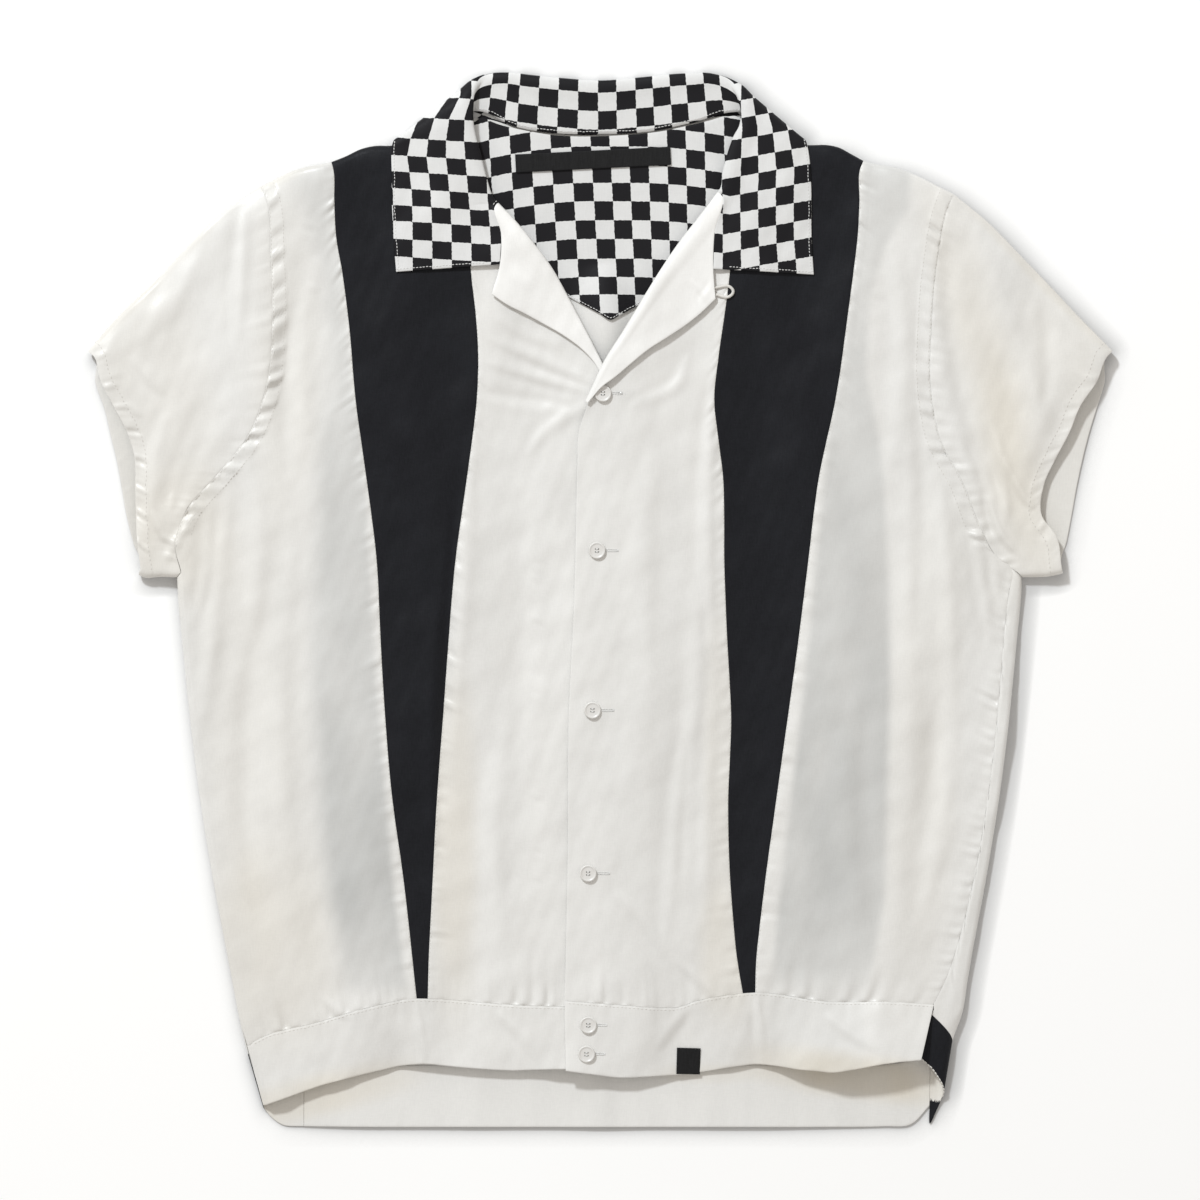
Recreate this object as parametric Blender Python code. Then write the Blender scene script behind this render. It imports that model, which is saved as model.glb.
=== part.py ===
"""A camp-collar bowling shirt, buttoned and laid flat on its back.

Lengths in the tables are millimetres and become metres when a mesh is made. +X is the
wearer's left, +Y runs from hem to collar and +Z is up from the surface the shirt lies on.
Every cloth piece is a sheet of points halfway through its wall; Solidify gives the wall.
"""

from collections import namedtuple
from math import cos, pi, radians, sin

import bmesh
import bpy
import numpy as np

MM = 0.001

# Cloth and layers.
CLOTH = 1.2          # wall of one cloth
RIBBON = 1.0         # wall of the label and the tag
SEAM = 0.2           # each side of a seam draws back by this
CORNER_SEAM = 0.9    # and by this where two folded edges meet under the arm
ROLL_SEAM = 0.45     # from the foot of the roll to the front
EDGE_ANGLE = 7.0     # degrees from a folded edge to the seam that runs along it
BACK_Z = 0.6         # middle of the back cloth
FRONT_Z = 9.0        # middle of the front cloth
FOLD_Z = (BACK_Z + FRONT_Z) / 2
FOLD = (FRONT_Z - BACK_Z) / 2
LAYER = 1.6          # step from the middle of one cloth to the next one lying on it

# The collar's fall runs under the back here and lifts it by one layer.
FALL_LIFT_FROM, FALL_LIFT_TO = 248.0, 284.0
FALL_HALF_WIDTH, FALL_LIFT_RUN = 150.0, 25.0

# The buttonhole side laps over the button side.
LAP_LIFT = 2.0
LAP_FLAT, LAP_START = 20.0, 46.0
UNDERLAP_EDGE = 14.0

# Where the button side sinks below the other front's lapel.
SINK = 1.6
SINK_X, SINK_Y, SINK_RUN = -40.0, 84.0, 30.0

# Divisions of the sheets.
BODY_ROWS = 8        # waistband to underarm
ARMHOLE_ROWS = 8     # underarm to shoulder
FOLD_STEPS = 3       # a quarter turn at a folded edge
SLEEVE_ROWS = 5
ARMHOLE_EASE = 1.35  # rows crowd towards the underarm
SIDE_COLUMNS = 5
BACK_SIDE_COLUMNS = 4
BACK_COLUMNS = 6
BACK_GUIDE = 84.0    # columns of the back run from here, at the waistband, to the neck
INSET_COLUMNS = 3

# Sides of the body: folded edges, and the seam that shows on the wearer's left.
Side = namedtuple("Side", "height right left left_seam")
SIDES = (
    Side(-308.0, -235.2, 235.2, 222.0),
    Side(-295.0, -237.9, 236.8, 221.5),
    Side(-276.0, -242.0, 242.3, 222.5),
    Side(-241.2, -248.6, 248.0, 236.0),
    Side(-187.6, -258.7, 258.0, 249.8),
    Side(-134.0, -267.4, 266.7, 259.2),
    Side(-80.4, -274.1, 273.4, 265.3),
    Side(-26.8, -279.5, 278.8, 270.0),
    Side(6.7, -282.8, 282.1, 273.6),
)
UNDERARM = {-1: (-282.8, 15.4), 1: (282.1, 15.4)}
SEAM_FOOT, SEAM_HEAD = (222.6, -271.8), (275.0, 21.6)

# Seams of the black insets, from the waistband up.
Inset = namedtuple("Inset", "height right_outer right_inner left_inner left_outer")
INSETS = (
    Inset(-266.0, -122.6, -115.2, 95.5, 103.8),
    Inset(-241.2, -125.3, -114.6, 91.8, 104.5),
    Inset(-187.6, -131.3, -111.9, 87.1, 110.6),
    Inset(-134.0, -138.7, -109.2, 85.8, 117.9),
    Inset(-80.4, -143.4, -105.2, 87.8, 125.3),
    Inset(-26.8, -146.7, -101.2, 85.1, 132.7),
    Inset(26.8, -149.4, -96.5, 83.1, 139.4),
    Inset(80.4, -156.1, -89.1, 82.4, 146.1),
    Inset(134.0, -163.5, -82.4, 76.4, 157.5),
    Inset(174.2, -166.8, -81.7, 81.1, 163.5),
    Inset(214.4, -171.5, -85.8, 86.4, 168.8),
    Inset(241.2, -176.2, -88.0, 89.1, 172.2),
    Inset(268.0, -179.6, -90.0, 93.0, 176.2),
)

# Armholes on the front, then on the back, from the underarm up.
ARMHOLE = {
    -1: ((-279.8, 18.4), (-284.1, 38.0), (-279.4, 55.6), (-265.3, 72.4), (-255.3, 85.1),
         (-244.6, 97.8), (-230.5, 118.6), (-222.0, 150.0), (-219.1, 195.0), (-221.0, 235.0)),
    1: ((279.1, 18.4), (264.7, 29.5), (256.6, 43.6), (249.9, 61.0), (241.2, 81.7),
        (231.8, 97.2), (222.4, 127.3), (221.1, 170.0), (225.1, 224.5), (231.0, 250.0)),
}
BACK_ARMHOLE = {
    -1: ((-279.8, 18.4), (-262.0, 46.0), (-243.0, 88.0), (-233.0, 135.0), (-228.0, 190.0)),
    1: ((279.1, 18.4), (262.0, 46.0), (244.0, 88.0), (236.0, 135.0), (233.0, 190.0)),
}

# Shoulder fold, from the sleeve to the neck.
SHOULDER = {
    -1: ((-227.0, 276.6), (-203.7, 287.5), (-177.6, 293.4), (-160.8, 301.3), (-148.0, 304.0),
         (-137.4, 304.0), (-126.0, 307.6), (-114.0, 313.0), (-91.0, 326.5)),
    1: ((236.5, 271.4), (203.0, 287.5), (178.2, 292.9), (160.8, 302.3), (148.0, 304.6),
        (136.7, 304.0), (126.0, 308.0), (117.0, 313.0), (100.5, 325.5)),
}

# Neck edge of the fronts, from the roll line up. The first points belong to the centre front
# and the rest to the inset, which reaches the shoulder.
NECK = {
    -1: ((-70.6, 265.6), (-77.5, 273.5), (-85.5, 284.0), (-92.5, 296.0), (-95.0, 307.5),
         (-92.6, 317.0)),
    1: ((81.5, 273.0), (88.0, 281.0), (93.0, 287.0), (97.0, 293.5), (102.5, 304.0),
        (103.0, 314.5)),
}
NECK_TO_INSET = 3

# Neck edge across the back, wearer's right to left.
BACK_NECK = ((-88.0, 325.0), (-80.0, 324.6), (-70.0, 320.3), (-57.2, 316.9), (-29.5, 312.2),
             (0.0, 311.6), (35.9, 314.2), (61.5, 319.3), (84.0, 324.6), (96.0, 325.0))

# Seam between collar and facing, from the roll line down to the notch; then the corner of
# the lapel.
GORGE = {-1: ((-66.2, 246.0), (-66.9, 224.4)), 1: ((76.6, 246.0), (75.7, 221.3))}
LAPEL_CORNER = {-1: (-72.4, 204.4), 1: (77.2, 201.2)}

# Lapels: the roll line and the turned-back edge, from the collar down to the break.
Lapel = namedtuple("Lapel", "roll_x roll_y edge_x edge_y edge_z curl")
LAPELS = {
    -1: (Lapel(-68.4, 265.4, -72.4, 204.4, 12.6, 1.8),
         Lapel(-58.0, 254.6, -62.5, 197.6, 12.4, 1.8),
         Lapel(-46.0, 240.2, -50.5, 191.6, 12.2, 1.8),
         Lapel(-33.5, 223.5, -38.2, 184.9, 12.0, 1.7),
         Lapel(-20.0, 199.5, -24.0, 176.6, 11.2, 1.5),
         Lapel(-8.5, 177.6, -12.0, 167.6, 10.2, 1.2),
         Lapel(-0.6, 162.2, -4.0, 158.9, 9.5, 1.05),
         Lapel(6.0, 149.0, 2.0, 148.6, 9.4, 1.0),
         Lapel(12.6, 135.6, 9.6, 135.8, 9.4, 1.0)),
    1: (Lapel(79.0, 272.6, 77.2, 201.2, 12.6, 1.8),
        Lapel(66.6, 256.2, 67.2, 191.6, 12.6, 1.8),
        Lapel(54.5, 240.8, 56.0, 182.8, 12.7, 1.8),
        Lapel(42.0, 222.4, 45.0, 175.4, 12.9, 1.8),
        Lapel(29.5, 202.2, 33.0, 167.7, 13.6, 1.8),
        Lapel(15.5, 179.0, 21.0, 158.0, 14.3, 1.8),
        Lapel(2.9, 158.9, 10.4, 149.0, 15.0, 1.9),
        Lapel(-5.2, 141.6, 0.6, 141.6, 15.5, 2.0),
        Lapel(-9.6, 132.2, -5.6, 134.6, 14.6, 1.5)),
}

# Front edges below the break, then the waistband's front seam and hem.
FRONT_EDGE = {
    -1: ((14.0, -270.0), (14.0, -60.0), (13.4, 100.0), (13.0, 134.0)),
    1: ((-23.6, -268.0), (-21.6, -168.0), (-21.0, -80.4), (-17.2, 0.7), (-15.4, 80.0),
        (-14.2, 110.0), (-12.6, 124.0), (-9.8, 131.4)),
}
Band = namedtuple("Band", "seam_x seam_y hem_x hem_y lift")
BAND = {
    -1: (Band(-235.9, -298.2, -225.2, -338.4, 0.0),
         Band(-222.4, -290.8, -213.7, -334.3, 0.6),
         Band(-189.6, -282.7, -187.6, -325.0, 1.0),
         Band(-163.5, -274.7, -162.1, -318.2, 1.6),
         Band(-131.3, -267.3, -132.7, -311.6, 2.2),
         Band(-113.2, -266.7, -117.3, -310.2, 2.4),
         Band(-87.1, -268.7, -90.5, -312.9, 1.6),
         Band(-59.6, -270.7, -61.6, -314.9, 0.8),
         Band(-24.8, -272.0, -24.8, -313.6, 0.0),
         Band(14.0, -272.0, 14.0, -313.0, 0.0)),
    1: (Band(223.2, -270.7, 214.4, -307.2, 2.4),
        Band(192.9, -268.7, 192.9, -309.0, 3.0),
        Band(153.4, -268.7, 157.5, -315.6, 1.4),
        Band(124.6, -264.7, 130.0, -313.6, 1.8),
        Band(108.5, -262.6, 107.2, -310.2, 2.6),
        Band(92.5, -263.3, 85.8, -312.9, 2.0),
        Band(67.7, -267.3, 67.7, -316.2, 0.8),
        Band(49.6, -272.7, 51.6, -317.9, 0.3),
        Band(13.4, -270.7, 13.4, -319.6, 0.0),
        Band(-23.6, -268.0, -22.9, -314.6, 0.0)),
}
BAND_ROWS = 3

# Back of the waistband: its seam with the back, and its hem with round corners.
BACK_BAND = (
    Band(-197.6, -310.4, -197.6, -352.6, 0.0),
    Band(-150.0, -311.5, -150.0, -353.0, 0.0),
    Band(-90.0, -311.5, -90.0, -353.0, 0.0),
    Band(-30.0, -311.5, -30.0, -353.0, 0.0),
    Band(30.0, -311.5, 30.0, -353.0, 0.0),
    Band(90.0, -311.5, 90.0, -353.0, 0.0),
    Band(150.0, -311.5, 150.0, -353.0, 0.0),
    Band(190.0, -311.3, 190.0, -352.6, 0.0),
    Band(208.0, -308.4, 208.0, -351.4, 0.0),
    Band(221.0, -302.8, 220.2, -339.4, 0.0),
)

# Waistband side pieces: across each piece, from its front seam to its back seam. The first
# rows of each are also the foot of the back's folded side.
Tab = namedtuple("Tab", "top_x top_y low_x low_y height")
SIDE_TABS = {
    -1: (Tab(-235.5, -304.0, -225.2, -339.6, 4.4),
         Tab(-234.9, -304.8, -224.8, -340.6, 2.5),
         Tab(-233.5, -305.7, -223.6, -342.4, 1.1),
         Tab(-231.4, -306.5, -221.2, -345.4, 0.6),
         Tab(-222.0, -308.6, -213.0, -351.4, 0.6),
         Tab(-198.4, -310.4, -198.4, -352.6, 0.6)),
    1: (Tab(221.8, -277.2, 214.9, -307.2, 9.0),
        Tab(229.0, -284.2, 223.0, -314.8, 9.0),
        Tab(232.0, -287.6, 226.0, -319.4, 8.44),
        Tab(234.4, -291.0, 228.6, -324.2, 6.9),
        Tab(235.6, -294.6, 229.8, -329.4, 4.8),
        Tab(234.4, -297.2, 228.6, -334.0, 2.7),
        Tab(231.8, -299.0, 225.4, -342.0, 1.16),
        Tab(228.4, -300.2, 221.0, -350.8, 0.6),
        Tab(221.4, -302.4, 220.8, -338.6, 0.6)),
}
FOOT_POINTS = {-1: 4, 1: 8}
TAB_ROWS = 3

# Sleeves: top fold, underarm fold, and the hems of the upper and lower layers.
SLEEVE_TOP = {
    -1: ((-227.0, 276.6), (-244.3, 267.5), (-265.0, 247.4), (-285.0, 227.4),
         (-303.2, 207.2), (-324.6, 187.2), (-342.4, 166.4)),
    1: ((236.5, 271.4), (254.2, 257.5), (274.3, 237.6), (293.7, 217.4),
        (313.2, 197.3), (331.3, 177.2), (342.8, 166.4)),
}
SLEEVE_UNDER = {
    -1: ((-282.8, 15.4), (-294.8, 15.8), (-303.0, 15.0), (-308.9, 17.2)),
    1: ((282.1, 15.4), (292.0, 15.6), (300.0, 16.0), (309.6, 18.0)),
}
SLEEVE_HEM = {
    -1: ((-308.4, 21.6), (-310.0, 45.0), (-310.7, 72.4), (-312.0, 101.8), (-318.3, 115.9),
         (-322.9, 126.0), (-331.0, 138.7), (-338.6, 155.4)),
    1: ((307.4, 22.2), (306.2, 40.2), (299.0, 50.5), (294.3, 62.0), (297.5, 78.4),
        (304.9, 94.5), (318.3, 120.6), (323.6, 135.3), (336.3, 151.4), (340.0, 161.0)),
}
SLEEVE_BACK_HEM = {
    -1: ((-308.9, 21.6), (-315.0, 46.9), (-319.0, 67.0), (-322.3, 87.1), (-327.0, 107.2),
         (-331.7, 127.3), (-338.4, 147.4), (-340.0, 158.0)),
    1: ((309.6, 22.2), (314.3, 46.9), (317.7, 67.0), (321.7, 87.1), (326.4, 107.2),
        (332.4, 127.3), (338.4, 147.4), (341.2, 160.0)),
}
SLEEVE_CROWN = 1.2

# Collar stations from one point round the back to the other. The leaves are sewn to the
# lapels along the gorge; the seam then follows the roll round to the neck edge; from there
# each station has a crest, a sewn neck edge and an outer edge. turn is the way the fall lies
# from the stand: 90 on top, 0 beside, -90 underneath. beyond is the crest's way out.
Leaf = namedtuple("Leaf", "inner outer")
LEAVES = {
    -1: (Leaf((-66.9, 224.4), (-136.2, 219.2)), Leaf((-66.2, 246.0), (-137.9, 240.0))),
    1: (Leaf((75.7, 221.3), (143.0, 217.6)), Leaf((76.6, 246.0), (141.6, 240.0))),
}
Corner = namedtuple("Corner", "angle beyond outer")
CORNERS = {
    -1: (Corner(90, 0.0, (-138.8, 258.0)), Corner(35, 2.0, (-139.0, 262.0)),
         Corner(-30, 4.0, (-139.2, 266.0)), Corner(-90, 6.0, (-139.3, 270.0))),
    1: (Corner(90, 0.0, (141.4, 258.0)), Corner(35, 2.0, (141.4, 262.0)),
        Corner(-30, 4.0, (141.4, 266.0)), Corner(-90, 6.0, (141.4, 270.0))),
}
Station = namedtuple("Station", "crest neck outer turn beyond bulge")
STATIONS = {
    -1: (Station((-74.6, 276.6), (-77.5, 273.5, 9.0), (-139.2, 275.5), 90, 15, 0.0),
         Station((-77.4, 287.0), (-85.5, 284.0, 9.0), (-139.2, 281.5), 90, -5, 0.0),
         Station((-80.0, 298.0), (-92.5, 296.0, 9.0), (-139.3, 288.0), 90, -8, 0.0),
         Station((-83.0, 308.4), (-95.0, 307.5, 9.0), (-139.5, 294.5), 90, 0, 0.0),
         Station((-84.8, 317.8), (-92.6, 317.0, 9.0), (-139.4, 300.5), 90, 5, 0.5),
         Station((-85.2, 326.4), (-88.2, 323.2, 9.0), (-139.0, 304.2), 90, 15, 1.5),
         Station((-83.4, 341.0), (-89.2, 325.8, 7.8), (-138.0, 306.8), 45, 26, 3.0),
         Station((-79.6, 348.8), (-90.0, 326.8, 4.8), (-136.6, 307.8), 0, 40, 3.6),
         Station((-72.4, 352.0), (-87.8, 327.0, 3.6), (-135.4, 307.2), -45, 62, 3.0),
         Station((-62.6, 352.7), (-80.6, 327.0, 3.8), (-130.0, 303.6), -90, 80, 1.5),
         Station((-46.0, 351.0), (-57.2, 316.9, 3.8), (-96.0, 293.0), -90, 88, 0.0),
         Station((-24.0, 348.8), (-28.6, 312.2, 3.8), (-48.0, 294.0), -90, 90, 0.0)),
    1: (Station((81.9, 283.5), (88.0, 281.0, 9.0), (141.3, 275.5), 90, 170, 0.0),
        Station((84.0, 292.5), (93.0, 287.0, 9.0), (141.0, 281.5), 90, 172, 0.0),
        Station((86.6, 301.4), (97.0, 293.5, 9.0), (140.7, 288.0), 90, 165, 0.0),
        Station((89.8, 310.0), (102.5, 304.0, 9.0), (140.2, 294.0), 90, 165, 0.0),
        Station((93.4, 316.6), (103.0, 314.5, 9.0), (139.4, 300.0), 90, 176, 0.0),
        Station((94.6, 323.6), (97.4, 321.6, 9.0), (138.6, 304.2), 90, 168, 0.5),
        Station((92.4, 336.6), (98.6, 325.1, 7.8), (137.6, 306.8), 45, 155, 1.0),
        Station((88.6, 345.4), (99.5, 326.0, 4.8), (136.2, 307.8), 0, 140, 1.5),
        Station((82.6, 349.8), (97.0, 326.4, 3.6), (134.9, 307.2), -45, 118, 1.0),
        Station((74.8, 352.0), (88.6, 326.4, 3.8), (130.0, 303.6), -90, 98, 0.5),
        Station((55.0, 352.0), (63.4, 319.7, 3.8), (96.0, 293.0), -90, 92, 0.0),
        Station((27.0, 349.4), (31.0, 313.2, 3.8), (48.0, 294.0), -90, 90, 0.0)),
}
COLLAR_BACK = Station((0.0, 347.3), (0.0, 311.7, 3.8), (0.0, 293.5), -90, 90, 0.0)
NECK_SEAM = 0.5      # from the sewn edge of the stand to the neck edge it meets
FRONT_CURL = 1.8     # radius of the collar's turn over the fronts
BACK_CURL = 2.7      # radius of its turn at the back of the neck
SHOULDER_CURL = 2.4
FALL_FOLD_Z = 5.6    # where the fall folds over the shoulder
LEAF_TOP_Z = FRONT_Z + 2 * FRONT_CURL
LEAF_EDGE_Z = FRONT_Z + LAYER
FALL_COLUMNS = 4
TURN_STEPS = 4
STAND_COLUMNS = 3
LEAF_MARGIN = 0.14   # share of a leaf's width next to the gorge with narrow columns

# Inner yoke: half width, depth of its sides, and its point.
YOKE_HALF_WIDTH = 146.0
YOKE_SIDE_Y = 268.0
YOKE_POINT = (7.4, 187.3)
YOKE_COLUMNS = 12
YOKE_ROWS = 5
YOKE_SEAM = 1.2
YOKE_Z = LAYER + 0.2 # from the middle of the back

# Label and tag: middle, size, tilt.
Ribbon = namedtuple("Ribbon", "x y width height tilt")
LABEL = Ribbon(-4.6, 294.7, 104.0, 12.2, 2.9)
TAG = Ribbon(59.2, -308.6, 15.8, 17.6, -1.5)
TAG_Z = 11.3

# Button loop of flat cord, from under the lapel's corner and back.
LOOP = ((74.0, 204.4), (78.6, 204.0), (84.4, 202.4), (88.2, 204.2), (88.8, 207.4),
        (85.2, 210.0), (79.0, 209.2), (74.0, 208.2))
CORD = 1.8
LOOP_POINTS = 16

# Buttons.
BUTTON_RADIUS = 5.7
BUTTON_THICKNESS = 1.9
BUTTON_RIM = 1.3
BUTTON_DISH = 0.5
BUTTON_HOLE_RADIUS = 0.75
BUTTON_HOLE_SPREAD = 1.35
BUTTON_HOLE_TURN = radians(13)
BUTTON_SIDES = 24
BUTTONS = {
    "button_1": (2.0, 138.0), "button_2": (-2.0, 33.1), "button_3": (-5.0, -73.7),
    "button_4": (-7.9, -182.7), "band_button_1": (-7.8, -284.1),
    "band_button_2": (-9.0, -303.4),
}

# Finishes: colour, roughness.
CREAM = ("off_white_satin", (0.83, 0.81, 0.76), 0.55)
BLACK = ("black_satin", (0.017, 0.019, 0.023), 0.6)
CHECK = ("check_satin", (0.42, 0.42, 0.43), 0.6)
PEARL = ("pearl_plastic", (0.80, 0.78, 0.74), 0.25)


def finish(settings):
    """The named material, made once."""
    name, colour, roughness = settings
    material = bpy.data.materials.get(name)
    if material is None:
        material = bpy.data.materials.new(name)
        material.use_nodes = True
        shader = material.node_tree.nodes["Principled BSDF"]
        shader.inputs["Base Color"].default_value = (*colour, 1.0)
        shader.inputs["Roughness"].default_value = roughness
        shader.inputs["Metallic"].default_value = 0.0
    return material


def smooth_step(value):
    """0 below 0, 1 above 1, and an even slope between."""
    t = np.clip(value, 0.0, 1.0)
    return t * t * (3.0 - 2.0 * t)


def spline(points, steps, ease=1.0):
    """A smooth curve through the points, cut into steps: equal, or crowded at the start."""
    p = np.array(points, float)
    ends = np.vstack([2 * p[0] - p[1], p, 2 * p[-1] - p[-2]])
    fine = []
    for a, b, c, d in zip(ends, ends[1:], ends[2:], ends[3:]):
        for t in np.linspace(0.0, 1.0, 12, endpoint=False):
            fine.append(0.5 * (2 * b + (c - a) * t + (2 * a - 5 * b + 4 * c - d) * t**2
                               + (3 * b - a - 3 * c + d) * t**3))
    fine = np.array(fine + [p[-1]])
    lengths = np.concatenate([[0.0], np.cumsum(np.linalg.norm(np.diff(fine, axis=0), axis=1))])
    at = np.linspace(0.0, 1.0, steps + 1)**ease * lengths[-1]
    return np.column_stack([np.interp(at, lengths, fine[:, k]) for k in range(p.shape[1])])


def outward(points, side):
    """Unit normals of a curve in plan, on its outer side."""
    run = np.gradient(np.array(points)[:, :2], axis=0)
    run /= np.linalg.norm(run, axis=1)[:, None]
    return np.column_stack([run[:, 1], -run[:, 0]]) * side


def coons(bottom, top, left, right):
    """Rows of points that fill four boundary curves."""
    u = np.linspace(0.0, 1.0, len(bottom))[None, :, None]
    v = np.linspace(0.0, 1.0, len(left))[:, None, None]
    across = (1 - v) * bottom[None] + v * top[None]
    along = (1 - u) * left[:, None] + u * right[:, None]
    corners = ((1 - u) * (1 - v) * bottom[0] + u * (1 - v) * bottom[-1]
               + (1 - u) * v * top[0] + u * v * top[-1])
    return across + along - corners


def raised(plan, height):
    """Plan points with a height, or a height for each."""
    plan = np.asarray(plan)[..., :2]
    z = np.broadcast_to(height, plan.shape[:-1])
    return np.concatenate([plan, z[..., None]], axis=-1)


def draw_back(grid, *sides, by=SEAM):
    """Draws the named borders of a sheet in, so that seams keep their gap."""
    for side in sides:
        edge, inner = {
            "first_row": (grid[0], grid[1]), "last_row": (grid[-1], grid[-2]),
            "first_column": (grid[:, 0], grid[:, 1]), "last_column": (grid[:, -1], grid[:, -2]),
        }[side]
        step = inner - edge
        edge += by * step / np.linalg.norm(step, axis=1)[:, None]
    return grid


def sheet(name, grids, settings, wall=CLOTH):
    """One cloth object: the grids welded where they meet, then given their wall."""
    bm = bmesh.new()
    for grid in grids:
        rows = [[bm.verts.new(point * MM) for point in row] for row in grid]
        for low, high in zip(rows, rows[1:]):
            for a, b, c, d in zip(low, low[1:], high[1:], high):
                bm.faces.new((a, b, c, d))
    bmesh.ops.remove_doubles(bm, verts=bm.verts, dist=0.002 * MM)
    bmesh.ops.recalc_face_normals(bm, faces=bm.faces)
    mesh = bpy.data.meshes.new(name)
    bm.to_mesh(mesh)
    bm.free()
    mesh.shade_smooth()
    mesh.materials.append(finish(settings))
    obj = bpy.data.objects.new(name, mesh)
    bpy.context.collection.objects.link(obj)
    solidify = obj.modifiers.new("Wall", "SOLIDIFY")
    solidify.thickness = wall * MM
    solidify.offset = 0.0
    solidify.use_even_offset = True
    solidify.use_quality_normals = True
    return obj


def back_height(x, y):
    """Middle of the back cloth, lifted over the collar's fall."""
    along = np.clip((y - FALL_LIFT_FROM) / (FALL_LIFT_TO - FALL_LIFT_FROM), 0.0, 1.0)
    across = smooth_step((FALL_HALF_WIDTH + FALL_LIFT_RUN - np.abs(x)) / FALL_LIFT_RUN)
    return BACK_Z + LAYER * along * across


def front_height(side, x, y):
    """Middle of the front cloth: the buttonhole side laps over, the button side sinks."""
    if side > 0:
        return FRONT_Z + LAP_LIFT * smooth_step((LAP_START - x) / (LAP_START - LAP_FLAT))
    return FRONT_Z - SINK * (smooth_step((x - SINK_X) / SINK_RUN)
                             * smooth_step((y - SINK_Y) / SINK_RUN))


def fold_points(edge, normal, start, stop, steps, low=None):
    """Points round a folded edge, angles in degrees: 90 on top, 0 at the edge, -90 below."""
    points = []
    for angle in np.linspace(start, stop, steps + 1):
        a = radians(angle)
        plan = np.asarray(edge)[:2] - np.asarray(normal) * FOLD * (1 - cos(a))
        reach = FOLD if angle >= 0 or low is None else FOLD_Z - low
        points.append((*plan, FOLD_Z + reach * sin(a)))
    return np.array(points)


def side_edge(side, bottom):
    """Folded side edge from the waistband to the underarm, with its outward normals."""
    column = "left" if side > 0 else "right"
    rows = [(getattr(row, column), row.height) for row in SIDES if row.height > bottom[1]]
    edge = spline([bottom[:2], *rows, UNDERARM[side]], BODY_ROWS)
    normals = outward(edge, side)
    normals[-1] = np.array([side, -1.0]) / 2**0.5
    return edge, normals


def shoulder_edge(side, start, stop, steps):
    """Stretch of the shoulder fold between two places across, with its outward normals."""
    fine = spline(SHOULDER[side], 60)
    order = np.argsort(fine[:, 0])
    normals = outward(fine, side)
    x = np.linspace(start, stop, steps + 1)
    y, nx, ny = (np.interp(x, fine[order, 0], values[order])
                 for values in (fine[:, 1], normals[:, 0], normals[:, 1]))
    return np.column_stack([x, y]), np.column_stack([nx, ny])


def over_shoulder(edge, normals, start, stop, low=None):
    """Rows that turn over the shoulder fold, one for each angle."""
    columns = []
    for k, (point, normal) in enumerate(zip(edge, normals)):
        below = None if low is None else low[k]
        columns.append(fold_points(point, normal, start, stop, FOLD_STEPS, below))
    return np.stack(columns, axis=1)


def inset_seam(side, which):
    """One seam of an inset from the waistband to the shoulder fold or the neck."""
    column = ("left_" if side > 0 else "right_") + which
    rows = [(getattr(row, column), row.height) for row in INSETS]
    if which == "inner":
        neck = np.array(NECK[side][NECK_TO_INSET:])
        seam = spline([*rows, neck[0]], BODY_ROWS + ARMHOLE_ROWS - len(neck))
        return np.vstack([seam, neck[1:], neck[-1:]])
    top, normal = shoulder_edge(side, rows[-1][0], rows[-1][0] - side * 0.1, 1)
    return spline([*rows[:-1], top[0] - normal[0] * FOLD], BODY_ROWS + ARMHOLE_ROWS)


def left_seam():
    """The side seam that shows on the wearer's left, from the waistband to the underarm."""
    rows = [(row.left_seam, row.height) for row in SIDES if row.height > SEAM_FOOT[1]]
    return spline([SEAM_FOOT, *rows, SEAM_HEAD], BODY_ROWS)


def band_curve(side, steps, which="seam"):
    """The waistband's front seam or hem, its fold first, with the lift of each point."""
    rows = [(getattr(row, which + "_x"), getattr(row, which + "_y"), row.lift)
            for row in BAND[side]]
    return spline(rows, steps)


def on_band(side, start, stop, steps):
    """Points of the waistband's seam between two places across."""
    fine = band_curve(side, 90)
    order = np.argsort(fine[:, 0])
    x = np.linspace(start, stop, steps + 1)
    return np.column_stack([x, np.interp(x, fine[order, 0], fine[order, 1])])


def tip(side):
    """The shoulder tip, where sleeve, front and back meet on the fold."""
    edge, normals = shoulder_edge(side, SHOULDER[side][0][0], SHOULDER[side][1][0], 1)
    return edge[0], normals[0]


def armhole(side, table):
    """An armhole from the underarm to the fold at the shoulder tip."""
    point, normal = tip(side)
    return spline([*table[side], point - normal * FOLD], ARMHOLE_ROWS, ARMHOLE_EASE)


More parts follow.
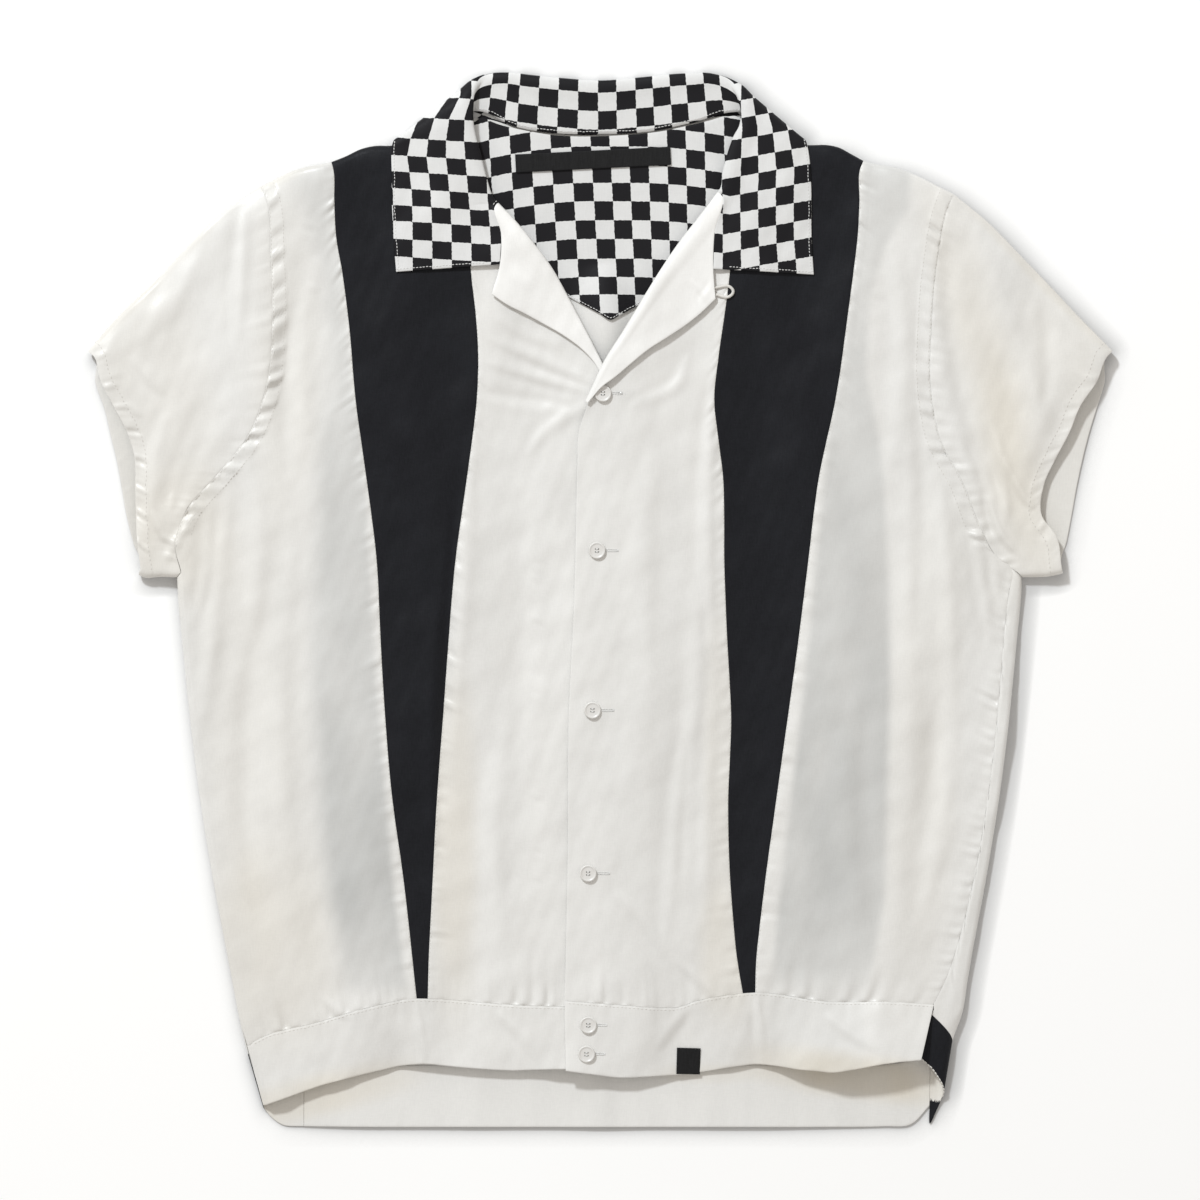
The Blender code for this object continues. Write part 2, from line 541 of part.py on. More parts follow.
def side_front(side):
    """Side front: inset seam to side, waistband to shoulder."""
    inner = inset_seam(side, "outer")
    edge, normals = side_edge(side, BAND[side][0])
    outer = left_seam() if side > 0 else edge - normals * FOLD
    outer = np.vstack([outer, armhole(side, ARMHOLE)[1:]])
    bottom = on_band(side, outer[0, 0], inner[0, 0], SIDE_COLUMNS)
    outer[0], inner[0] = bottom[0], bottom[-1]
    top, top_normals = shoulder_edge(side, tip(side)[0][0], inset_top(side), SIDE_COLUMNS)
    tangent = top - top_normals * FOLD
    outer[-1], inner[-1] = tangent[0], tangent[-1]
    main = raised(coons(bottom, tangent, outer, inner), FRONT_Z)
    grid = np.vstack([main, over_shoulder(top, top_normals, 90, EDGE_ANGLE)[1:]])
    if side > 0:
        return [draw_back(grid, "first_row", "first_column", "last_column")]
    draw_back(grid, "first_row", "last_column")
    draw_back(grid[BODY_ROWS + 1:], "first_column")
    fold = np.array([fold_points(*pair, 90, EDGE_ANGLE, FOLD_STEPS)
                     for pair in zip(edge, normals)])
    draw_back(fold, "first_row")
    draw_back(fold, "last_row", by=CORNER_SEAM)
    fold[:, 0] = grid[:BODY_ROWS + 1, 0]
    return [grid, fold]


def inset_top(side):
    """Where an inset's outer seam meets the shoulder, across."""
    return INSETS[-1].left_outer if side > 0 else INSETS[-1].right_outer


def inset(side):
    """Black inset: waistband point to shoulder."""
    outer, inner = inset_seam(side, "outer"), inset_seam(side, "inner")
    bottom = on_band(side, outer[0, 0], inner[0, 0], INSET_COLUMNS)
    outer[0], inner[0] = bottom[0], bottom[-1]
    top, normals = shoulder_edge(side, inset_top(side), SHOULDER[side][-1][0], INSET_COLUMNS)
    tangent = top - normals * FOLD
    outer[-1], inner[-1] = tangent[0], tangent[-1]
    main = raised(coons(bottom, tangent, outer, inner), FRONT_Z)
    grid = np.vstack([main, over_shoulder(top, normals, 90, EDGE_ANGLE)[1:]])
    return [draw_back(grid, "first_row", "first_column", "last_column")]


def roll_curve(side, column_x, column_y):
    """A lapel table's columns as plan points."""
    return np.array([(getattr(row, column_x), getattr(row, column_y)) for row in LAPELS[side]])


def roll_normals(side):
    """Unit plan normals of the roll line, towards the neck opening."""
    return -outward(roll_curve(side, "roll_x", "roll_y"), -side)


def centre_front(side):
    """Centre front: inset seam to front edge, waistband to neck and roll line."""
    roll = roll_curve(side, "roll_x", "roll_y")
    curl = np.array([row.curl for row in LAPELS[side]])[:, None]
    tangent = roll - roll_normals(side) * (curl + ROLL_SEAM)
    neck = np.array(NECK[side][1:NECK_TO_INSET + 1])[::-1]
    top = np.vstack([neck, tangent])
    inner = inset_seam(side, "inner")[:NECK_TO_INSET - len(NECK[side])]
    edge = spline(FRONT_EDGE[side], len(inner) - 1)
    edge[-1] = top[-1]
    bottom = on_band(side, inner[0, 0], edge[0, 0], len(top) - 1)
    inner[0], edge[0] = bottom[0], bottom[-1]
    plan = coons(bottom, top, inner, edge)
    grid = raised(plan, front_height(side, plan[..., 0], plan[..., 1]))
    draw_back(grid, "first_row", "first_column")
    draw_back(grid[:, :len(neck) + 1], "last_row")
    return [grid]


def facing(side):
    """Facing that shows as the lapel: up from the front, over the roll and out to its edge."""
    roll = roll_curve(side, "roll_x", "roll_y")
    edge = roll_curve(side, "edge_x", "edge_y")
    rows = []
    for point, normal, end, row in zip(roll, roll_normals(side), edge, LAPELS[side]):
        base = front_height(side, point[0], point[1])
        centre = point - normal * row.curl
        section = []
        for angle in np.linspace(-80.0, 90.0, TURN_STEPS + 1):
            a = radians(angle)
            plan = centre + normal * row.curl * cos(a)
            section.append((*plan, base + row.curl + row.curl * sin(a)))
        top = np.array(section[-1])
        last = np.array((*end, row.edge_z))
        section += [top + (last - top) * t for t in (1 / 3, 2 / 3, 1.0)]
        rows.append(section)
    grid = np.array(rows)
    for k, point in enumerate((*GORGE[side], LAPEL_CORNER[side])):
        grid[0, TURN_STEPS + 1 + k] = (*point, LEAF_TOP_Z)
    draw_back(grid[:, :-1], "first_row")
    return [grid]


def front_band(side):
    """Front waistband: seam to hem, from the side to the front edge."""
    if side > 0:
        places = (BAND[side][0].seam_x, INSETS[0].left_outer, INSETS[0].left_inner)
    else:
        edge, normals = side_edge(side, BAND[side][0])
        places = (edge[0, 0] - normals[0, 0] * FOLD, INSETS[0].right_outer,
                  INSETS[0].right_inner)
    steps = (SIDE_COLUMNS, INSET_COLUMNS, len(LAPELS[side]) + NECK_TO_INSET - 1)
    stops = (*places[1:], BAND[side][-1].seam_x)
    parts = [on_band(side, a, b, n) for a, b, n in zip(places, stops, steps)]
    seam = np.vstack([parts[0], parts[1][1:], parts[2][1:]])
    table = np.array(BAND[side])
    order = np.argsort(table[:, 0])
    hem = np.column_stack([np.interp(seam[:, 0], table[order, 0], table[order, k])
                           for k in (2, 3, 4)])
    grid = []
    for t in np.linspace(0.0, 1.0, BAND_ROWS + 1):
        plan = seam + (hem[:, :2] - seam) * t
        lift = hem[:, 2] * t
        if side > 0:
            lift = lift + front_height(side, plan[:, 0], plan[:, 1]) - FRONT_Z
        grid.append(raised(plan, FRONT_Z + lift))
    grid = draw_back(np.array(grid), "first_row")
    if side > 0:
        return [draw_back(grid, "first_column")]
    corner = np.array(BAND[side][0][:4])
    run = corner[2:] - corner[:2]
    normal = np.array([-run[1], run[0]]) / np.linalg.norm(run)
    normal *= -1.0 if normal[0] > 0 else 1.0
    fold = []
    for k, t in enumerate(np.linspace(0.0, 1.0, BAND_ROWS + 1)):
        strip = fold_points(corner[:2] + run * t, normal, 90, EDGE_ANGLE, FOLD_STEPS)
        strip[0] = grid[k, 0]
        fold.append(strip)
    fold = np.array(fold)
    draw_back(fold, "first_row")
    fold[:, 0] = grid[:, 0]
    return [grid, fold]


def foot(side):
    """The back's lower edge round its folded side, from the bottom layer up."""
    rows = SIDE_TABS[side][:FOOT_POINTS[side]]
    return np.array([(row.top_x, row.top_y, row.height) for row in rows])[::-1]


def back_seam(x):
    """Height of the seam between back and waistband at a place across."""
    table = [(row.seam_x, row.seam_y) for row in BACK_BAND]
    table = np.array([foot(-1)[0, :2], *table, foot(1)[0, :2]])
    return np.interp(x, table[:, 0], table[:, 1])


def back_side(side, guide_foot):
    """One side of the back: its flat part up to the shoulder fold, and its folded side."""
    edge, normals = side_edge(side, foot(side)[-1, :2] if side < 0 else foot(side)[3, :2])
    outer = np.vstack([edge - normals * FOLD, armhole(side, BACK_ARMHOLE)[1:]])
    neck_x = SHOULDER[side][-1][0]
    top, top_normals = shoulder_edge(side, tip(side)[0][0], neck_x, BACK_SIDE_COLUMNS)
    tangent = top - top_normals * FOLD
    outer[0], outer[-1] = foot(side)[0, :2], tangent[0]
    guide = np.linspace((guide_foot, back_seam(guide_foot)), tangent[-1], len(outer))
    bottom_x = np.linspace(outer[0, 0], guide_foot, BACK_SIDE_COLUMNS + 1)
    bottom = np.column_stack([bottom_x, back_seam(bottom_x)])
    plan = coons(bottom, tangent, outer, guide)
    flat = raised(plan, back_height(plan[..., 0], plan[..., 1]))
    turned = over_shoulder(top, top_normals, -90, -EDGE_ANGLE, flat[-1, :, 2])
    grid = np.vstack([flat, turned[1:]])
    draw_back(grid, "first_row")
    draw_back(grid[BODY_ROWS + 1:], "first_column")
    draw_back(grid[-FOLD_STEPS:], "last_column")
    stop, steps = (-EDGE_ANGLE, FOLD_STEPS) if side < 0 else (90, 2 * FOLD_STEPS)
    fold = np.array([fold_points(*pair, -90, stop, steps) for pair in zip(edge, normals)])
    if side > 0:
        seam = left_seam() + (2 * SEAM, 0.0)
        fold = np.concatenate([fold, raised(seam, FRONT_Z)[:, None]], axis=1)
    fold[0] = foot(side)
    draw_back(fold, "first_row")
    draw_back(fold, "last_row", by=CORNER_SEAM)
    fold[:, 0] = grid[:BODY_ROWS + 1, 0]
    return grid, fold, flat[:, -1]


def back():
    """Back: waistband to neck and shoulders, round the wearer's left side to its seam."""
    right, right_fold, _ = back_side(-1, -BACK_GUIDE)
    left, left_fold, _ = back_side(1, BACK_GUIDE)
    rows = BODY_ROWS + ARMHOLE_ROWS + 1
    guides = right[:rows, -1], left[:rows, -1]
    bottom_x = np.linspace(-BACK_GUIDE, BACK_GUIDE, BACK_COLUMNS + 1)
    bottom = np.column_stack([bottom_x, back_seam(bottom_x)])
    neck = spline(BACK_NECK, BACK_COLUMNS) - (0.0, 2 * SEAM)
    neck[0], neck[-1] = guides[0][-1, :2], guides[1][-1, :2]
    plan = coons(bottom, neck, guides[0][:, :2], guides[1][:, :2])
    middle = raised(plan, back_height(plan[..., 0], plan[..., 1]))
    draw_back(middle[:, 1:-1], "first_row")
    middle[:, 0], middle[:, -1] = guides
    return [right, right_fold, left, left_fold, middle]


def yoke():
    """Inner yoke, lying on the back: pointed at the bottom, cut to the neck at the top."""
    x = np.linspace(-YOKE_HALF_WIDTH, YOKE_HALF_WIDTH, YOKE_COLUMNS + 1)
    x[np.argmin(np.abs(x - YOKE_POINT[0]))] = YOKE_POINT[0]
    neck = spline(BACK_NECK, 40)
    shoulder = {side: spline(SHOULDER[side], 60)[::-side] for side in (-1, 1)}
    inside = np.interp(x, neck[:, 0], neck[:, 1]) - YOKE_SEAM
    right = np.interp(x, shoulder[-1][:, 0], shoulder[-1][:, 1]) - FOLD - 3.0
    left = np.interp(x, shoulder[1][:, 0], shoulder[1][:, 1]) - FOLD - 3.0
    at_neck = (x > SHOULDER[-1][-1][0] + 8.0) & (x < SHOULDER[1][-1][0] - 8.0)
    top = np.where(at_neck, inside, np.where(x < 0, right, left))
    depth = np.abs(x - YOKE_POINT[0]) / YOKE_HALF_WIDTH
    low = YOKE_POINT[1] + (YOKE_SIDE_Y - YOKE_POINT[1]) * np.minimum(depth, 1.0)
    rows = []
    for t in np.linspace(0.0, 1.0, YOKE_ROWS + 1):
        y = low + (top - low) * t
        rows.append(np.column_stack([x, y, back_height(x, y) + YOKE_Z]))
    return [np.array(rows)]


def leaf_section(leaf, side):
    """A collar section that lies flat, from its outer edge to the edge sewn to the lapel."""
    last = np.array((leaf.inner[0] + side * 2 * SEAM, leaf.inner[1], LEAF_TOP_Z))
    first = np.array((*leaf.outer, LEAF_EDGE_Z))
    steps = TURN_STEPS + STAND_COLUMNS
    flat = 1.0 - LEAF_MARGIN
    places = [*np.linspace(0.0, flat, FALL_COLUMNS + 1), *np.linspace(flat, 1.0, steps + 1)[1:]]
    return [first + (last - first) * t for t in places]


def corner_section(corner, side):
    """A section that ends on the roll, where the seam goes round from gorge to neck edge."""
    roll = roll_curve(side, "roll_x", "roll_y")
    up = (roll[0] - roll[1]) / np.linalg.norm(roll[0] - roll[1])
    normal = roll_normals(side)[0]
    foot_point = roll[0] - normal * FRONT_CURL + up * 2.5 * SEAM
    steps = TURN_STEPS + STAND_COLUMNS
    turned = []
    for t in np.linspace(0.0, 1.0, steps + 1):
        a = radians(90.0 + (corner.angle - 90.0) * t)
        plan = foot_point + up * corner.beyond * (1.0 - t) + normal * FRONT_CURL * cos(a)
        turned.append(np.array((*plan, FRONT_Z + FRONT_CURL * (1.0 + sin(a)))))
    outer = np.array((*corner.outer, LEAF_EDGE_Z))
    if corner.angle == 90:
        last = turned[-1]
        flat = 1.0 - LEAF_MARGIN
        turned = [outer + (last - outer) * t for t in np.linspace(flat, 1.0, steps + 1)]
    fall = [outer + (turned[0] - outer) * t for t in np.linspace(0.0, 1.0, FALL_COLUMNS + 1)]
    return fall + turned[1:]


def turned_section(station):
    """A collar section: outer edge, fall, turn, stand and neck edge."""
    turn, beyond = radians(station.turn), radians(station.beyond)
    top_share, back_share = max(0.0, sin(turn)), max(0.0, -sin(turn))
    middle = 1.0 - top_share - back_share
    curl = FRONT_CURL * top_share + BACK_CURL * back_share + SHOULDER_CURL * middle
    centre_z = ((LEAF_TOP_Z - FRONT_CURL) * top_share + (BACK_Z + BACK_CURL) * back_share
                + FALL_FOLD_Z * middle)
    outer_z = LEAF_EDGE_Z * top_share + BACK_Z * back_share + FALL_FOLD_Z * middle
    ahead = np.array([cos(beyond), sin(beyond), 0.0])
    side = 1.0 if station.crest[0] > 0 else -1.0
    out = np.array([-ahead[1], ahead[0], 0.0])
    out *= 1.0 if out[0] * side > 0 else -1.0
    apart = out * cos(turn) + np.array([0.0, 0.0, sin(turn)])
    centre = np.array((*station.crest, centre_z)) - ahead * curl
    fall = centre + apart * curl
    outer = np.array((*station.outer, outer_z))
    across = (fall - outer)[:2] / np.linalg.norm((fall - outer)[:2])
    swell = np.array([-across[1], across[0], 0.0]) * station.bulge
    swell *= 1.0 if swell[1] > 0 else -1.0
    section = [outer + (fall - outer) * t + swell * sin(pi * t)
               for t in np.linspace(0.0, 1.0, FALL_COLUMNS + 1)]
    for angle in np.linspace(90.0, -90.0, TURN_STEPS + 1)[1:]:
        a = radians(angle)
        section.append(centre + ahead * curl * cos(a) + apart * curl * sin(a))
    stand, neck = section[-1], np.array(station.neck)
    neck[:2] += (stand - neck)[:2] / np.linalg.norm((stand - neck)[:2]) * NECK_SEAM
    section += [stand + (neck - stand) * t
                for t in np.linspace(0.0, 1.0, STAND_COLUMNS + 1)[1:]]
    return section


def half_collar(side):
    """Sections of half the collar, from its point to the middle of the back."""
    sections = [leaf_section(leaf, side) for leaf in LEAVES[side]]
    sections += [corner_section(corner, side) for corner in CORNERS[side]]
    return sections + [turned_section(station) for station in STATIONS[side]]


def collar():
    """Collar in one: both leaves, the fall under the back and the stand inside the neck."""
    return [np.array([*half_collar(-1), turned_section(COLLAR_BACK), *half_collar(1)[::-1]])]


def back_band():
    """Back waistband, from side piece to side piece."""
    rows = []
    for t in np.linspace(0.0, 1.0, BAND_ROWS):
        rows.append([(row.seam_x + (row.hem_x - row.seam_x) * t,
                      row.seam_y + (row.hem_y - row.seam_y) * t, BACK_Z) for row in BACK_BAND])
    grid = np.array(rows)
    return [draw_back(grid, "first_row", "first_column", "last_column")]


def side_tab(side):
    """Waistband side piece, round the folded side."""
    rows = []
    for t in np.linspace(0.0, 1.0, TAB_ROWS + 1):
        rows.append([(row.top_x + (row.low_x - row.top_x) * t,
                      row.top_y + (row.low_y - row.top_y) * t, row.height)
                     for row in SIDE_TABS[side]])
    return [draw_back(np.array(rows), "first_row", "first_column", "last_column")]


def sleeve(side):
    """Sleeve: a flattened tube, open at the armhole and at the hem."""
    point, normal = tip(side)
    tube = []
    tops = spline(SLEEVE_TOP[side], SLEEVE_ROWS)
    top_normals = outward(tops[::-1], side)[::-1]
    top_normals[0] = normal
    unders = spline(SLEEVE_UNDER[side], SLEEVE_ROWS)
    under_normals = -outward(unders[::-1], side)[::-1]
    under_normals[0] = np.array([side, -1.0]) / 2**0.5
    low_z = back_height(*(point - normal * FOLD))
    upper_top = np.array([fold_points(p, n, 90, -90, 2 * FOLD_STEPS, None)
                          for p, n in zip(tops, top_normals)])
    upper_top[0] = fold_points(point, normal, 90, -90, 2 * FOLD_STEPS, low_z)
    under = np.array([fold_points(p, n, -90, 90, 2 * FOLD_STEPS)
                      for p, n in zip(unders, under_normals)])
    hem = spline([under[-1, -1, :2], *SLEEVE_HEM[side][1:-1], upper_top[-1, 0, :2]],
                 ARMHOLE_ROWS)
    back_hem = spline([under[-1, 0, :2], *SLEEVE_BACK_HEM[side][1:-1], upper_top[-1, -1, :2]],
                      ARMHOLE_ROWS)
    front = coons(armhole(side, ARMHOLE), hem, under[:, -1, :2], upper_top[:, 0, :2])
    rear = coons(armhole(side, BACK_ARMHOLE), back_hem, under[:, 0, :2], upper_top[:, -1, :2])
    swell = np.sin(np.linspace(0.0, pi, ARMHOLE_ROWS + 1))[None, :]
    grow = np.linspace(0.0, 1.0, SLEEVE_ROWS + 1)[:, None]
    front = raised(front, FRONT_Z + SLEEVE_CROWN * swell * grow)
    rear = raised(rear, BACK_Z)
    for k in range(SLEEVE_ROWS + 1):
        ring = [*front[k], *upper_top[k][1:-1], *rear[k][::-1], *under[k][1:-1], front[k][0]]
        tube.append(ring)
    tube = draw_back(np.array(tube), "first_row")
    low = len(front[0]) + 2 * FOLD_STEPS - 1 + len(rear[0])
    draw_back(tube[:, low - 1:low + 2 * FOLD_STEPS], "first_row", by=CORNER_SEAM - SEAM)
    tube[0, 0] = tube[0, -1]
    return [tube]


def ribbon(place, height):
    """A flat woven ribbon, tilted in plan."""
    a = radians(place.tilt)
    rows = []
    for v in (-0.5, 0.0, 0.5):
        row = []
        for u in np.linspace(-0.5, 0.5, 5):
            x, y = u * place.width, v * place.height
            plan = (place.x + x * cos(a) - y * sin(a), place.y + x * sin(a) + y * cos(a))
            row.append((*plan, height(*plan)))
        rows.append(row)
    return [np.array(rows)]


def loop():
    """Button loop: cord lying on the front."""
    line = spline(LOOP, LOOP_POINTS)
    across = outward(line, 1) * CORD / 2
    return [raised(np.array([line - across, line + across]), FRONT_Z + LAYER)]


def button(name, place, seat):
    """A rimmed button with four holes, turned from its half profile."""
    dish, top = BUTTON_THICKNESS - BUTTON_DISH, BUTTON_THICKNESS
    profile = ((0.0, 0.0), (BUTTON_RADIUS * 0.8, 0.0), (BUTTON_RADIUS, 0.7), (BUTTON_RADIUS, 1.4),
               (BUTTON_RADIUS - 0.5, top), (BUTTON_RADIUS - BUTTON_RIM, top),
               (BUTTON_RADIUS - BUTTON_RIM - 0.7, dish), (0.0, dish))
    bm = bmesh.new()
    verts = [bm.verts.new((r * MM, 0.0, z * MM)) for r, z in profile]
    edges = [bm.edges.new(pair) for pair in zip(verts, verts[1:])]
    bmesh.ops.spin(bm, geom=verts + edges, axis=(0, 0, 1), cent=(0, 0, 0), angle=2 * pi,
                   steps=BUTTON_SIDES, use_merge=True)
    bmesh.ops.remove_doubles(bm, verts=bm.verts, dist=0.002 * MM)
    bmesh.ops.recalc_face_normals(bm, faces=bm.faces)
    mesh = bpy.data.meshes.new(name)
    bm.to_mesh(mesh)
    bm.free()
    mesh.shade_smooth()
    mesh.set_sharp_from_angle(angle=radians(35))
    mesh.materials.append(finish(PEARL))
    obj = bpy.data.objects.new(name, mesh)
    obj.location = (place[0] * MM, place[1] * MM, seat * MM)
    bpy.context.collection.objects.link(obj)
    for k in range(4):
        a = pi / 4 + k * pi / 2
        spread = BUTTON_HOLE_SPREAD * MM
        cutter = hole_cutter(f"{name}_hole_{k + 1}")
        cutter.location = obj.location
        cutter.location.x += spread * cos(a)
        cutter.location.y += spread * sin(a)
        cutter.rotation_euler.z = BUTTON_HOLE_TURN
        cut = obj.modifiers.new(f"Hole {k + 1}", "BOOLEAN")
        cut.operation = "DIFFERENCE"
        cut.object = cutter
    return obj


def hole_cutter(name):
    """A thin upright prism that cuts one thread hole."""
    bm = bmesh.new()
    radius = BUTTON_HOLE_RADIUS * MM
    bmesh.ops.create_cone(bm, cap_ends=True, segments=8, radius1=radius, radius2=radius,
                          depth=6 * BUTTON_THICKNESS * MM)
    mesh = bpy.data.meshes.new(name)
    bm.to_mesh(mesh)
    bm.free()
    obj = bpy.data.objects.new(name, mesh)
    obj.hide_render = True
    obj.display_type = "WIRE"
    bpy.context.collection.objects.link(obj)
    return obj


def build():
    """Every piece of the shirt."""
    for obj in list(bpy.data.objects):
        bpy.data.objects.remove(obj)
    sheet("back", back(), CREAM)
    sheet("yoke_inner", yoke(), CHECK)
    for side, wearer in ((-1, "right"), (1, "left")):
        sheet(f"side_front_{wearer}", side_front(side), CREAM)
        sheet(f"inset_{wearer}", inset(side), BLACK)
        sheet(f"front_{wearer}", centre_front(side), CREAM)
        sheet(f"facing_{wearer}", facing(side), CREAM)
        sheet(f"band_front_{wearer}", front_band(side), CREAM)
        sheet(f"band_side_{wearer}", side_tab(side), BLACK)
        sheet(f"sleeve_{wearer}", sleeve(side), CREAM)
    sheet("band_back", back_band(), CREAM)
    sheet("collar", collar(), CHECK)
    sheet("neck_label", ribbon(LABEL, lambda x, y: back_height(x, y) + 2 * LAYER), BLACK, RIBBON)
    sheet("hem_tag", ribbon(TAG, lambda x, y: TAG_Z), BLACK, RIBBON)
    sheet("loop", loop(), CREAM, RIBBON)
    for name, place in BUTTONS.items():
        button(name, place, FRONT_Z + LAP_LIFT + CLOTH / 2 + 0.3)


build()
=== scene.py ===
"""Looks of a camp-collar bowling shirt, buttoned and laid flat on its back.

Lengths are millimetres in the row frame and become metres when a mesh is made. +X is the
wearer's left, +Y runs from hem to collar and +Z is up from the surface the shirt lies on.
A cloth piece starts as a coarse grid of points halfway through its wall. The grid is made
fine, given its folds, seams and puckers, and then closed to a thin shell.
"""

import logging
from dataclasses import dataclass, field
from enum import Enum
from math import cos, pi, radians, sin
from typing import Callable, ClassVar, NamedTuple, Sequence

import bmesh
import bpy
import numpy as np
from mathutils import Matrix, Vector


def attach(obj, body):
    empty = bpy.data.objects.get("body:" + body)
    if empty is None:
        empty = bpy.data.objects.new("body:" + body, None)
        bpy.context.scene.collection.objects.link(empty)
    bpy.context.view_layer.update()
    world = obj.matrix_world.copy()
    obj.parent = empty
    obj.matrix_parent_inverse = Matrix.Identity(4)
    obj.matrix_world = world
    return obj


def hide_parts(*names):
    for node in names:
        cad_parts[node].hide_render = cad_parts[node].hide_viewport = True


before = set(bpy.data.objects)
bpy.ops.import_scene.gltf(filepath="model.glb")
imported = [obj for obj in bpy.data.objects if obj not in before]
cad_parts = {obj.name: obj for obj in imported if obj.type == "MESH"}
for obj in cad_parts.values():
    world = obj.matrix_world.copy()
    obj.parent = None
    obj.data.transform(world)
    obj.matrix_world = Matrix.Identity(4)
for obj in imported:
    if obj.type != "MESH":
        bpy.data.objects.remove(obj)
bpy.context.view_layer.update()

LOG = logging.getLogger("bowling_shirt")
Array = np.ndarray
Colour = tuple[float, float, float]
Plan = tuple[float, float]

MM = 0.001
BODY = "root"

# Cloth and layers.
CLOTH = 0.7          # wall of one cloth
DOUBLED = 1.1        # wall of the collar, the lapels and the waistband
RIBBON = 0.6         # wall of the label and the tag
SEAM = 0.03          # each side of a seam draws back by this
CORNER_SEAM = 0.3    # and by this where two folded edges meet under the arm
FOOT_SEAMS = 2.5     # seams from the roll's top end to the collar's foot
ROLL_SEAM = 0.45     # from the foot of the roll to the front
EDGE_ANGLE = 1.0     # degrees from a folded edge to the seam that runs along it
BACK_Z = 0.6         # middle of the back cloth
FRONT_Z = 9.0        # middle of the front cloth
FOLD_Z = (BACK_Z + FRONT_Z) / 2
FOLD = (FRONT_Z - BACK_Z) / 2
UPPER_FROM, UPPER_RUN = 2.4, 5.0    # heights between which the front layer begins
UNDER_SHARE = -0.15  # of a seam's relief that shows on the layer below
MID_SQUARE = 0.5     # the cloth runs through the middle of the check's cubes
CLEAR = 0.05         # least gap between a cloth and the surface
THREAD_CLEAR = 0.25  # and between a row of stitches and the surface
HEM_RISE = 1.6       # of the back's hem off the surface
HEM_RISE_END = 200.0 # across, where the hem is down again
LAYER = 1.6          # step from the middle of one cloth to the next one lying on it

# The collar's fall runs under the back here and lifts it by one layer.
FALL_LIFT_FROM, FALL_LIFT_TO = 248.0, 284.0
FALL_HALF_WIDTH, FALL_LIFT_RUN = 150.0, 25.0

# The buttonhole side laps over the button side.
LAP_LIFT = 2.0
LAP_FLAT, LAP_START = 20.0, 46.0

# Where the button side sinks below the other front's lapel.
SINK = 1.6
SINK_X, SINK_Y, SINK_RUN = -40.0, 84.0, 30.0

CURVE_PARTS = 12      # straight parts of a curve between two of its points
CURVE_STEPS, SHOULDER_STEPS = 90, 60    # of curves that places are read from

# Lines beside a finished border: distance from it, and the most of the first step it may take.
EDGE_LINES = ((0.22, 0.45), (0.6, 0.7))
CLOSE_ROWS = 1.1      # rows closer than this need none

# Divisions of the coarse grids.
BODY_ROWS = 16       # waistband to underarm
ARMHOLE_ROWS = 8     # underarm to shoulder
FOLD_STEPS = 3       # a quarter turn at a folded edge
SLEEVE_ROWS = 5
ARMHOLE_EASE = 1.35  # rows crowd towards the underarm
SIDE_COLUMNS = 10
BACK_SIDE_COLUMNS = 16
BACK_COLUMNS = 12
BACK_GUIDE = 84.0    # columns of the back run from here, at the waistband, to the neck
INSET_COLUMNS = 9


class Wearer(Enum):
    """Sides as the wearer has them, with the sign that each has along X."""

    RIGHT = -1
    LEFT = 1

    def node(self, piece: str) -> str:
        """Name of this side's node of a piece."""
        return f"{piece}_{self.name.lower()}"


class Side(NamedTuple):
    """Folded side edges at one height, and the seam that shows on the wearer's left."""

    height: float
    right: float
    left: float
    left_seam: float


class Inset(NamedTuple):
    """Seams of the two insets at one height."""

    height: float
    right_outer: float
    right_inner: float
    left_inner: float
    left_outer: float


class Lapel(NamedTuple):
    """One step along a lapel: its place on the roll, its outer edge, and how tight it rolls."""

    roll_x: float
    roll_y: float
    edge_x: float
    edge_y: float
    edge_z: float
    curl: float


class Band(NamedTuple):
    """One step along the waistband: seam, hem, and how far the hem lifts."""

    seam_x: float
    seam_y: float
    hem_x: float
    hem_y: float
    lift: float


class Tab(NamedTuple):
    """One step across a waistband side piece: upper seam, hem and height."""

    top_x: float
    top_y: float
    low_x: float
    low_y: float
    height: float


class Leaf(NamedTuple):
    """A flat section of a collar leaf."""

    inner: Plan
    outer: Plan


class Corner(NamedTuple):
    """A collar section that ends on the roll, where gorge becomes neck edge."""

    angle: float
    beyond: float
    outer: Plan


class Station(NamedTuple):
    """A collar section with a crest. turn is the way the fall lies from the stand."""

    crest: Plan
    neck: tuple[float, float, float]
    outer: Plan
    turn: float
    beyond: float


class Ribbon(NamedTuple):
    """A flat ribbon: middle, size and tilt."""

    x: float
    y: float
    width: float
    height: float
    tilt: float


def each(kind: type, table: Sequence) -> tuple:
    """A table's rows as one kind of step."""
    return tuple(kind(*row) for row in table)


def sided(kind: type, tables: dict[int, Sequence]) -> dict[int, tuple]:
    """The same for the tables of both sides, the wearer's right one at -1."""
    return {side: each(kind, table) for side, table in tables.items()}


# Sides of the body: folded edges, and the seam that shows on the wearer's left.
SIDES = each(Side, (
    (-308, -235.2, 235.2, 222),
    (-295, -237.9, 236.8, 221.5),
    (-276, -242, 242.3, 222.5),
    (-241.2, -248.6, 248, 236),
    (-187.6, -258.7, 258, 249.8),
    (-134, -267.4, 266.7, 259.2),
    (-80.4, -274.1, 273.4, 265.3),
    (-26.8, -279.5, 278.8, 270),
    (6.7, -282.8, 282.1, 273.6),
))
UNDERARM = {-1: (-282.8, 15.4), 1: (282.1, 15.4)}
SEAM_FOOT, SEAM_HEAD = (222.6, -271.8), (275, 21.6)

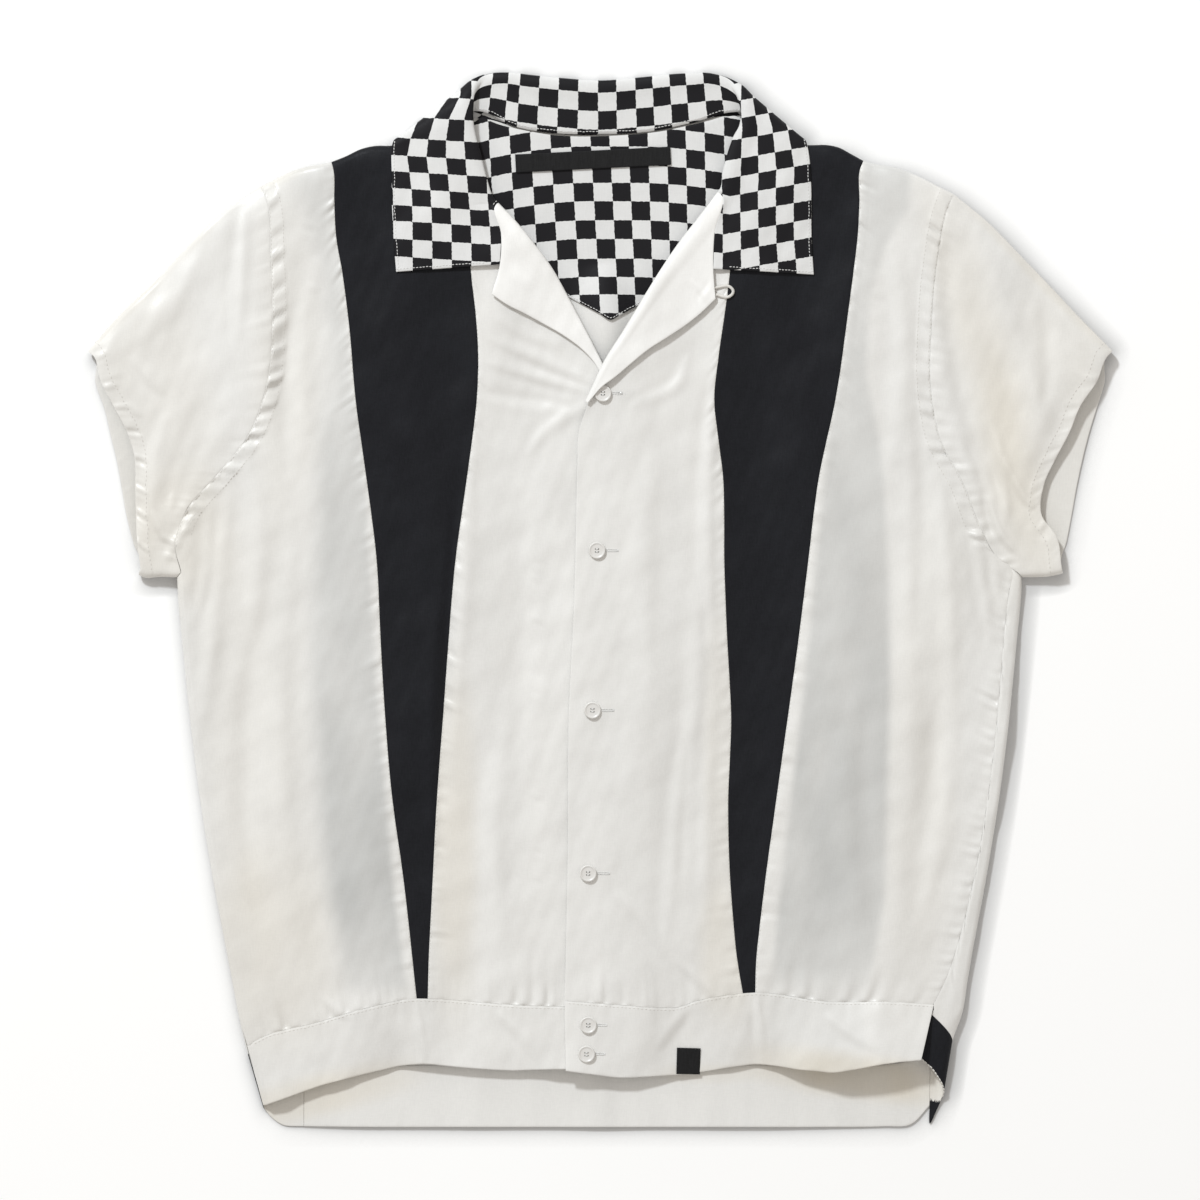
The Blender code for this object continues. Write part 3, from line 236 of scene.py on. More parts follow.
# Seams of the black insets, from the waistband up.
INSETS = each(Inset, (
    (-266, -122.6, -115.2, 95.5, 103.8),
    (-241.2, -125.3, -114.6, 91.8, 104.5),
    (-187.6, -131.3, -111.9, 87.1, 110.6),
    (-134, -138.7, -109.2, 85.8, 117.9),
    (-80.4, -143.4, -105.2, 87.8, 125.3),
    (-26.8, -146.7, -101.2, 85.1, 132.7),
    (26.8, -149.4, -96.5, 83.1, 139.4),
    (80.4, -156.1, -89.1, 82.4, 146.1),
    (134, -163.5, -82.4, 76.4, 157.5),
    (174.2, -166.8, -81.7, 81.1, 163.5),
    (214.4, -171.5, -85.8, 86.4, 168.8),
    (241.2, -176.2, -88, 89.1, 172.2),
    (268, -179.6, -90, 93, 176.2),
))

# Armholes on the front, then on the back, from the underarm up.
ARMHOLE = {
    -1: ((-279.8, 18.4), (-284.1, 38), (-279.4, 55.6), (-265.3, 72.4), (-255.3, 85.1),
         (-244.6, 97.8), (-230.5, 118.6), (-222, 150), (-219.1, 195), (-221, 235)),
    1: ((279.1, 18.4), (264.7, 29.5), (256.6, 43.6), (249.9, 61), (241.2, 81.7),
        (231.8, 97.2), (222.4, 127.3), (221.1, 170), (225.1, 224.5), (231, 250)),
}
BACK_ARMHOLE = {
    -1: ((-279.8, 18.4), (-262, 46), (-243, 88), (-233, 135), (-228, 190)),
    1: ((279.1, 18.4), (262, 46), (244, 88), (236, 135), (233, 190)),
}

# Shoulder fold, from the sleeve to the neck.
SHOULDER = {
    -1: ((-227, 276.6), (-203.7, 287.5), (-177.6, 293.4), (-160.8, 301.3), (-148, 304),
         (-137.4, 304), (-126, 307.6), (-114, 313), (-91, 326.5)),
    1: ((236.5, 271.4), (203, 287.5), (178.2, 292.9), (160.8, 302.3), (148, 304.6),
        (136.7, 304), (126, 308), (117, 313), (100.5, 325.5)),
}

# Neck edge of the fronts, from the roll line up. The first points belong to the centre front
# and the rest to the inset, which reaches the shoulder.
NECK = {
    -1: ((-70.6, 265.6), (-77.5, 273.5), (-85.5, 284), (-92.5, 296), (-95, 307.5),
         (-92.6, 317)),
    1: ((81.5, 273), (88, 281), (93, 287), (97, 293.5), (102.5, 304),
        (103, 314.5)),
}
NECK_TO_INSET = 3

# Neck edge across the back, wearer's right to left.
BACK_NECK = ((-88, 325), (-80, 324.6), (-70, 320.3), (-57.2, 316.9), (-29.5, 312.2),
             (0, 311.6), (35.9, 314.2), (61.5, 319.3), (84, 324.6), (96, 325))

# Seam between collar and facing, from the roll line down to the notch; then the corner of
# the lapel.
GORGE = {-1: ((-66.2, 246), (-66.9, 224.4)), 1: ((76.6, 246), (75.7, 221.3))}
LAPEL_CORNER = {-1: (-72.4, 204.4), 1: (77.2, 201.2)}

# Lapels: the roll line and the turned-back edge, from the collar down to the break.
LAPELS = sided(Lapel, {
    -1: ((-68.4, 265.4, -72.4, 204.4, 12.6, 1.8),
         (-58, 254.6, -62.5, 197.6, 12.4, 1.8),
         (-46, 240.2, -50.5, 191.6, 12.2, 1.8),
         (-33.5, 223.5, -38.2, 184.9, 12, 1.7),
         (-20, 199.5, -24, 176.6, 11.2, 1.5),
         (-8.5, 177.6, -12, 167.6, 10.2, 1.2),
         (-0.6, 162.2, -4, 158.9, 9.5, 1.05),
         (6, 149, 2, 148.6, 9.4, 1),
         (12.6, 135.6, 9.6, 135.8, 9.4, 1)),
    1: ((79, 272.6, 77.2, 201.2, 12.6, 1.8),
        (66.6, 256.2, 67.2, 191.6, 12.6, 1.8),
        (54.5, 240.8, 56, 182.8, 12.7, 1.8),
        (42, 222.4, 45, 175.4, 12.9, 1.8),
        (29.5, 202.2, 33, 167.7, 13.6, 1.8),
        (15.5, 179, 21, 158, 14.3, 1.8),
        (2.9, 158.9, 10.4, 149, 15, 1.9),
        (-5.2, 141.6, 0.6, 141.6, 15.5, 2),
        (-9.6, 132.2, -5.6, 134.6, 14.6, 1.5)),
})

# Front edges below the break, then the waistband's front seam and hem.
FRONT_EDGE = {
    -1: ((14, -270), (14, -60), (13.4, 100), (13, 134)),
    1: ((-23.6, -268), (-21.6, -168), (-21, -80.4), (-17.2, 0.7), (-15.4, 80),
        (-14.2, 110), (-12.6, 124), (-9.8, 131.4)),
}
BAND = sided(Band, {
    -1: ((-235.9, -298.2, -225.2, -338.4, 1),
         (-222.4, -290.8, -213.7, -334.3, 4),
         (-189.6, -282.7, -187.6, -325, 0),
         (-163.5, -274.7, -162.1, -318.2, -4.5),
         (-131.3, -267.3, -132.7, -311.6, -5.6),
         (-113.2, -266.7, -117.3, -310.2, -1.5),
         (-87.1, -268.7, -90.5, -312.9, 0.5),
         (-59.6, -270.7, -61.6, -314.9, 0.5),
         (-24.8, -272, -24.8, -313.6, 0),
         (14, -272, 14, -313, 0)),
    1: ((223.2, -270.7, 214.4, -307.2, 9),
        (192.9, -268.7, 192.9, -309, 12),
        (153.4, -268.7, 157.5, -315.6, 9),
        (124.6, -264.7, 130, -313.6, 3),
        (108.5, -262.6, 107.2, -310.2, -5.8),
        (92.5, -263.3, 85.8, -312.9, -4),
        (67.7, -267.3, 67.7, -316.2, -4),
        (49.6, -272.7, 51.6, -317.9, -4),
        (13.4, -270.7, 13.4, -319.6, 0),
        (-23.6, -268, -22.9, -314.6, 0)),
})

# Back of the waistband: its seam with the back, and its hem with round corners.
BACK_BAND = each(Band, (
    (-198.3, -310.4, -198.3, -352.6, 0),
    (-150, -311.5, -150, -353, 0),
    (-90, -311.5, -90, -353, 0),
    (-30, -311.5, -30, -353, 0),
    (30, -311.5, 30, -353, 0),
    (90, -311.5, 90, -353, 0),
    (150, -311.5, 150, -353, 0),
    (190, -311.3, 190, -352.6, 0),
    (208, -308.4, 208, -351.4, 0),
    (221.3, -302.6, 220.7, -339, 0),
))

# Waistband side pieces: across each piece, from its front seam to its back seam. The first
# rows of each are also the foot of the back's folded side.
SIDE_TABS = sided(Tab, {
    -1: ((-235.5, -304, -225.2, -339.6, 4.4),
         (-234.9, -304.8, -224.8, -340.6, 2.5),
         (-233.5, -305.7, -223.6, -342.4, 1.1),
         (-231.4, -306.5, -221.2, -345.4, 0.6),
         (-222, -308.6, -213, -351.4, 0.6),
         (-198.4, -310.4, -198.4, -352.6, 0.6)),
    1: ((221.8, -277.2, 214.9, -307.2, 9),
        (229, -284.2, 223, -314.8, 9),
        (232, -287.6, 226, -319.4, 8.44),
        (234.4, -291, 228.6, -324.2, 6.9),
        (235.6, -294.6, 229.8, -329.4, 4.8),
        (234.4, -297.2, 228.6, -334, 2.7),
        (231.8, -299, 225.4, -342, 1.16),
        (228.4, -300.2, 221, -350.8, 0.6),
        (221.4, -302.4, 220.8, -338.6, 0.6)),
})
FOOT_POINTS = {-1: 4, 1: 8}
TAB_ROWS = 3

# Sleeves: top fold, underarm fold, and the hems of the upper and lower layers.
SLEEVE_TOP = {
    -1: ((-227, 276.6), (-244.3, 267.5), (-265, 247.4), (-285, 227.4),
         (-303.2, 207.2), (-324.6, 187.2), (-342.4, 166.4)),
    1: ((236.5, 271.4), (254.2, 257.5), (274.3, 237.6), (293.7, 217.4),
        (313.2, 197.3), (331.3, 177.2), (342.8, 166.4)),
}
SLEEVE_UNDER = {
    -1: ((-282.8, 15.4), (-294.8, 15.8), (-303, 15), (-308.9, 17.2)),
    1: ((282.1, 15.4), (292, 15.6), (300, 16), (309.6, 18)),
}
SLEEVE_HEM = {
    -1: ((-308.4, 21.6), (-310, 45), (-310.7, 72.4), (-312, 101.8), (-318.3, 115.9),
         (-322.9, 126), (-331, 138.7), (-338.6, 155.4)),
    1: ((307.4, 22.2), (306.2, 40.2), (299, 50.5), (294.3, 62), (297.5, 78.4),
        (304.9, 94.5), (318.3, 120.6), (323.6, 135.3), (336.3, 151.4), (340, 161)),
}
SLEEVE_BACK_HEM = {
    -1: ((-308.9, 21.6), (-315, 46.9), (-319, 67), (-322.3, 87.1), (-327, 107.2),
         (-331.7, 127.3), (-338.4, 147.4), (-340, 158)),
    1: ((309.6, 22.2), (314.3, 46.9), (317.7, 67), (321.7, 87.1), (326.4, 107.2),
        (332.4, 127.3), (338.4, 147.4), (341.2, 160)),
}
SLEEVE_CROWN = 1.2

# Collar stations from one point round the back to the other. The leaves are sewn to the
# lapels along the gorge; the seam then follows the roll round to the neck edge; from there
# each station has a crest, a sewn neck edge and an outer edge. turn is the way the fall lies
# from the stand: 90 on top, 0 beside, -90 underneath. beyond is the crest's way out.
LEAVES = {
    -1: (Leaf((-66.9, 224.4), (-136.2, 219.2)), Leaf((-66.2, 246), (-137.9, 240))),
    1: (Leaf((75.7, 221.3), (143, 217.6)), Leaf((76.6, 246), (141.6, 240))),
}
CORNERS = {
    -1: (Corner(90, 0, (-138.8, 258)), Corner(35, 2, (-139, 262)),
         Corner(-30, 4, (-139.2, 266)), Corner(-90, 6, (-139.3, 270))),
    1: (Corner(90, 0, (141.4, 258)), Corner(35, 2, (141.4, 262)),
        Corner(-30, 4, (141.4, 266)), Corner(-90, 6, (141.4, 270))),
}
STATIONS = sided(Station, {
    -1: (((-74.6, 276.6), (-77.5, 273.5, 9), (-139.2, 275.5), 90, 15),
         ((-77.4, 287), (-85.5, 284, 9), (-139.2, 281.5), 90, -5),
         ((-80, 298), (-92.5, 296, 9), (-139.3, 288), 90, -8),
         ((-83, 308.4), (-95, 307.5, 9), (-139.5, 294.5), 90, 0),
         ((-84.8, 317.8), (-92.6, 317, 9), (-139.4, 300.5), 90, 5),
         ((-85.2, 326.4), (-88.2, 323.2, 9), (-139, 304.2), 90, 15),
         ((-83.4, 341), (-89.2, 325.8, 7.8), (-138, 306.8), 45, 26),
         ((-79.6, 348.8), (-90, 326.8, 4.8), (-136.6, 307.8), 0, 40),
         ((-72.4, 352), (-87.8, 327, 3.6), (-135.4, 307.2), -45, 62),
         ((-62.6, 352.7), (-80.6, 327, 3.8), (-130, 303.6), -90, 80),
         ((-46, 351), (-57.2, 316.9, 3.8), (-96, 293), -90, 88),
         ((-24, 348.8), (-28.6, 312.2, 3.8), (-48, 294), -90, 90)),
    1: (((81.9, 283.5), (88, 281, 9), (141.3, 275.5), 90, 170),
        ((84, 292.5), (93, 287, 9), (141, 281.5), 90, 172),
        ((86.6, 301.4), (97, 293.5, 9), (140.7, 288), 90, 165),
        ((89.8, 310), (102.5, 304, 9), (140.2, 294), 90, 165),
        ((93.4, 316.6), (103, 314.5, 9), (139.4, 300), 90, 176),
        ((94.6, 323.6), (97.4, 321.6, 9), (138.6, 304.2), 90, 168),
        ((92.4, 336.6), (98.6, 325.1, 7.8), (137.6, 306.8), 45, 155),
        ((88.6, 345.4), (99.5, 326, 4.8), (136.2, 307.8), 0, 140),
        ((82.6, 349.8), (97, 326.4, 3.6), (134.9, 307.2), -45, 118),
        ((74.8, 352), (88.6, 326.4, 3.8), (130, 303.6), -90, 98),
        ((55, 352), (63.4, 319.7, 3.8), (96, 293), -90, 92),
        ((27, 349.4), (31, 313.2, 3.8), (48, 294), -90, 90)),
})
COLLAR_BACK = Station((0, 347.3), (0, 311.7, 3.8), (0, 293.5), -90, 90)
NECK_SEAM = 0.15     # from the sewn edge of the stand to the neck edge it meets
FRONT_CURL = 1.8     # radius of the collar's turn over the fronts
BACK_CURL = 2.7      # radius of its turn at the back of the neck
SHOULDER_CURL = 2.4
FALL_FOLD_Z = 5.6    # where the fall folds over the shoulder
LEAF_TOP_Z = FRONT_Z + 2 * FRONT_CURL
LEAF_EDGE_Z = FRONT_Z + LAYER
FALL_COLUMNS = 4
TURN_STEPS = 4
LAPEL_FOOT_ANGLE = -80.0    # from which a lapel turns up to 90
STAND_COLUMNS = 3
LEAF_MARGIN = 0.14   # share of a leaf's width next to the gorge with narrow columns

# Inner yoke: half width, depth of its sides, and its point.
YOKE_HALF_WIDTH = 146.0
YOKE_SIDE_Y = 268.0
YOKE_POINT = (7.4, 187.3)
YOKE_COLUMNS = 48
YOKE_ROWS = 10
YOKE_SEAM = 1.2
YOKE_SHOULDER = 3.0  # from the shoulder's fold
YOKE_NECK_END = 8.0  # the neck edge ends this far inside the fronts' necks
NECK_STEPS = 40
YOKE_Z = LAYER + 0.2  # from the middle of the back

# Label and tag: middle, size, tilt.
LABEL = Ribbon(-4.6, 294.7, 104.0, 12.2, 2.9)
TAG = Ribbon(59.2, -308.6, 15.8, 17.6, -1.5)
TAG_DROP = 4.0       # the band's hem lies lower here by this
RIBBON_COLUMNS = 4

# Button loop of flat cord, from under the lapel's corner and back.
LOOP = ((74.0, 204.4), (78.6, 204.0), (84.4, 202.4), (88.2, 204.2), (88.8, 207.4),
        (85.2, 210.0), (79.0, 209.2), (74.0, 208.2))
BAND_ROWS = 3
BAND_TOP_Y = -262.0  # below this a buttonhole is sewn through the doubled band

# Buttons, and how far each buttonhole reaches past its button's middle.
BUTTONS = {
    "button_1": (2.0, 138.0), "button_2": (-2.0, 33.1), "button_3": (-5.0, -73.7),
    "button_4": (-7.9, -182.7), "band_button_1": (-7.8, -284.1),
    "band_button_2": (-9.0, -303.4),
}
HOLE_REACH = {"button_1": 12.0, "band_button_1": 11.5, "band_button_2": 11.5}

# Check of the collar. s counts squares along it, from the wearer's right point round to the
# left one, and t counts them across it, from the outer edge over the crest to the neck edge.
CHECK_PITCH = 12.4


class Lean(NamedTuple):
    """How the rows of squares tilt on a leaf."""

    slope: float
    middle: float


LEAF_LEAN = {-1: Lean(0.06, -118.7), 1: Lean(-0.18, 111.8)}
LEAF_ROWS = {         # level on the leaf, s
    -1: ((204.9, -2), (216.7, -1), (228.5, 0), (240.3, 1), (252.3, 2), (262.8, 3),
         (274.1, 4), (285.4, 5), (296.2, 6), (307.9, 7), (322.3, 8), (336.7, 9),
         (349, 10), (361, 11)),
    1: ((200, 35), (212, 34), (224.4, 33), (237.2, 32), (249.5, 31),
        (262.1, 30), (274.3, 29), (286.4, 28), (298.2, 27), (311.3, 26),
        (325.1, 25), (337, 24), (349, 23), (361, 22)),
}
LEAF_COLUMNS = {      # height, then the places across where t is 1 and where it is 4
    -1: ((231.6, -125.2, -85.9), (249, -125.2, -86.4), (260.8, -125.4, -87.1),
         (272.6, -125.8, -88.1), (284.3, -127.1, -89), (295.7, -128.8, -90),
         (307.9, -126.9, -90.8), (322.3, -120.5, -90.5), (337.2, -107.2, -85.9)),
    1: ((217, 131.8, 94.4), (239, 129.7, 94.1), (256, 129.4, 93.8),
        (272, 129.4, 93.6), (288, 129.7, 94), (302.3, 127.7, 94.4),
        (315.6, 125.1, 95.2), (334.6, 117, 94.4)),
}
LEAF_STATIONS = 11    # coarse sections from a point to the last one that lies on top
CREST_CHECK = (       # place across on the back crest, s and t there
    (-85.2, 8.28, 4.55), (-84, 9, 4.4), (-71.5, 10, 4.25), (-60.8, 11, 4.25),
    (-53.1, 12, 4.25), (-40.2, 13, 4.25), (-27.4, 14, 4.25), (-14.4, 15, 4.25),
    (-1.3, 16, 4.25), (10.8, 17, 4.25), (23.5, 18, 4.25), (34.8, 19, 4.25),
    (46.2, 20, 4.25), (57, 21, 4.25), (68.7, 22, 4.25), (79.5, 23, 4.25),
    (93, 24, 4.2), (94.6, 24.87, 4.15),
)

# Check of the yoke.
YOKE_U = ((-151, -5), (-85.7, 0), (-72.6, 1), (-58.7, 2), (-44.9, 3),
          (-31.5, 4), (-18, 5), (-4.7, 6), (7.9, 7), (20.3, 8), (33, 9),
          (45.6, 10), (58, 11), (70.6, 12), (149, 18))
YOKE_V = ((179.4, -2), (204.4, 0), (216.2, 1), (228.5, 2), (241.8, 3),
          (254.3, 4), (267, 5), (279.3, 6), (291.1, 7), (303.6, 8), (341.1, 11))
YOKE_LEVEL = 280.0
YOKE_LEAN, YOKE_LEAN_END = 0.058, 85.7
YOKE_ARCH, YOKE_ARCH_X = 0.00167, (-4.0, 20.0)


def smooth_step(value: Array) -> Array:
    """0 below 0, 1 above 1, and an even slope between."""
    t = np.clip(value, 0.0, 1.0)
    return t * t * (3.0 - 2.0 * t)


def travelled(points: Array) -> Array:
    """Length run from the first point, or from the first row down each column of a grid."""
    steps = np.linalg.norm(np.diff(points, axis=0), axis=-1)
    return np.concatenate([np.zeros_like(steps[:1]), np.cumsum(steps, axis=0)])


def spline(points: Sequence, steps: int, ease: float = 1.0) -> Array:
    """A smooth curve through points.

    Args:
        points: Places that the curve passes through.
        steps: Number of parts that it is cut into.
        ease: 1 cuts it into equal parts, and more crowds them at the start.

    Returns:
        The ends of the parts, one row each.
    """
    p = np.array(points, float)
    ends = np.vstack([2 * p[0] - p[1], p, 2 * p[-1] - p[-2]])
    fine = []
    for a, b, c, d in zip(ends, ends[1:], ends[2:], ends[3:]):
        for t in np.linspace(0.0, 1.0, CURVE_PARTS, endpoint=False):
            fine.append(0.5 * (2 * b + (c - a) * t + (2 * a - 5 * b + 4 * c - d) * t**2
                               + (3 * b - a - 3 * c + d) * t**3))
    fine = np.array(fine + [p[-1]])
    lengths = travelled(fine)
    at = np.linspace(0.0, 1.0, steps + 1)**ease * lengths[-1]
    return np.column_stack([np.interp(at, lengths, fine[:, k]) for k in range(p.shape[1])])


def outward(points: Array, side: int) -> Array:
    """Unit normals of a curve in plan, on its outer side."""
    run = np.gradient(np.array(points)[:, :2], axis=0)
    run /= np.linalg.norm(run, axis=1)[:, None]
    return np.column_stack([run[:, 1], -run[:, 0]]) * side


def coons(bottom: Array, top: Array, left: Array, right: Array) -> Array:
    """Rows of points that fill four boundary curves.

    Args:
        bottom: First row.
        top: Last row.
        left: First column.
        right: Last column.

    Returns:
        A grid of points, row by row.
    """
    u = np.linspace(0.0, 1.0, len(bottom))[None, :, None]
    v = np.linspace(0.0, 1.0, len(left))[:, None, None]
    across = (1 - v) * bottom[None] + v * top[None]
    along = (1 - u) * left[:, None] + u * right[:, None]
    corners = ((1 - u) * (1 - v) * bottom[0] + u * (1 - v) * bottom[-1]
               + (1 - u) * v * top[0] + u * v * top[-1])
    return across + along - corners


def raised(plan: Array, height: Array | float) -> Array:
    """Plan points with a height, or a height for each."""
    plan = np.asarray(plan)[..., :2]
    z = np.broadcast_to(height, plan.shape[:-1])
    return np.concatenate([plan, z[..., None]], axis=-1)


class Line(Enum):
    """A border of a grid."""

    FIRST_ROW = "first_row"
    LAST_ROW = "last_row"
    FIRST_COLUMN = "first_column"
    LAST_COLUMN = "last_column"

    @property
    def is_row(self) -> bool:
        """True for a border that is a row."""
        return self in (Line.FIRST_ROW, Line.LAST_ROW)

    @property
    def is_last(self) -> bool:
        """True for the last row or column."""
        return self in (Line.LAST_ROW, Line.LAST_COLUMN)


def from_line(grid: Array, line: Line) -> Array:
    """The grid seen with that border as its first row. It is a view, so writes reach the grid."""
    turned = grid if line.is_row else np.swapaxes(grid, 0, 1)
    return turned[::-1] if line.is_last else turned


def to_grid(turned: Array, line: Line) -> Array:
    """Turns back what from_line turned."""
    turned = turned[::-1] if line.is_last else turned
    return turned if line.is_row else np.swapaxes(turned, 0, 1)


def draw_back(grid: Array, *lines: Line, by: float = SEAM) -> Array:
    """Draws the named borders of a grid in, so that seams keep their gap."""
    for line in lines:
        turned = from_line(grid, line)
        step = turned[1] - turned[0]
        turned[0] += by * step / np.linalg.norm(step, axis=1)[:, None]
    return grid


def densify(grid: Array, pitch: float, counts: Array | None = None) -> tuple[Array, Array]:
    """Cuts each row-to-row step of a grid into finer ones along smooth curves.

    Args:
        grid: Coarse points, row by row.
        pitch: Length of a fine step.
        counts: Fine steps in each coarse one, or None to find them from the pitch.

    Returns:
        The fine grid, and the fine steps in each coarse one.
    """
    lengths = np.maximum(np.linalg.norm(np.diff(grid, axis=0), axis=2), 1e-6)[..., None]
    slopes = np.diff(grid, axis=0) / lengths
    tangents = np.concatenate([slopes[:1], slopes[:-1], slopes[-1:]])
    before, after = lengths[:-1], lengths[1:]
    tangents[1:-1] = (slopes[:-1] * after + slopes[1:] * before) / (before + after)
    if counts is None:
        counts = np.maximum(1, np.ceil(lengths[..., 0].mean(axis=1) / pitch)).astype(int)
    rows = []
    for k, count in enumerate(counts):
        t = (np.arange(count) / count)[:, None, None]
        start, stop = grid[k], grid[k + 1]
        go, come = tangents[k] * lengths[k], tangents[k + 1] * lengths[k]
        rows.append((2 * t**3 - 3 * t**2 + 1) * start + (t**3 - 2 * t**2 + t) * go
                    + (3 * t**2 - 2 * t**3) * stop + (t**3 - t**2) * come)
    return np.concatenate([*rows, grid[-1:]]), counts


@dataclass(frozen=True)
class Ripple:
    """Seeded smooth noise along a line, in patches, with waves of uneven length."""

    seed: int
    length: float
    waves: int = 7
    patch: float = 6.0   # length of a calm or busy stretch, in waves
    calmest: float = 0.0 # share of the waves that a calm stretch keeps

    lengths: ClassVar[Plan] = (0.6, 1.9)     # least and most, as shares of the length
    strengths: ClassVar[Plan] = (0.4, 1.0)
    patches: ClassVar[Plan] = (0.6, 1.7)
    patch_waves: ClassVar[int] = 3
    patch_gain: ClassVar[float] = 0.35

    def __call__(self, along: Array) -> Array:
        """Heights of about -1 to 1 at places along the line."""
        rng = np.random.default_rng(self.seed)
        total = np.zeros_like(along)
        for _ in range(self.waves):
            wave = self.length * rng.uniform(*self.lengths)
            strength = rng.uniform(*self.strengths)
            total += strength * np.sin(2 * pi * (along / wave + rng.random()))
        gate = np.zeros_like(along)
        for _ in range(self.patch_waves):
            wave = self.length * self.patch * rng.uniform(*self.patches)
            gate += np.sin(2 * pi * (along / wave + rng.random()))
        gate = smooth_step(0.5 + self.patch_gain * gate)
        busy = self.calmest + (1.0 - self.calmest) * gate
        return total / self.waves**0.5 * busy


@dataclass(frozen=True)
class Billow:
    """Seeded soft waves over the plan, mostly along one direction."""

    seed: int
    length: float
    direction: float     # degrees from +Y that the folds run
    spread: float        # degrees about it
    waves: int = 16

    lengths: ClassVar[Plan] = (0.6, 1.8)     # least and most, as shares of the length
    strengths: ClassVar[Plan] = (0.5, 1.0)
    mean_square: ClassVar[float] = 0.55      # of the strengths
    crest: ClassVar[float] = 1.2             # of most waves, before they are brought to 1

    def __call__(self, x: Array, y: Array) -> Array:
        """Heights of about -1 to 1 at plan places."""
        rng = np.random.default_rng(self.seed)
        total = np.zeros(np.broadcast(x, y).shape)
        for _ in range(self.waves):
            angle = radians(self.direction + self.spread * rng.normal())
            wave = self.length * rng.uniform(*self.lengths)
            run = (x * cos(angle) + y * sin(angle)) / wave
            strength = rng.uniform(*self.strengths)
            total += strength * np.sin(2 * pi * (run + rng.random()))
        return total / (self.mean_square * self.waves)**0.5 / self.crest


class Crease(NamedTuple):
    """One listed fold: where it runs, its half width and its height, below 0 for a dent."""

    path: tuple[Plan, ...]
    width: float
    height: float
    trough: float = 0.5  # depth of the dent along its lower side, as a share of its height


CREASE_STEPS = 14
CREASE_REACH = 4.0    # times its width, beyond which a crease adds nothing
CREASE_FADE = 0.7     # power of its fading towards both ends
CREASE_END, CREASE_SWELL = 0.55, 0.45    # share of its width at the ends, and more between
DENT_PLACE, DENT_WIDTH = 1.5, 1.1    # of the dent beside it, times its width


def crease_height(crease: Crease, x: Array, y: Array) -> Array:
    """Height that one crease adds at plan places. It fades towards both its ends."""
    path = spline(crease.path, CREASE_STEPS)
    reach = CREASE_REACH * crease.width
    low, high = path.min(axis=0) - reach, path.max(axis=0) + reach
    near = (x > low[0]) & (x < high[0]) & (y > low[1]) & (y < high[1])
    result = np.zeros(x.shape)
    if not near.any():
        return result
    px, py = x[near], y[near]
    best, across, along = np.full(px.shape, 1e9), np.zeros(px.shape), np.zeros(px.shape)
    for k, (a, b) in enumerate(zip(path, path[1:])):
        run = b - a
        length = float(np.hypot(*run))
        t = np.clip(((px - a[0]) * run[0] + (py - a[1]) * run[1]) / length**2, 0.0, 1.0)
        dx, dy = px - a[0] - t * run[0], py - a[1] - t * run[1]
        away = dx * dx + dy * dy
        closer = away < best
        best = np.where(closer, away, best)
        across = np.where(closer, np.sqrt(away) * np.sign(dx * run[1] - dy * run[0]), across)
        along = np.where(closer, (k + t) / (len(path) - 1), along)
    fade = np.sin(pi * np.clip(along, 0.0, 1.0))**CREASE_FADE
    width = crease.width * (CREASE_END + CREASE_SWELL * fade)
    ridge = np.exp(-(across / width)**2)
    dent = np.exp(-((across - DENT_PLACE * width) / (DENT_WIDTH * width))**2)
    result[near] = crease.height * fade * (ridge - crease.trough * dent)
    return result


class Pucker(NamedTuple):
    """A line of small cross ripples, where a hidden seam draws the cloth up."""

    start: Plan
    stop: Plan
    width: float
    height: float
    length: float
    seed: int


PUCKER_FADE, PUCKER_SLANT = 20.0, 0.3


def pucker_height(pucker: Pucker, x: Array, y: Array) -> Array:
    """Height that one line of ripples adds at plan places."""
    run = np.subtract(pucker.stop, pucker.start)
    length = float(np.hypot(*run))
    dx, dy = x - pucker.start[0], y - pucker.start[1]
    along = (dx * run[0] + dy * run[1]) / length
    across = (dx * run[1] - dy * run[0]) / length
    fade = smooth_step(along / PUCKER_FADE) * smooth_step((length - along) / PUCKER_FADE)
    wave = Ripple(pucker.seed, pucker.length)(along + PUCKER_SLANT * across)
    return pucker.height * wave * fade * np.exp(-(across / pucker.width)**4)


def upper_share(z: Array) -> Array:
    """How far points belong to the front layer, by their height: 0 on the back, 1 on the front."""
    return smooth_step((z - UPPER_FROM) / UPPER_RUN)


class Layer(Enum):
    """Which folds a piece takes: those of the front, of the back, or by its height."""

    FRONT = "front"
    BACK = "back"
    ROUND = "round"


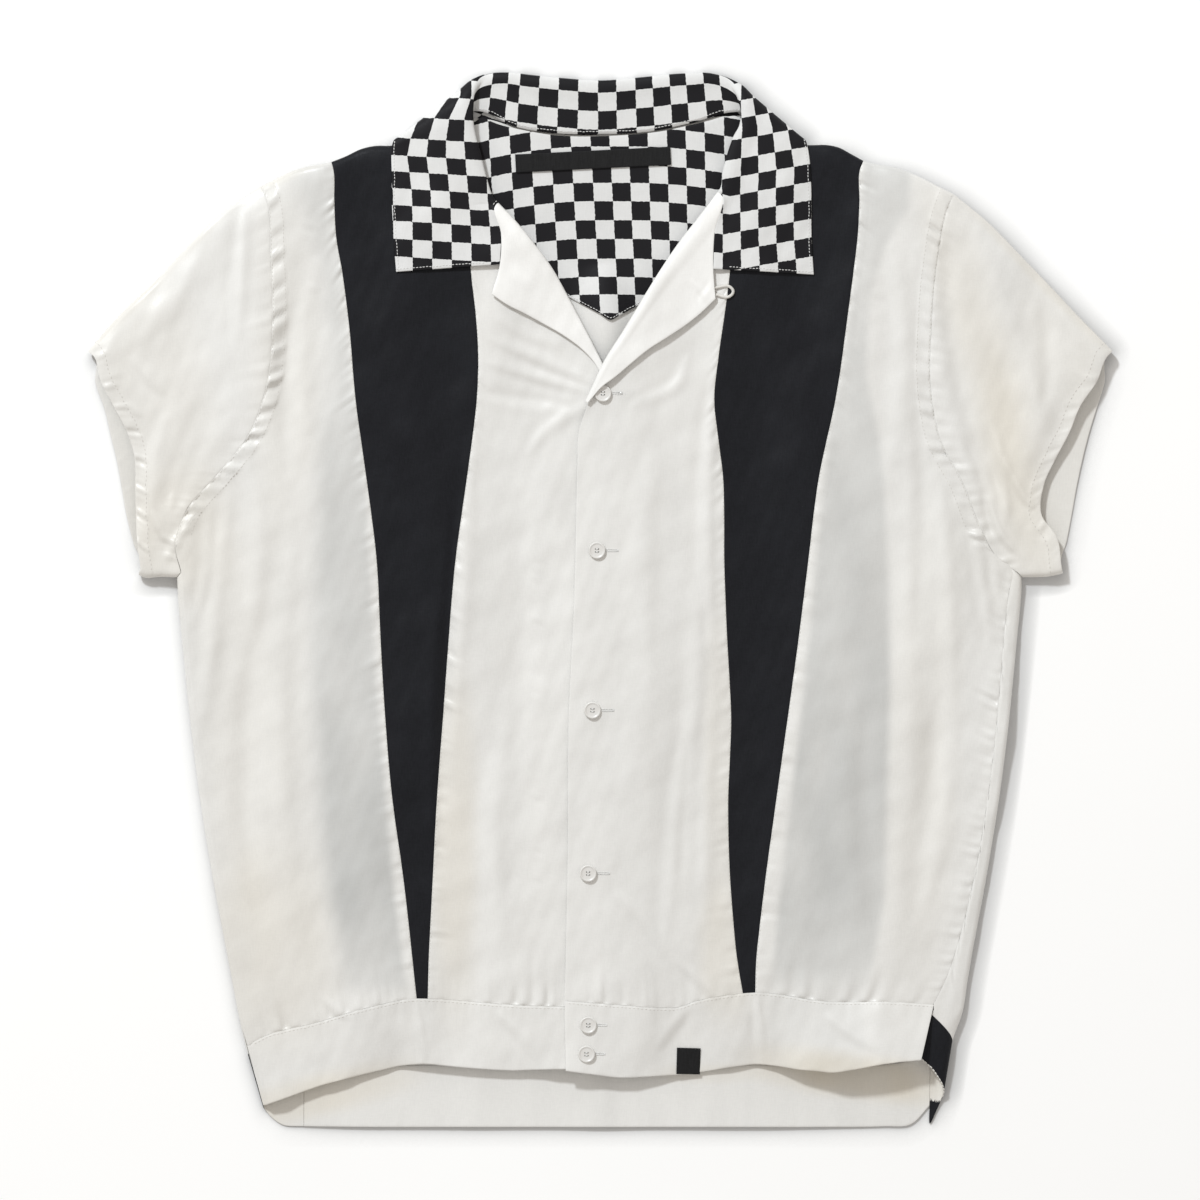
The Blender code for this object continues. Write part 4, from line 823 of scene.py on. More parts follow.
@dataclass(frozen=True)
class Edge:
    """How a border of a cloth is finished: dips, turned allowance, puckers and rounding."""

    line: Line
    dip: float = 0.06
    ridge: float = 0.0
    ridge_width: float = 7.0
    pucker: float = 0.0
    pucker_reach: float = 7.0
    pucker_length: float = 8.0
    rounding: float = 0.6
    start: int = 0               # first coarse line along it
    stop: int | None = None      # and the last
    seed: int = 1
    sharpness: float = 1.5       # of the puckers' end; 6 keeps them inside their reach
    slant: float = 0.0           # of the puckers
    tight: bool = True           # adds fine lines beside it
    square: bool = False         # measures distances square to it, not along the rows

    dip_reach: ClassVar[float] = 1.4
    ridge_slope: ClassVar[float] = 1.6
    pucker_rise: ClassVar[float] = 1.2       # from the border to the puckers' full height
    pucker_fade: ClassVar[float] = 14.0      # towards both ends of the border
    sewn_wall: ClassVar[float] = 0.75        # share of the wall at a sewn border
    free_wall: ClassVar[float] = 0.12        # and at a free one, which rounds off
    abrupt: ClassVar[float] = 3.0            # sharpness from which the reach is even
    uneven_seed: ClassVar[int] = 50          # of the reach, from the edge's own
    uneven_length: ClassVar[float] = 30.0
    uneven_share: ClassVar[float] = 0.5
    shorter: ClassVar[float] = 0.4           # share of that by which the reach is less
    least_reach: ClassVar[float] = 2.0

    def walls(self, away: Array) -> Array:
        """Share of the wall at distances from the border."""
        rounded = np.sqrt(1.0 - (1.0 - np.minimum(away / self.rounding, 1.0))**2)
        return np.maximum(rounded, self.sewn_wall if self.dip else self.free_wall)

    def heights(self, away: Array, along: Array, counts: Array) -> Array:
        """Heights that the border adds.

        Args:
            away: Distance of each point from the border.
            along: Its place along the border.
            counts: 1 where the border counts, and 0 elsewhere.

        Returns:
            A height for each point.
        """
        added = -self.dip * np.exp(-(away / self.dip_reach)**2)
        if self.ridge:
            added = added + self.ridge * (
                smooth_step(away / self.ridge_slope)
                * (1.0 - smooth_step((away - self.ridge_width) / self.ridge_slope)))
        if self.pucker:
            wave = Ripple(self.seed, self.pucker_length, waves=5, patch=3.0, calmest=0.45)(
                along + self.slant * away)
            loose = 0.0 if self.sharpness > self.abrupt else self.uneven_share
            uneven = Ripple(self.seed + self.uneven_seed, self.uneven_length)(along)
            reach = self.pucker_reach * (1.0 - self.shorter * loose + loose * uneven)
            reach = np.maximum(reach, self.least_reach)
            held = along[counts > 0.0]
            ends = np.minimum(along - held.min(), held.max() - along)
            added = added + (self.pucker * wave * smooth_step(away / self.pucker_rise)
                             * np.exp(-(away / reach)**self.sharpness)
                             * smooth_step(ends / self.pucker_fade))
        return counts * added


@dataclass
class Patch:
    """A fine grid of points halfway through a cloth, and how its borders are finished."""

    points: Array
    row_counts: Array
    column_counts: Array
    edges: tuple[Edge, ...] = ()
    closed: bool = False
    squares: Array | None = None
    share: Array = field(default_factory=lambda: np.zeros(0))
    flip: bool = False

    def __post_init__(self) -> None:
        """Finds the fine line of each coarse one, and which way the cloth faces."""
        self.row_stops = np.concatenate([[0], np.cumsum(self.row_counts)])
        self.column_stops = np.concatenate([[0], np.cumsum(self.column_counts)])
        outside = np.sign(self.points[..., 2] - FOLD_Z)
        self.flip = bool((self.normals()[..., 2] * outside).sum() < 0.0)

    @classmethod
    def of(cls, grid: Array, pitch: float, *edges: Edge, closed: bool = False,
           row_counts: Array | None = None, column_counts: Array | None = None,
           squares: Array | None = None) -> "Patch":
        """Makes a fine patch of a coarse grid.

        Args:
            grid: Coarse points, row by row.
            pitch: Length of a fine step.
            edges: How its borders are finished.
            closed: True where the last column is the first again.
            row_counts: Fine steps between the coarse rows, where they have to agree.
            column_counts: Fine steps between the coarse columns.
            squares: Check coordinates of the coarse points.

        Returns:
            The patch.
        """
        packed = grid if squares is None else np.concatenate([grid, squares], axis=2)
        fine, rows = densify(packed, pitch, row_counts)
        fine, columns = densify(np.swapaxes(fine, 0, 1), pitch, column_counts)
        fine = np.ascontiguousarray(np.swapaxes(fine, 0, 1))
        patch = cls(fine[..., :3].copy(), rows, columns, edges=edges, closed=closed)
        if squares is not None:
            patch.squares = fine[..., 3:].copy()
        patch._tighten()
        return patch

    def _tighten(self) -> None:
        """Adds lines close inside each finished border, so that it can round off."""
        for edge in self.edges:
            turned = from_line(self.points, edge.line)
            length = np.maximum(np.linalg.norm(turned[1] - turned[0], axis=1), 1e-6)
            if not edge.tight or np.median(length) < CLOSE_ROWS:
                continue
            shares = [np.minimum(distance / length, most)[:, None]
                      for distance, most in EDGE_LINES]
            for name in ("points", "squares"):
                values = getattr(self, name)
                if values is None:
                    continue
                view = from_line(values, edge.line)
                rows = [view[0] + (view[1] - view[0]) * share for share in shares]
                view = np.concatenate([view[:1], np.array(rows), view[1:]])
                setattr(self, name, np.ascontiguousarray(to_grid(view, edge.line)))
            stops = self.row_stops if edge.line.is_row else self.column_stops
            stops[-1 if edge.line.is_last else 1:] += len(EDGE_LINES)

    def stretch(self, line: Line, start: int, stop: int | None) -> tuple[int, int]:
        """First and last fine line of a stretch of a border that is given in coarse lines."""
        stops = self.column_stops if line.is_row else self.row_stops
        return int(stops[start]), int(stops[-1] if stop is None else stops[stop])

    def field_of(self, edge: Edge) -> tuple[Array, ...]:
        """Distance from a border, place along it, and where the border counts.

        Args:
            edge: The border.

        Returns:
            Three arrays with the patch's shape; the last is 0 to 1.
        """
        if edge.square:
            return self.square_field(edge)
        turned = from_line(self.points, edge.line)
        away = travelled(turned)
        along = np.broadcast_to(travelled(turned[0]), away.shape)
        first, last = self.stretch(edge.line, edge.start, edge.stop)
        lines = np.arange(away.shape[1])
        counts = np.broadcast_to(((lines >= first) & (lines <= last)).astype(float), away.shape)
        return tuple(to_grid(values, edge.line) for values in (away, along, counts))

    def square_field(self, edge: Edge) -> tuple[Array, ...]:
        """The same three arrays, measured square to the part of the border that counts."""
        first, last = self.stretch(edge.line, edge.start, edge.stop)
        border = from_line(self.points, edge.line)[0][first:last + 1]
        points = self.points.reshape(-1, 3)
        away, along, run = np.full(len(points), np.inf), np.zeros(len(points)), 0.0
        for start, stop in zip(border, border[1:]):
            step = stop - start
            length = float(np.linalg.norm(step))
            share = np.clip((points - start) @ step / length**2, 0.0, 1.0)
            gap = np.linalg.norm(points - start - share[:, None] * step, axis=1)
            nearer = gap < away
            away[nearer] = gap[nearer]
            along[nearer] = run + share[nearer] * length
            run += length
        shape = self.points.shape[:2]
        return away.reshape(shape), along.reshape(shape), np.ones(shape)

    def finish_edges(self) -> Array:
        """Heights that the borders add, and sets the share of the wall that each point has."""
        height = np.zeros(self.points.shape[:2])
        self.share = np.ones(self.points.shape[:2])
        for edge in self.edges:
            away, along, counts = self.field_of(edge)
            self.share = np.minimum(self.share, 1.0 + counts * (edge.walls(away) - 1.0))
            height += edge.heights(away, along, counts)
        return height

    def inset_line(self, line: Line, distance: float, start: int = 0,
                   stop: int | None = None, square: bool = False) -> tuple[Array, ...]:
        """A line that runs inside a border at a distance from it.

        Args:
            line: The border.
            distance: How far in from it.
            start: First coarse line along the border.
            stop: Last coarse line.
            square: True to measure the distance square to the border.

        Returns:
            Points on the middle of the cloth, and unit normals there.
        """
        turned = from_line(self.points, line)
        normals = from_line(self.normals(), line)
        first, last = self.stretch(line, start, stop)
        away = travelled(turned)
        if square:
            gaps = self.square_field(Edge(line, start=start, stop=stop))[0]
            away = np.maximum.accumulate(from_line(gaps, line), axis=0)
        return tuple(np.array([[np.interp(distance, away[:, k], values[:, k, c])
                                for c in range(3)] for k in range(first, last + 1)])
                     for values in (turned, normals))

    def normals(self) -> Array:
        """Unit normals of the grid, pointing up where the cloth lies flat."""
        across = np.gradient(self.points, axis=1)
        along = np.gradient(self.points, axis=0)
        normal = np.cross(across, along)
        normal /= np.maximum(np.linalg.norm(normal, axis=2), 1e-12)[..., None]
        return -normal if self.flip else normal

    def quads(self, first: int) -> Array:
        """Faces of the patch, with its points numbered from first."""
        rows, columns = self.points.shape[:2]
        index = np.arange(rows * columns).reshape(rows, columns) + first
        a, b = index[:-1, :-1], index[:-1, 1:]
        c, d = index[1:, 1:], index[1:, :-1]
        quads = np.stack([a, b, c, d], axis=-1).reshape(-1, 4)
        return quads[:, ::-1] if self.flip else quads


class Join(NamedTuple):
    """A border of a patch that lies on a border of another, which says where its points are."""

    patch: Patch
    line: Line
    source: Patch
    source_line: Line = Line.FIRST_COLUMN

    def close(self) -> None:
        """Puts the border's points on the other's, from the start as far as they reach."""
        mine = from_line(self.patch.points, self.line)[0]
        mine[:] = from_line(self.source.points, self.source_line)[0][:len(mine)]


@dataclass(frozen=True)
class Drape:
    """The folds of the cloth: soft billows everywhere, and listed creases."""

    front: tuple[Crease, ...]
    back: tuple[Crease, ...]
    puckers: tuple[Pucker, ...] = ()
    depth: float = 1.6           # of the creases, times the height given for each
    billow: float = 2.2          # height of the front's soft folds
    smaller: float = 0.38        # share of it for those of middle size
    flutter: float = 0.18        # height of the small ones on them
    back_billow: float = 0.6
    neck_calm: float = 0.7       # the folds die out by this share towards the collar's roll
    neck_calm_y: float = 262.0
    neck_calm_run: float = 50.0
    neck_calm_x: float = 160.0
    neck_calm_side: float = 60.0
    lie: float = 0.25            # folds of the back lower than this lie on the surface
    bend: float = 2.5            # how sharply they leave it

    wide_folds: ClassVar[Billow] = Billow(11, 95.0, 8.0, 22.0)
    middle_folds: ClassVar[Billow] = Billow(12, 42.0, -4.0, 28.0)
    small_folds: ClassVar[Billow] = Billow(13, 15.0, 0.0, 60.0)
    back_folds: ClassVar[Billow] = Billow(21, 110.0, 5.0, 25.0)

    def front_height(self, x: Array, y: Array) -> Array:
        """Height that the folds of the front add at plan places."""
        soft = self.wide_folds(x, y) * self.billow
        soft = soft + self.middle_folds(x, y) * self.smaller * self.billow
        soft = soft + self.small_folds(x, y) * self.flutter
        up = smooth_step((y - self.neck_calm_y) / self.neck_calm_run)
        inwards = smooth_step((self.neck_calm_x - np.abs(x)) / self.neck_calm_side)
        calm = 1.0 - self.neck_calm * up * inwards
        creases = sum(crease_height(crease, x, y) for crease in self.front)
        puckers = sum(pucker_height(pucker, x, y) for pucker in self.puckers)
        return soft * calm + self.depth * creases + puckers

    def back_height(self, x: Array, y: Array) -> Array:
        """Height that the folds of the back add. It lies on the surface, so it's never below 0."""
        soft = self.back_folds(x, y) * self.back_billow
        total = soft + sum(crease_height(crease, x, y) for crease in self.back)
        return np.logaddexp(0.0, self.bend * (total - self.lie)) / self.bend

    def apply(self, points: Array, layer: Layer) -> Array:
        """Heights for points on one layer, or by the height of each point."""
        x, y = points[..., 0], points[..., 1]
        if layer is Layer.FRONT:
            return self.front_height(x, y)
        if layer is Layer.BACK:
            return self.back_height(x, y)
        upper = upper_share(points[..., 2])
        return upper * self.front_height(x, y) + (1.0 - upper) * self.back_height(x, y)


class Held(Enum):
    """How a sheet lies."""

    LAID = "laid"
    FOLDED = "folded"


@dataclass(frozen=True)
class Cut:
    """What a sheet was cut to, in metres, how it lies and what it lies on."""

    width: float
    length: float
    area: float
    rests_on: tuple[str, ...]
    held: Held = Held.LAID


@dataclass
class ClothPiece:
    """One cloth of the shirt: its node, its finish, its patches and its wall."""

    node: str
    finish: "Finish"
    patches: list[Patch]
    layer: Layer = Layer.FRONT
    wall: float = CLOTH
    joins: tuple[Join, ...] = ()
    kind: str = "cloth"
    lining: "Finish | None" = None
    lining_from: float = -1e3    # height in plan above which the lining shows

    def drape(self, drape: Drape) -> "ClothPiece":
        """Gives the patches their edges and folds, and closes their joins."""
        for patch in self.patches:
            added = patch.finish_edges()
            upper = np.where(patch.points[..., 2] > FOLD_Z, 1.0, UNDER_SHARE)
            upper = upper if self.layer is Layer.ROUND else np.ones_like(upper)
            folds = drape.apply(patch.points, self.layer)
            patch.points[..., 2] += folds + added * upper
            if self.layer is not Layer.FRONT:
                lowest = self.wall / 2 * patch.share + CLEAR
                patch.points[..., 2] = np.maximum(patch.points[..., 2], lowest)
            if patch.closed:
                patch.points[:, -1] = patch.points[:, 0]
                patch.share[:, -1] = patch.share[:, 0]
        for join in self.joins:
            join.close()
        return self

    def make(self, tones: "Tones") -> bpy.types.Object:
        """Makes the shell, dresses it and gives it its place in the frame.

        Args:
            tones: Where the cloth is painted with warm shade, and where it is tinted grey.

        Returns:
            The new object.
        """
        points = np.concatenate([p.points.reshape(-1, 3) for p in self.patches])
        shares = np.concatenate([p.share.reshape(-1) for p in self.patches])
        squares = np.concatenate([np.zeros((p.share.size, 2)) if p.squares is None
                                  else p.squares.reshape(-1, 2) for p in self.patches])
        firsts = np.cumsum([0, *(p.share.size for p in self.patches)])
        quads = np.concatenate([p.quads(first) for p, first in zip(self.patches, firsts)])
        _, kept, welded = np.unique(np.round(points, 4), axis=0, return_index=True,
                                    return_inverse=True)
        welded = welded.reshape(-1)
        points, shares, squares = points[kept], shares[kept], squares[kept]
        quads = welded[quads]
        whole = np.array([len(set(quad)) == 4 for quad in quads.tolist()])
        quads = quads[whole]
        obj = shell(f"{self.node}_{self.kind}", points, quads, shares * self.wall / 2, {
            "squares": np.column_stack([squares, np.full(len(squares), MID_SQUARE)]),
            "tones": tones.at(points, self.layer),
        })
        obj.data.materials.append(self.finish.material())
        if self.lining is not None:
            self._line(obj, points[quads, 1].mean(axis=1) > self.lining_from)
        settle(obj, self.node)
        LOG.info("%s: %d points", obj.name, len(obj.data.vertices))
        return obj

    def _line(self, obj: bpy.types.Object, lined: Array) -> None:
        """Gives the inside of a shell its lining: the faces named, and the rims that lie low."""
        obj.data.materials.append(self.lining.material())
        rims = [obj.data.vertices[face.vertices[0]].co.z < FOLD_Z / 2 * MM
                for face in list(obj.data.polygons)[2 * len(lined):]]
        inside = np.concatenate([np.zeros(len(lined)), lined, rims]).astype(int)
        obj.data.polygons.foreach_set("material_index", inside)


def settle(obj: bpy.types.Object, node: str | None) -> None:
    """Puts a piece on the shirt's body, in place of its node, whose part it hides."""
    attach(obj, BODY)
    if node is not None:
        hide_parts(node)


def link(name: str, data: bpy.types.ID) -> bpy.types.Object:
    """A new object in the scene that shows a mesh, a lamp or a camera."""
    obj = bpy.data.objects.new(name, data)
    bpy.context.scene.collection.objects.link(obj)
    return obj


def shell(name: str, points: Array, quads: Array, half: Array,
          values: dict[str, Array]) -> bpy.types.Object:
    """Closes an open sheet to a thin shell.

    Args:
        name: Name of the object.
        points: Points halfway through the cloth, in millimetres.
        quads: Faces between them.
        half: Half the wall at each point.
        values: Vectors that each point carries for its finish.

    Returns:
        The new object.
    """
    a, b, c, d = (points[quads[:, k]] for k in range(4))
    face = np.cross(c - a, d - b)
    normals = np.zeros_like(points)
    for k in range(4):
        np.add.at(normals, quads[:, k], face)
    normals /= np.maximum(np.linalg.norm(normals, axis=1), 1e-12)[:, None]
    offset = normals * half[:, None]
    count = len(points)
    directed = np.concatenate([quads[:, [k, (k + 1) % 4]] for k in range(4)])
    key = np.sort(directed, axis=1)
    _, inverse, uses = np.unique(key, axis=0, return_inverse=True, return_counts=True)
    rim = directed[uses[inverse.reshape(-1)] == 1]
    rims = np.column_stack([rim[:, 1], rim[:, 0], rim[:, 0] + count, rim[:, 1] + count])
    faces = np.concatenate([quads, quads[:, ::-1] + count, rims])
    mesh = bpy.data.meshes.new(name)
    mesh.from_pydata((np.concatenate([points + offset, points - offset]) * MM).tolist(), [],
                     faces.tolist())
    mesh.shade_smooth()
    for label, vectors in values.items():
        attribute = mesh.attributes.new(label, "FLOAT_VECTOR", "POINT")
        attribute.data.foreach_set("vector", np.concatenate([vectors] * 2).astype(
            np.float32).ravel())
    return link(name, mesh)


@dataclass(frozen=True)
class Glow:
    """A soft-edged patch of a tone, used for painted warm shade: middle, half size, turn in
    degrees and strength.
    """

    x: float
    y: float
    width: float
    height: float
    turn: float
    strength: float
    softness: float = 0.5
    square: ClassVar[float] = 2.6    # 2 is an ellipse, and more is squarer

    def at(self, x: Array, y: Array) -> Array:
        """Strength of the tone at plan places."""
        a = radians(self.turn)
        across = ((x - self.x) * cos(a) + (y - self.y) * sin(a)) / self.width
        along = (-(x - self.x) * sin(a) + (y - self.y) * cos(a)) / self.height
        away = (np.abs(across)**self.square + np.abs(along)**self.square)**(1 / self.square)
        return self.strength * smooth_step((1.0 + self.softness - away) / (2 * self.softness))


@dataclass(frozen=True)
class Underlay:
    """A soft-edged strip, given row by row, where the cloth's colour is tinted grey."""

    rows: tuple[tuple[float, float, float, float], ...]   # height, left, right, strength
    left_softness: float
    right_softness: float

    def at(self, x: Array, y: Array) -> Array:
        """Strength of the tone at plan places."""
        level, left, right, strength = np.array(sorted(self.rows)).T
        left, right = np.interp(y, level, left), np.interp(y, level, right)
        inside = (smooth_step(0.5 + (x - left) / self.left_softness)
                  * smooth_step(0.5 + (right - x) / self.right_softness))
        return inside * np.interp(y, level, strength)


@dataclass(frozen=True)
class Tones:
    """Where the off-white cloth is painted with warm shade, and where it is tinted grey."""

    warm: tuple[Glow, ...]
    cool: tuple[Glow | Underlay, ...]
    level: float = 0.9           # of the tones, and how far it comes and goes
    wander: float = 0.12

    patches: ClassVar[Billow] = Billow(31, 44.0, 0.0, 25.0)

    def at(self, points: Array, layer: Layer) -> Array:
        """Shares of the painted warm shade and of the grey tint, and the share of the front layer,
        for points in millimetres.
        """
        x, y = points[:, 0], points[:, 1]
        upper = upper_share(points[:, 2])
        warm = sum((glow.at(x, y) for glow in self.warm), np.zeros_like(x))
        cool = sum((glow.at(x, y) for glow in self.cool), np.zeros_like(x))
        ripple = self.level + self.wander * self.patches(x, y)
        return np.column_stack([np.clip(warm * ripple, 0, 1),
                                np.clip(cool * ripple * upper, 0, 1), upper])


@dataclass(frozen=True)
class Stitching:
    """A row of stitches: length, gap, radius and how far it stands off the cloth."""

    length: float = 2.1
    gap: float = 0.9
    radius: float = 0.22
    lift: float = 0.1
    wander: float = 0.12

    places: ClassVar[Array] = np.array([0.0, 0.18, 0.5, 0.82, 1.0])      # of its rings
    girths: ClassVar[Array] = np.array([0.35, 0.95, 1.0, 0.95, 0.35])    # times the radius
    sink: ClassVar[float] = -0.22            # of its ends into the cloth
    shoulder: ClassVar[float] = 0.03
    slip: ClassVar[float] = 0.06             # of its start
    lengths: ClassVar[Plan] = (0.92, 1.06)   # least and most, as shares of the length
    sides: ClassVar[int] = 6

    def build(self, line: Array, ups: Array, wall: float, seed: int) -> tuple[Array, Array]:
        """Threads laid along a line on a cloth.

        Args:
            line: Points on the middle of the cloth.
            ups: Unit normals of the cloth there.
            wall: Wall of the cloth.
            seed: Seed of the small differences between stitches.

        Returns:
            Points in millimetres, and quads.
        """
        along = travelled(line)
        step = self.length + self.gap
        count = int(along[-1] // step)
        if count < 1:
            return np.zeros((0, 3)), np.zeros((0, 4), int)
        rng = np.random.default_rng(seed)
        starts = (np.arange(count) + 0.5) * step - self.length / 2
        starts = starts + rng.normal(0.0, self.slip, count)
        stops = starts + self.length * rng.uniform(*self.lengths, count)
        girth = self.girths * self.radius
        rise = np.array([self.sink, self.shoulder, self.lift, self.shoulder, self.sink])
        at = starts[:, None] + (stops - starts)[:, None] * self.places
        centre = np.stack([np.interp(at, along, line[:, k]) for k in range(3)], axis=-1)
        up = np.stack([np.interp(at, along, ups[:, k]) for k in range(3)], axis=-1)
        up /= np.linalg.norm(up, axis=-1)[..., None]
        forward = centre[:, -1:] - centre[:, :1]
        forward = forward / np.maximum(np.linalg.norm(forward, axis=-1), 1e-9)[..., None]
        beside = np.cross(up, np.broadcast_to(forward, up.shape))
        beside /= np.maximum(np.linalg.norm(beside, axis=-1), 1e-9)[..., None]
        centre = centre + up * (wall / 2 + rise)[None, :, None]
        centre = centre + beside * rng.normal(0.0, self.wander, count)[:, None, None]
        sides = self.sides
        angles = np.arange(sides) * 2 * pi / sides
        ring = (beside[:, :, None] * np.cos(angles)[None, None, :, None]
                + up[:, :, None] * np.sin(angles)[None, None, :, None])
        points = centre[:, :, None] + ring * girth[None, :, None, None]
        index = np.arange(points.shape[0] * points.shape[1] * sides)
        index = index.reshape(points.shape[:3])
        following = np.roll(index, -1, axis=2)
        quads = np.stack([index[:, :-1], following[:, :-1], following[:, 1:], index[:, 1:]],
                         axis=-1).reshape(-1, 4)
        caps = []
        for end, order in ((0, (3, 2, 1, 0)), (-1, (0, 1, 2, 3))):
            ring_points = index[:, end]
            caps += [ring_points[:, list(order)],
                     ring_points[:, [(k + 3) % sides if end else -k % sides
                                     for k in range(4)]]]
        return points.reshape(-1, 3), np.concatenate([quads, *caps])


@dataclass
class ThreadWork:
    """All the stitches of one sub-assembly, gathered in one piece."""

    name: str
    finish: "Finish"
    node: str | None = None      # that it stands for, if any
    points: list[Array] = field(default_factory=list)
    quads: list[Array] = field(default_factory=list)
    total: int = 0

    def add(self, points: Array, quads: Array) -> None:
        """Takes more threads."""
        self.points.append(points)
        self.quads.append(quads + self.total)
        self.total += len(points)

    def sew(self, line: tuple[Array, Array], wall: float, stitching: Stitching = Stitching(),
            seed: int = 7, flip: bool = False) -> None:
        """Sews one row of stitches along a line of a cloth."""
        places, ups = line
        places = places.copy()
        lowest = wall / 2 + stitching.radius + THREAD_CLEAR
        places[:, 2] = np.maximum(places[:, 2], lowest)
        self.add(*stitching.build(places, -ups if flip else ups, wall, seed))

    def make(self) -> bpy.types.Object:
        """Makes the piece and gives it its place in the frame."""
        mesh = bpy.data.meshes.new(self.name)
        mesh.from_pydata((np.concatenate(self.points) * MM).tolist(), [],
                         np.concatenate(self.quads).tolist())
        mesh.validate()
        mesh.shade_smooth()
        obj = link(self.name, mesh)
        obj.data.materials.append(self.finish.material())
        settle(obj, self.node)
        LOG.info("%s: %d points", self.name, len(mesh.vertices))
        return obj


Value = bpy.types.NodeSocket | float | tuple
Sockets = bpy.types.NodeOutputs
FLOAT, VECTOR = "NodeSocketFloat", "NodeSocketVector"
MIX_SHARE, MIX_FIRST, MIX_SECOND, MIX_RESULT = 0, 6, 7, 2    # sockets of a mix of two colours


class Sketch:
    """Adds nodes to a tree and links them."""

    def __init__(self, tree: bpy.types.NodeTree) -> None:
        """Starts on a tree."""
        self.tree = tree

    def feed(self, node: bpy.types.Node, inputs: dict[str | int, Value]) -> bpy.types.Node:
        """Sets a node's sockets, by name or place, to values or to the sockets that feed them."""
        for name, value in inputs.items():
            if isinstance(value, bpy.types.NodeSocket):
                self.tree.links.new(value, node.inputs[name])
            else:
                node.inputs[name].default_value = value
        return node

    def add(self, kind: str, inputs: dict[str | int, Value] | None = None,
            **settings: object) -> bpy.types.Node:
        """A new node of a kind, with its sockets fed and its own settings."""
        node = self.tree.nodes.new(kind)
        for name, value in settings.items():
            setattr(node, name, value)
        return self.feed(node, inputs or {})

    def math(self, operation: str, *values: Value) -> bpy.types.NodeSocket:
        """Result of a sum on numbers."""
        node = self.add("ShaderNodeMath", dict(enumerate(values)), operation=operation)
        return node.outputs[0]

    def vector(self, operation: str, *values: Value) -> bpy.types.NodeSocket:
        """Result of a sum on vectors."""
        node = self.add("ShaderNodeVectorMath", dict(enumerate(values)), operation=operation)
        return node.outputs[0]

    def scaled(self, vector: Value, factor: Value) -> bpy.types.NodeSocket:
        """A vector or a colour times a number."""
        return self.add("ShaderNodeVectorMath", {0: vector, "Scale": factor},
                        operation="SCALE").outputs[0]

    def mix(self, share: Value, first: Value, second: Value) -> bpy.types.NodeSocket:
        """Two colours mixed by a share."""
        node = self.add("ShaderNodeMix", {MIX_SHARE: share, MIX_FIRST: first,
                                          MIX_SECOND: second}, data_type="RGBA")
        return node.outputs[MIX_RESULT]

    def noise(self, place: Value, scale: Value, detail: float,
              **inputs: float) -> bpy.types.NodeOutputs:
        """Outputs of a noise."""
        return self.add("ShaderNodeTexNoise", {"Vector": place, "Scale": scale,
                                               "Detail": detail, **inputs}).outputs

    def spread(self, value: Value, low: float, high: float = 1.0) -> bpy.types.NodeSocket:
        """A value stretched so that low becomes 0 and high becomes 1."""
        return self.add("ShaderNodeMapRange", {0: value, 1: low, 2: high}).outputs[0]

    def place(self) -> bpy.types.NodeSocket:
        """Place on the object."""
        return self.add("ShaderNodeTexCoord").outputs["Object"]

    def carried(self, name: str) -> bpy.types.NodeSocket:
        """A vector that the points of the mesh carry."""
        return self.add("ShaderNodeAttribute", attribute_name=name).outputs["Vector"]

    def bump(self, height: Value, distance: float, strength: float) -> bpy.types.NodeSocket:
        """Normal of a relief, with its depth in metres."""
        return self.add("ShaderNodeBump", {"Height": height, "Distance": distance,
                                           "Strength": strength}).outputs[0]

    def group(self, tree: bpy.types.NodeTree,
              inputs: dict[str, Value]) -> bpy.types.NodeOutputs:
        """Outputs of a shared group with its own values."""
        return self.add("ShaderNodeGroup", inputs, node_tree=tree).outputs

    def weave(self, place: Value, warp: float, weft: float) -> bpy.types.NodeOutputs:
        """Height and fleck of a satin weave."""
        return self.group(shared_group(WEAVE), {"Place": place, "Warp": warp, "Weft": weft})

    def mottle(self, place: Value, scale: float) -> bpy.types.NodeSocket:
        """Soft uneven tone."""
        return self.group(shared_group(MOTTLE), {"Place": place, "Scale": scale})["Tone"]


class Effect(NamedTuple):
    """A group of nodes that more than one material uses."""

    name: str
    inputs: dict[str, str]
    outputs: tuple[str, ...]
    build: Callable[[Sketch, Sockets], dict[str, Value]]


def shared_group(effect: Effect) -> bpy.types.NodeTree:
    """The node group of an effect, made once."""
    tree = bpy.data.node_groups.get(effect.name)
    if tree is None:
        tree = bpy.data.node_groups.new(effect.name, "ShaderNodeTree")
        for label, kind in effect.inputs.items():
            tree.interface.new_socket(name=label, in_out="INPUT", socket_type=kind)
        for label in effect.outputs:
            tree.interface.new_socket(name=label, in_out="OUTPUT", socket_type=FLOAT)
        sketch = Sketch(tree)
        start = sketch.add("NodeGroupInput").outputs
        sketch.feed(sketch.add("NodeGroupOutput"), effect.build(sketch, start))
    return tree


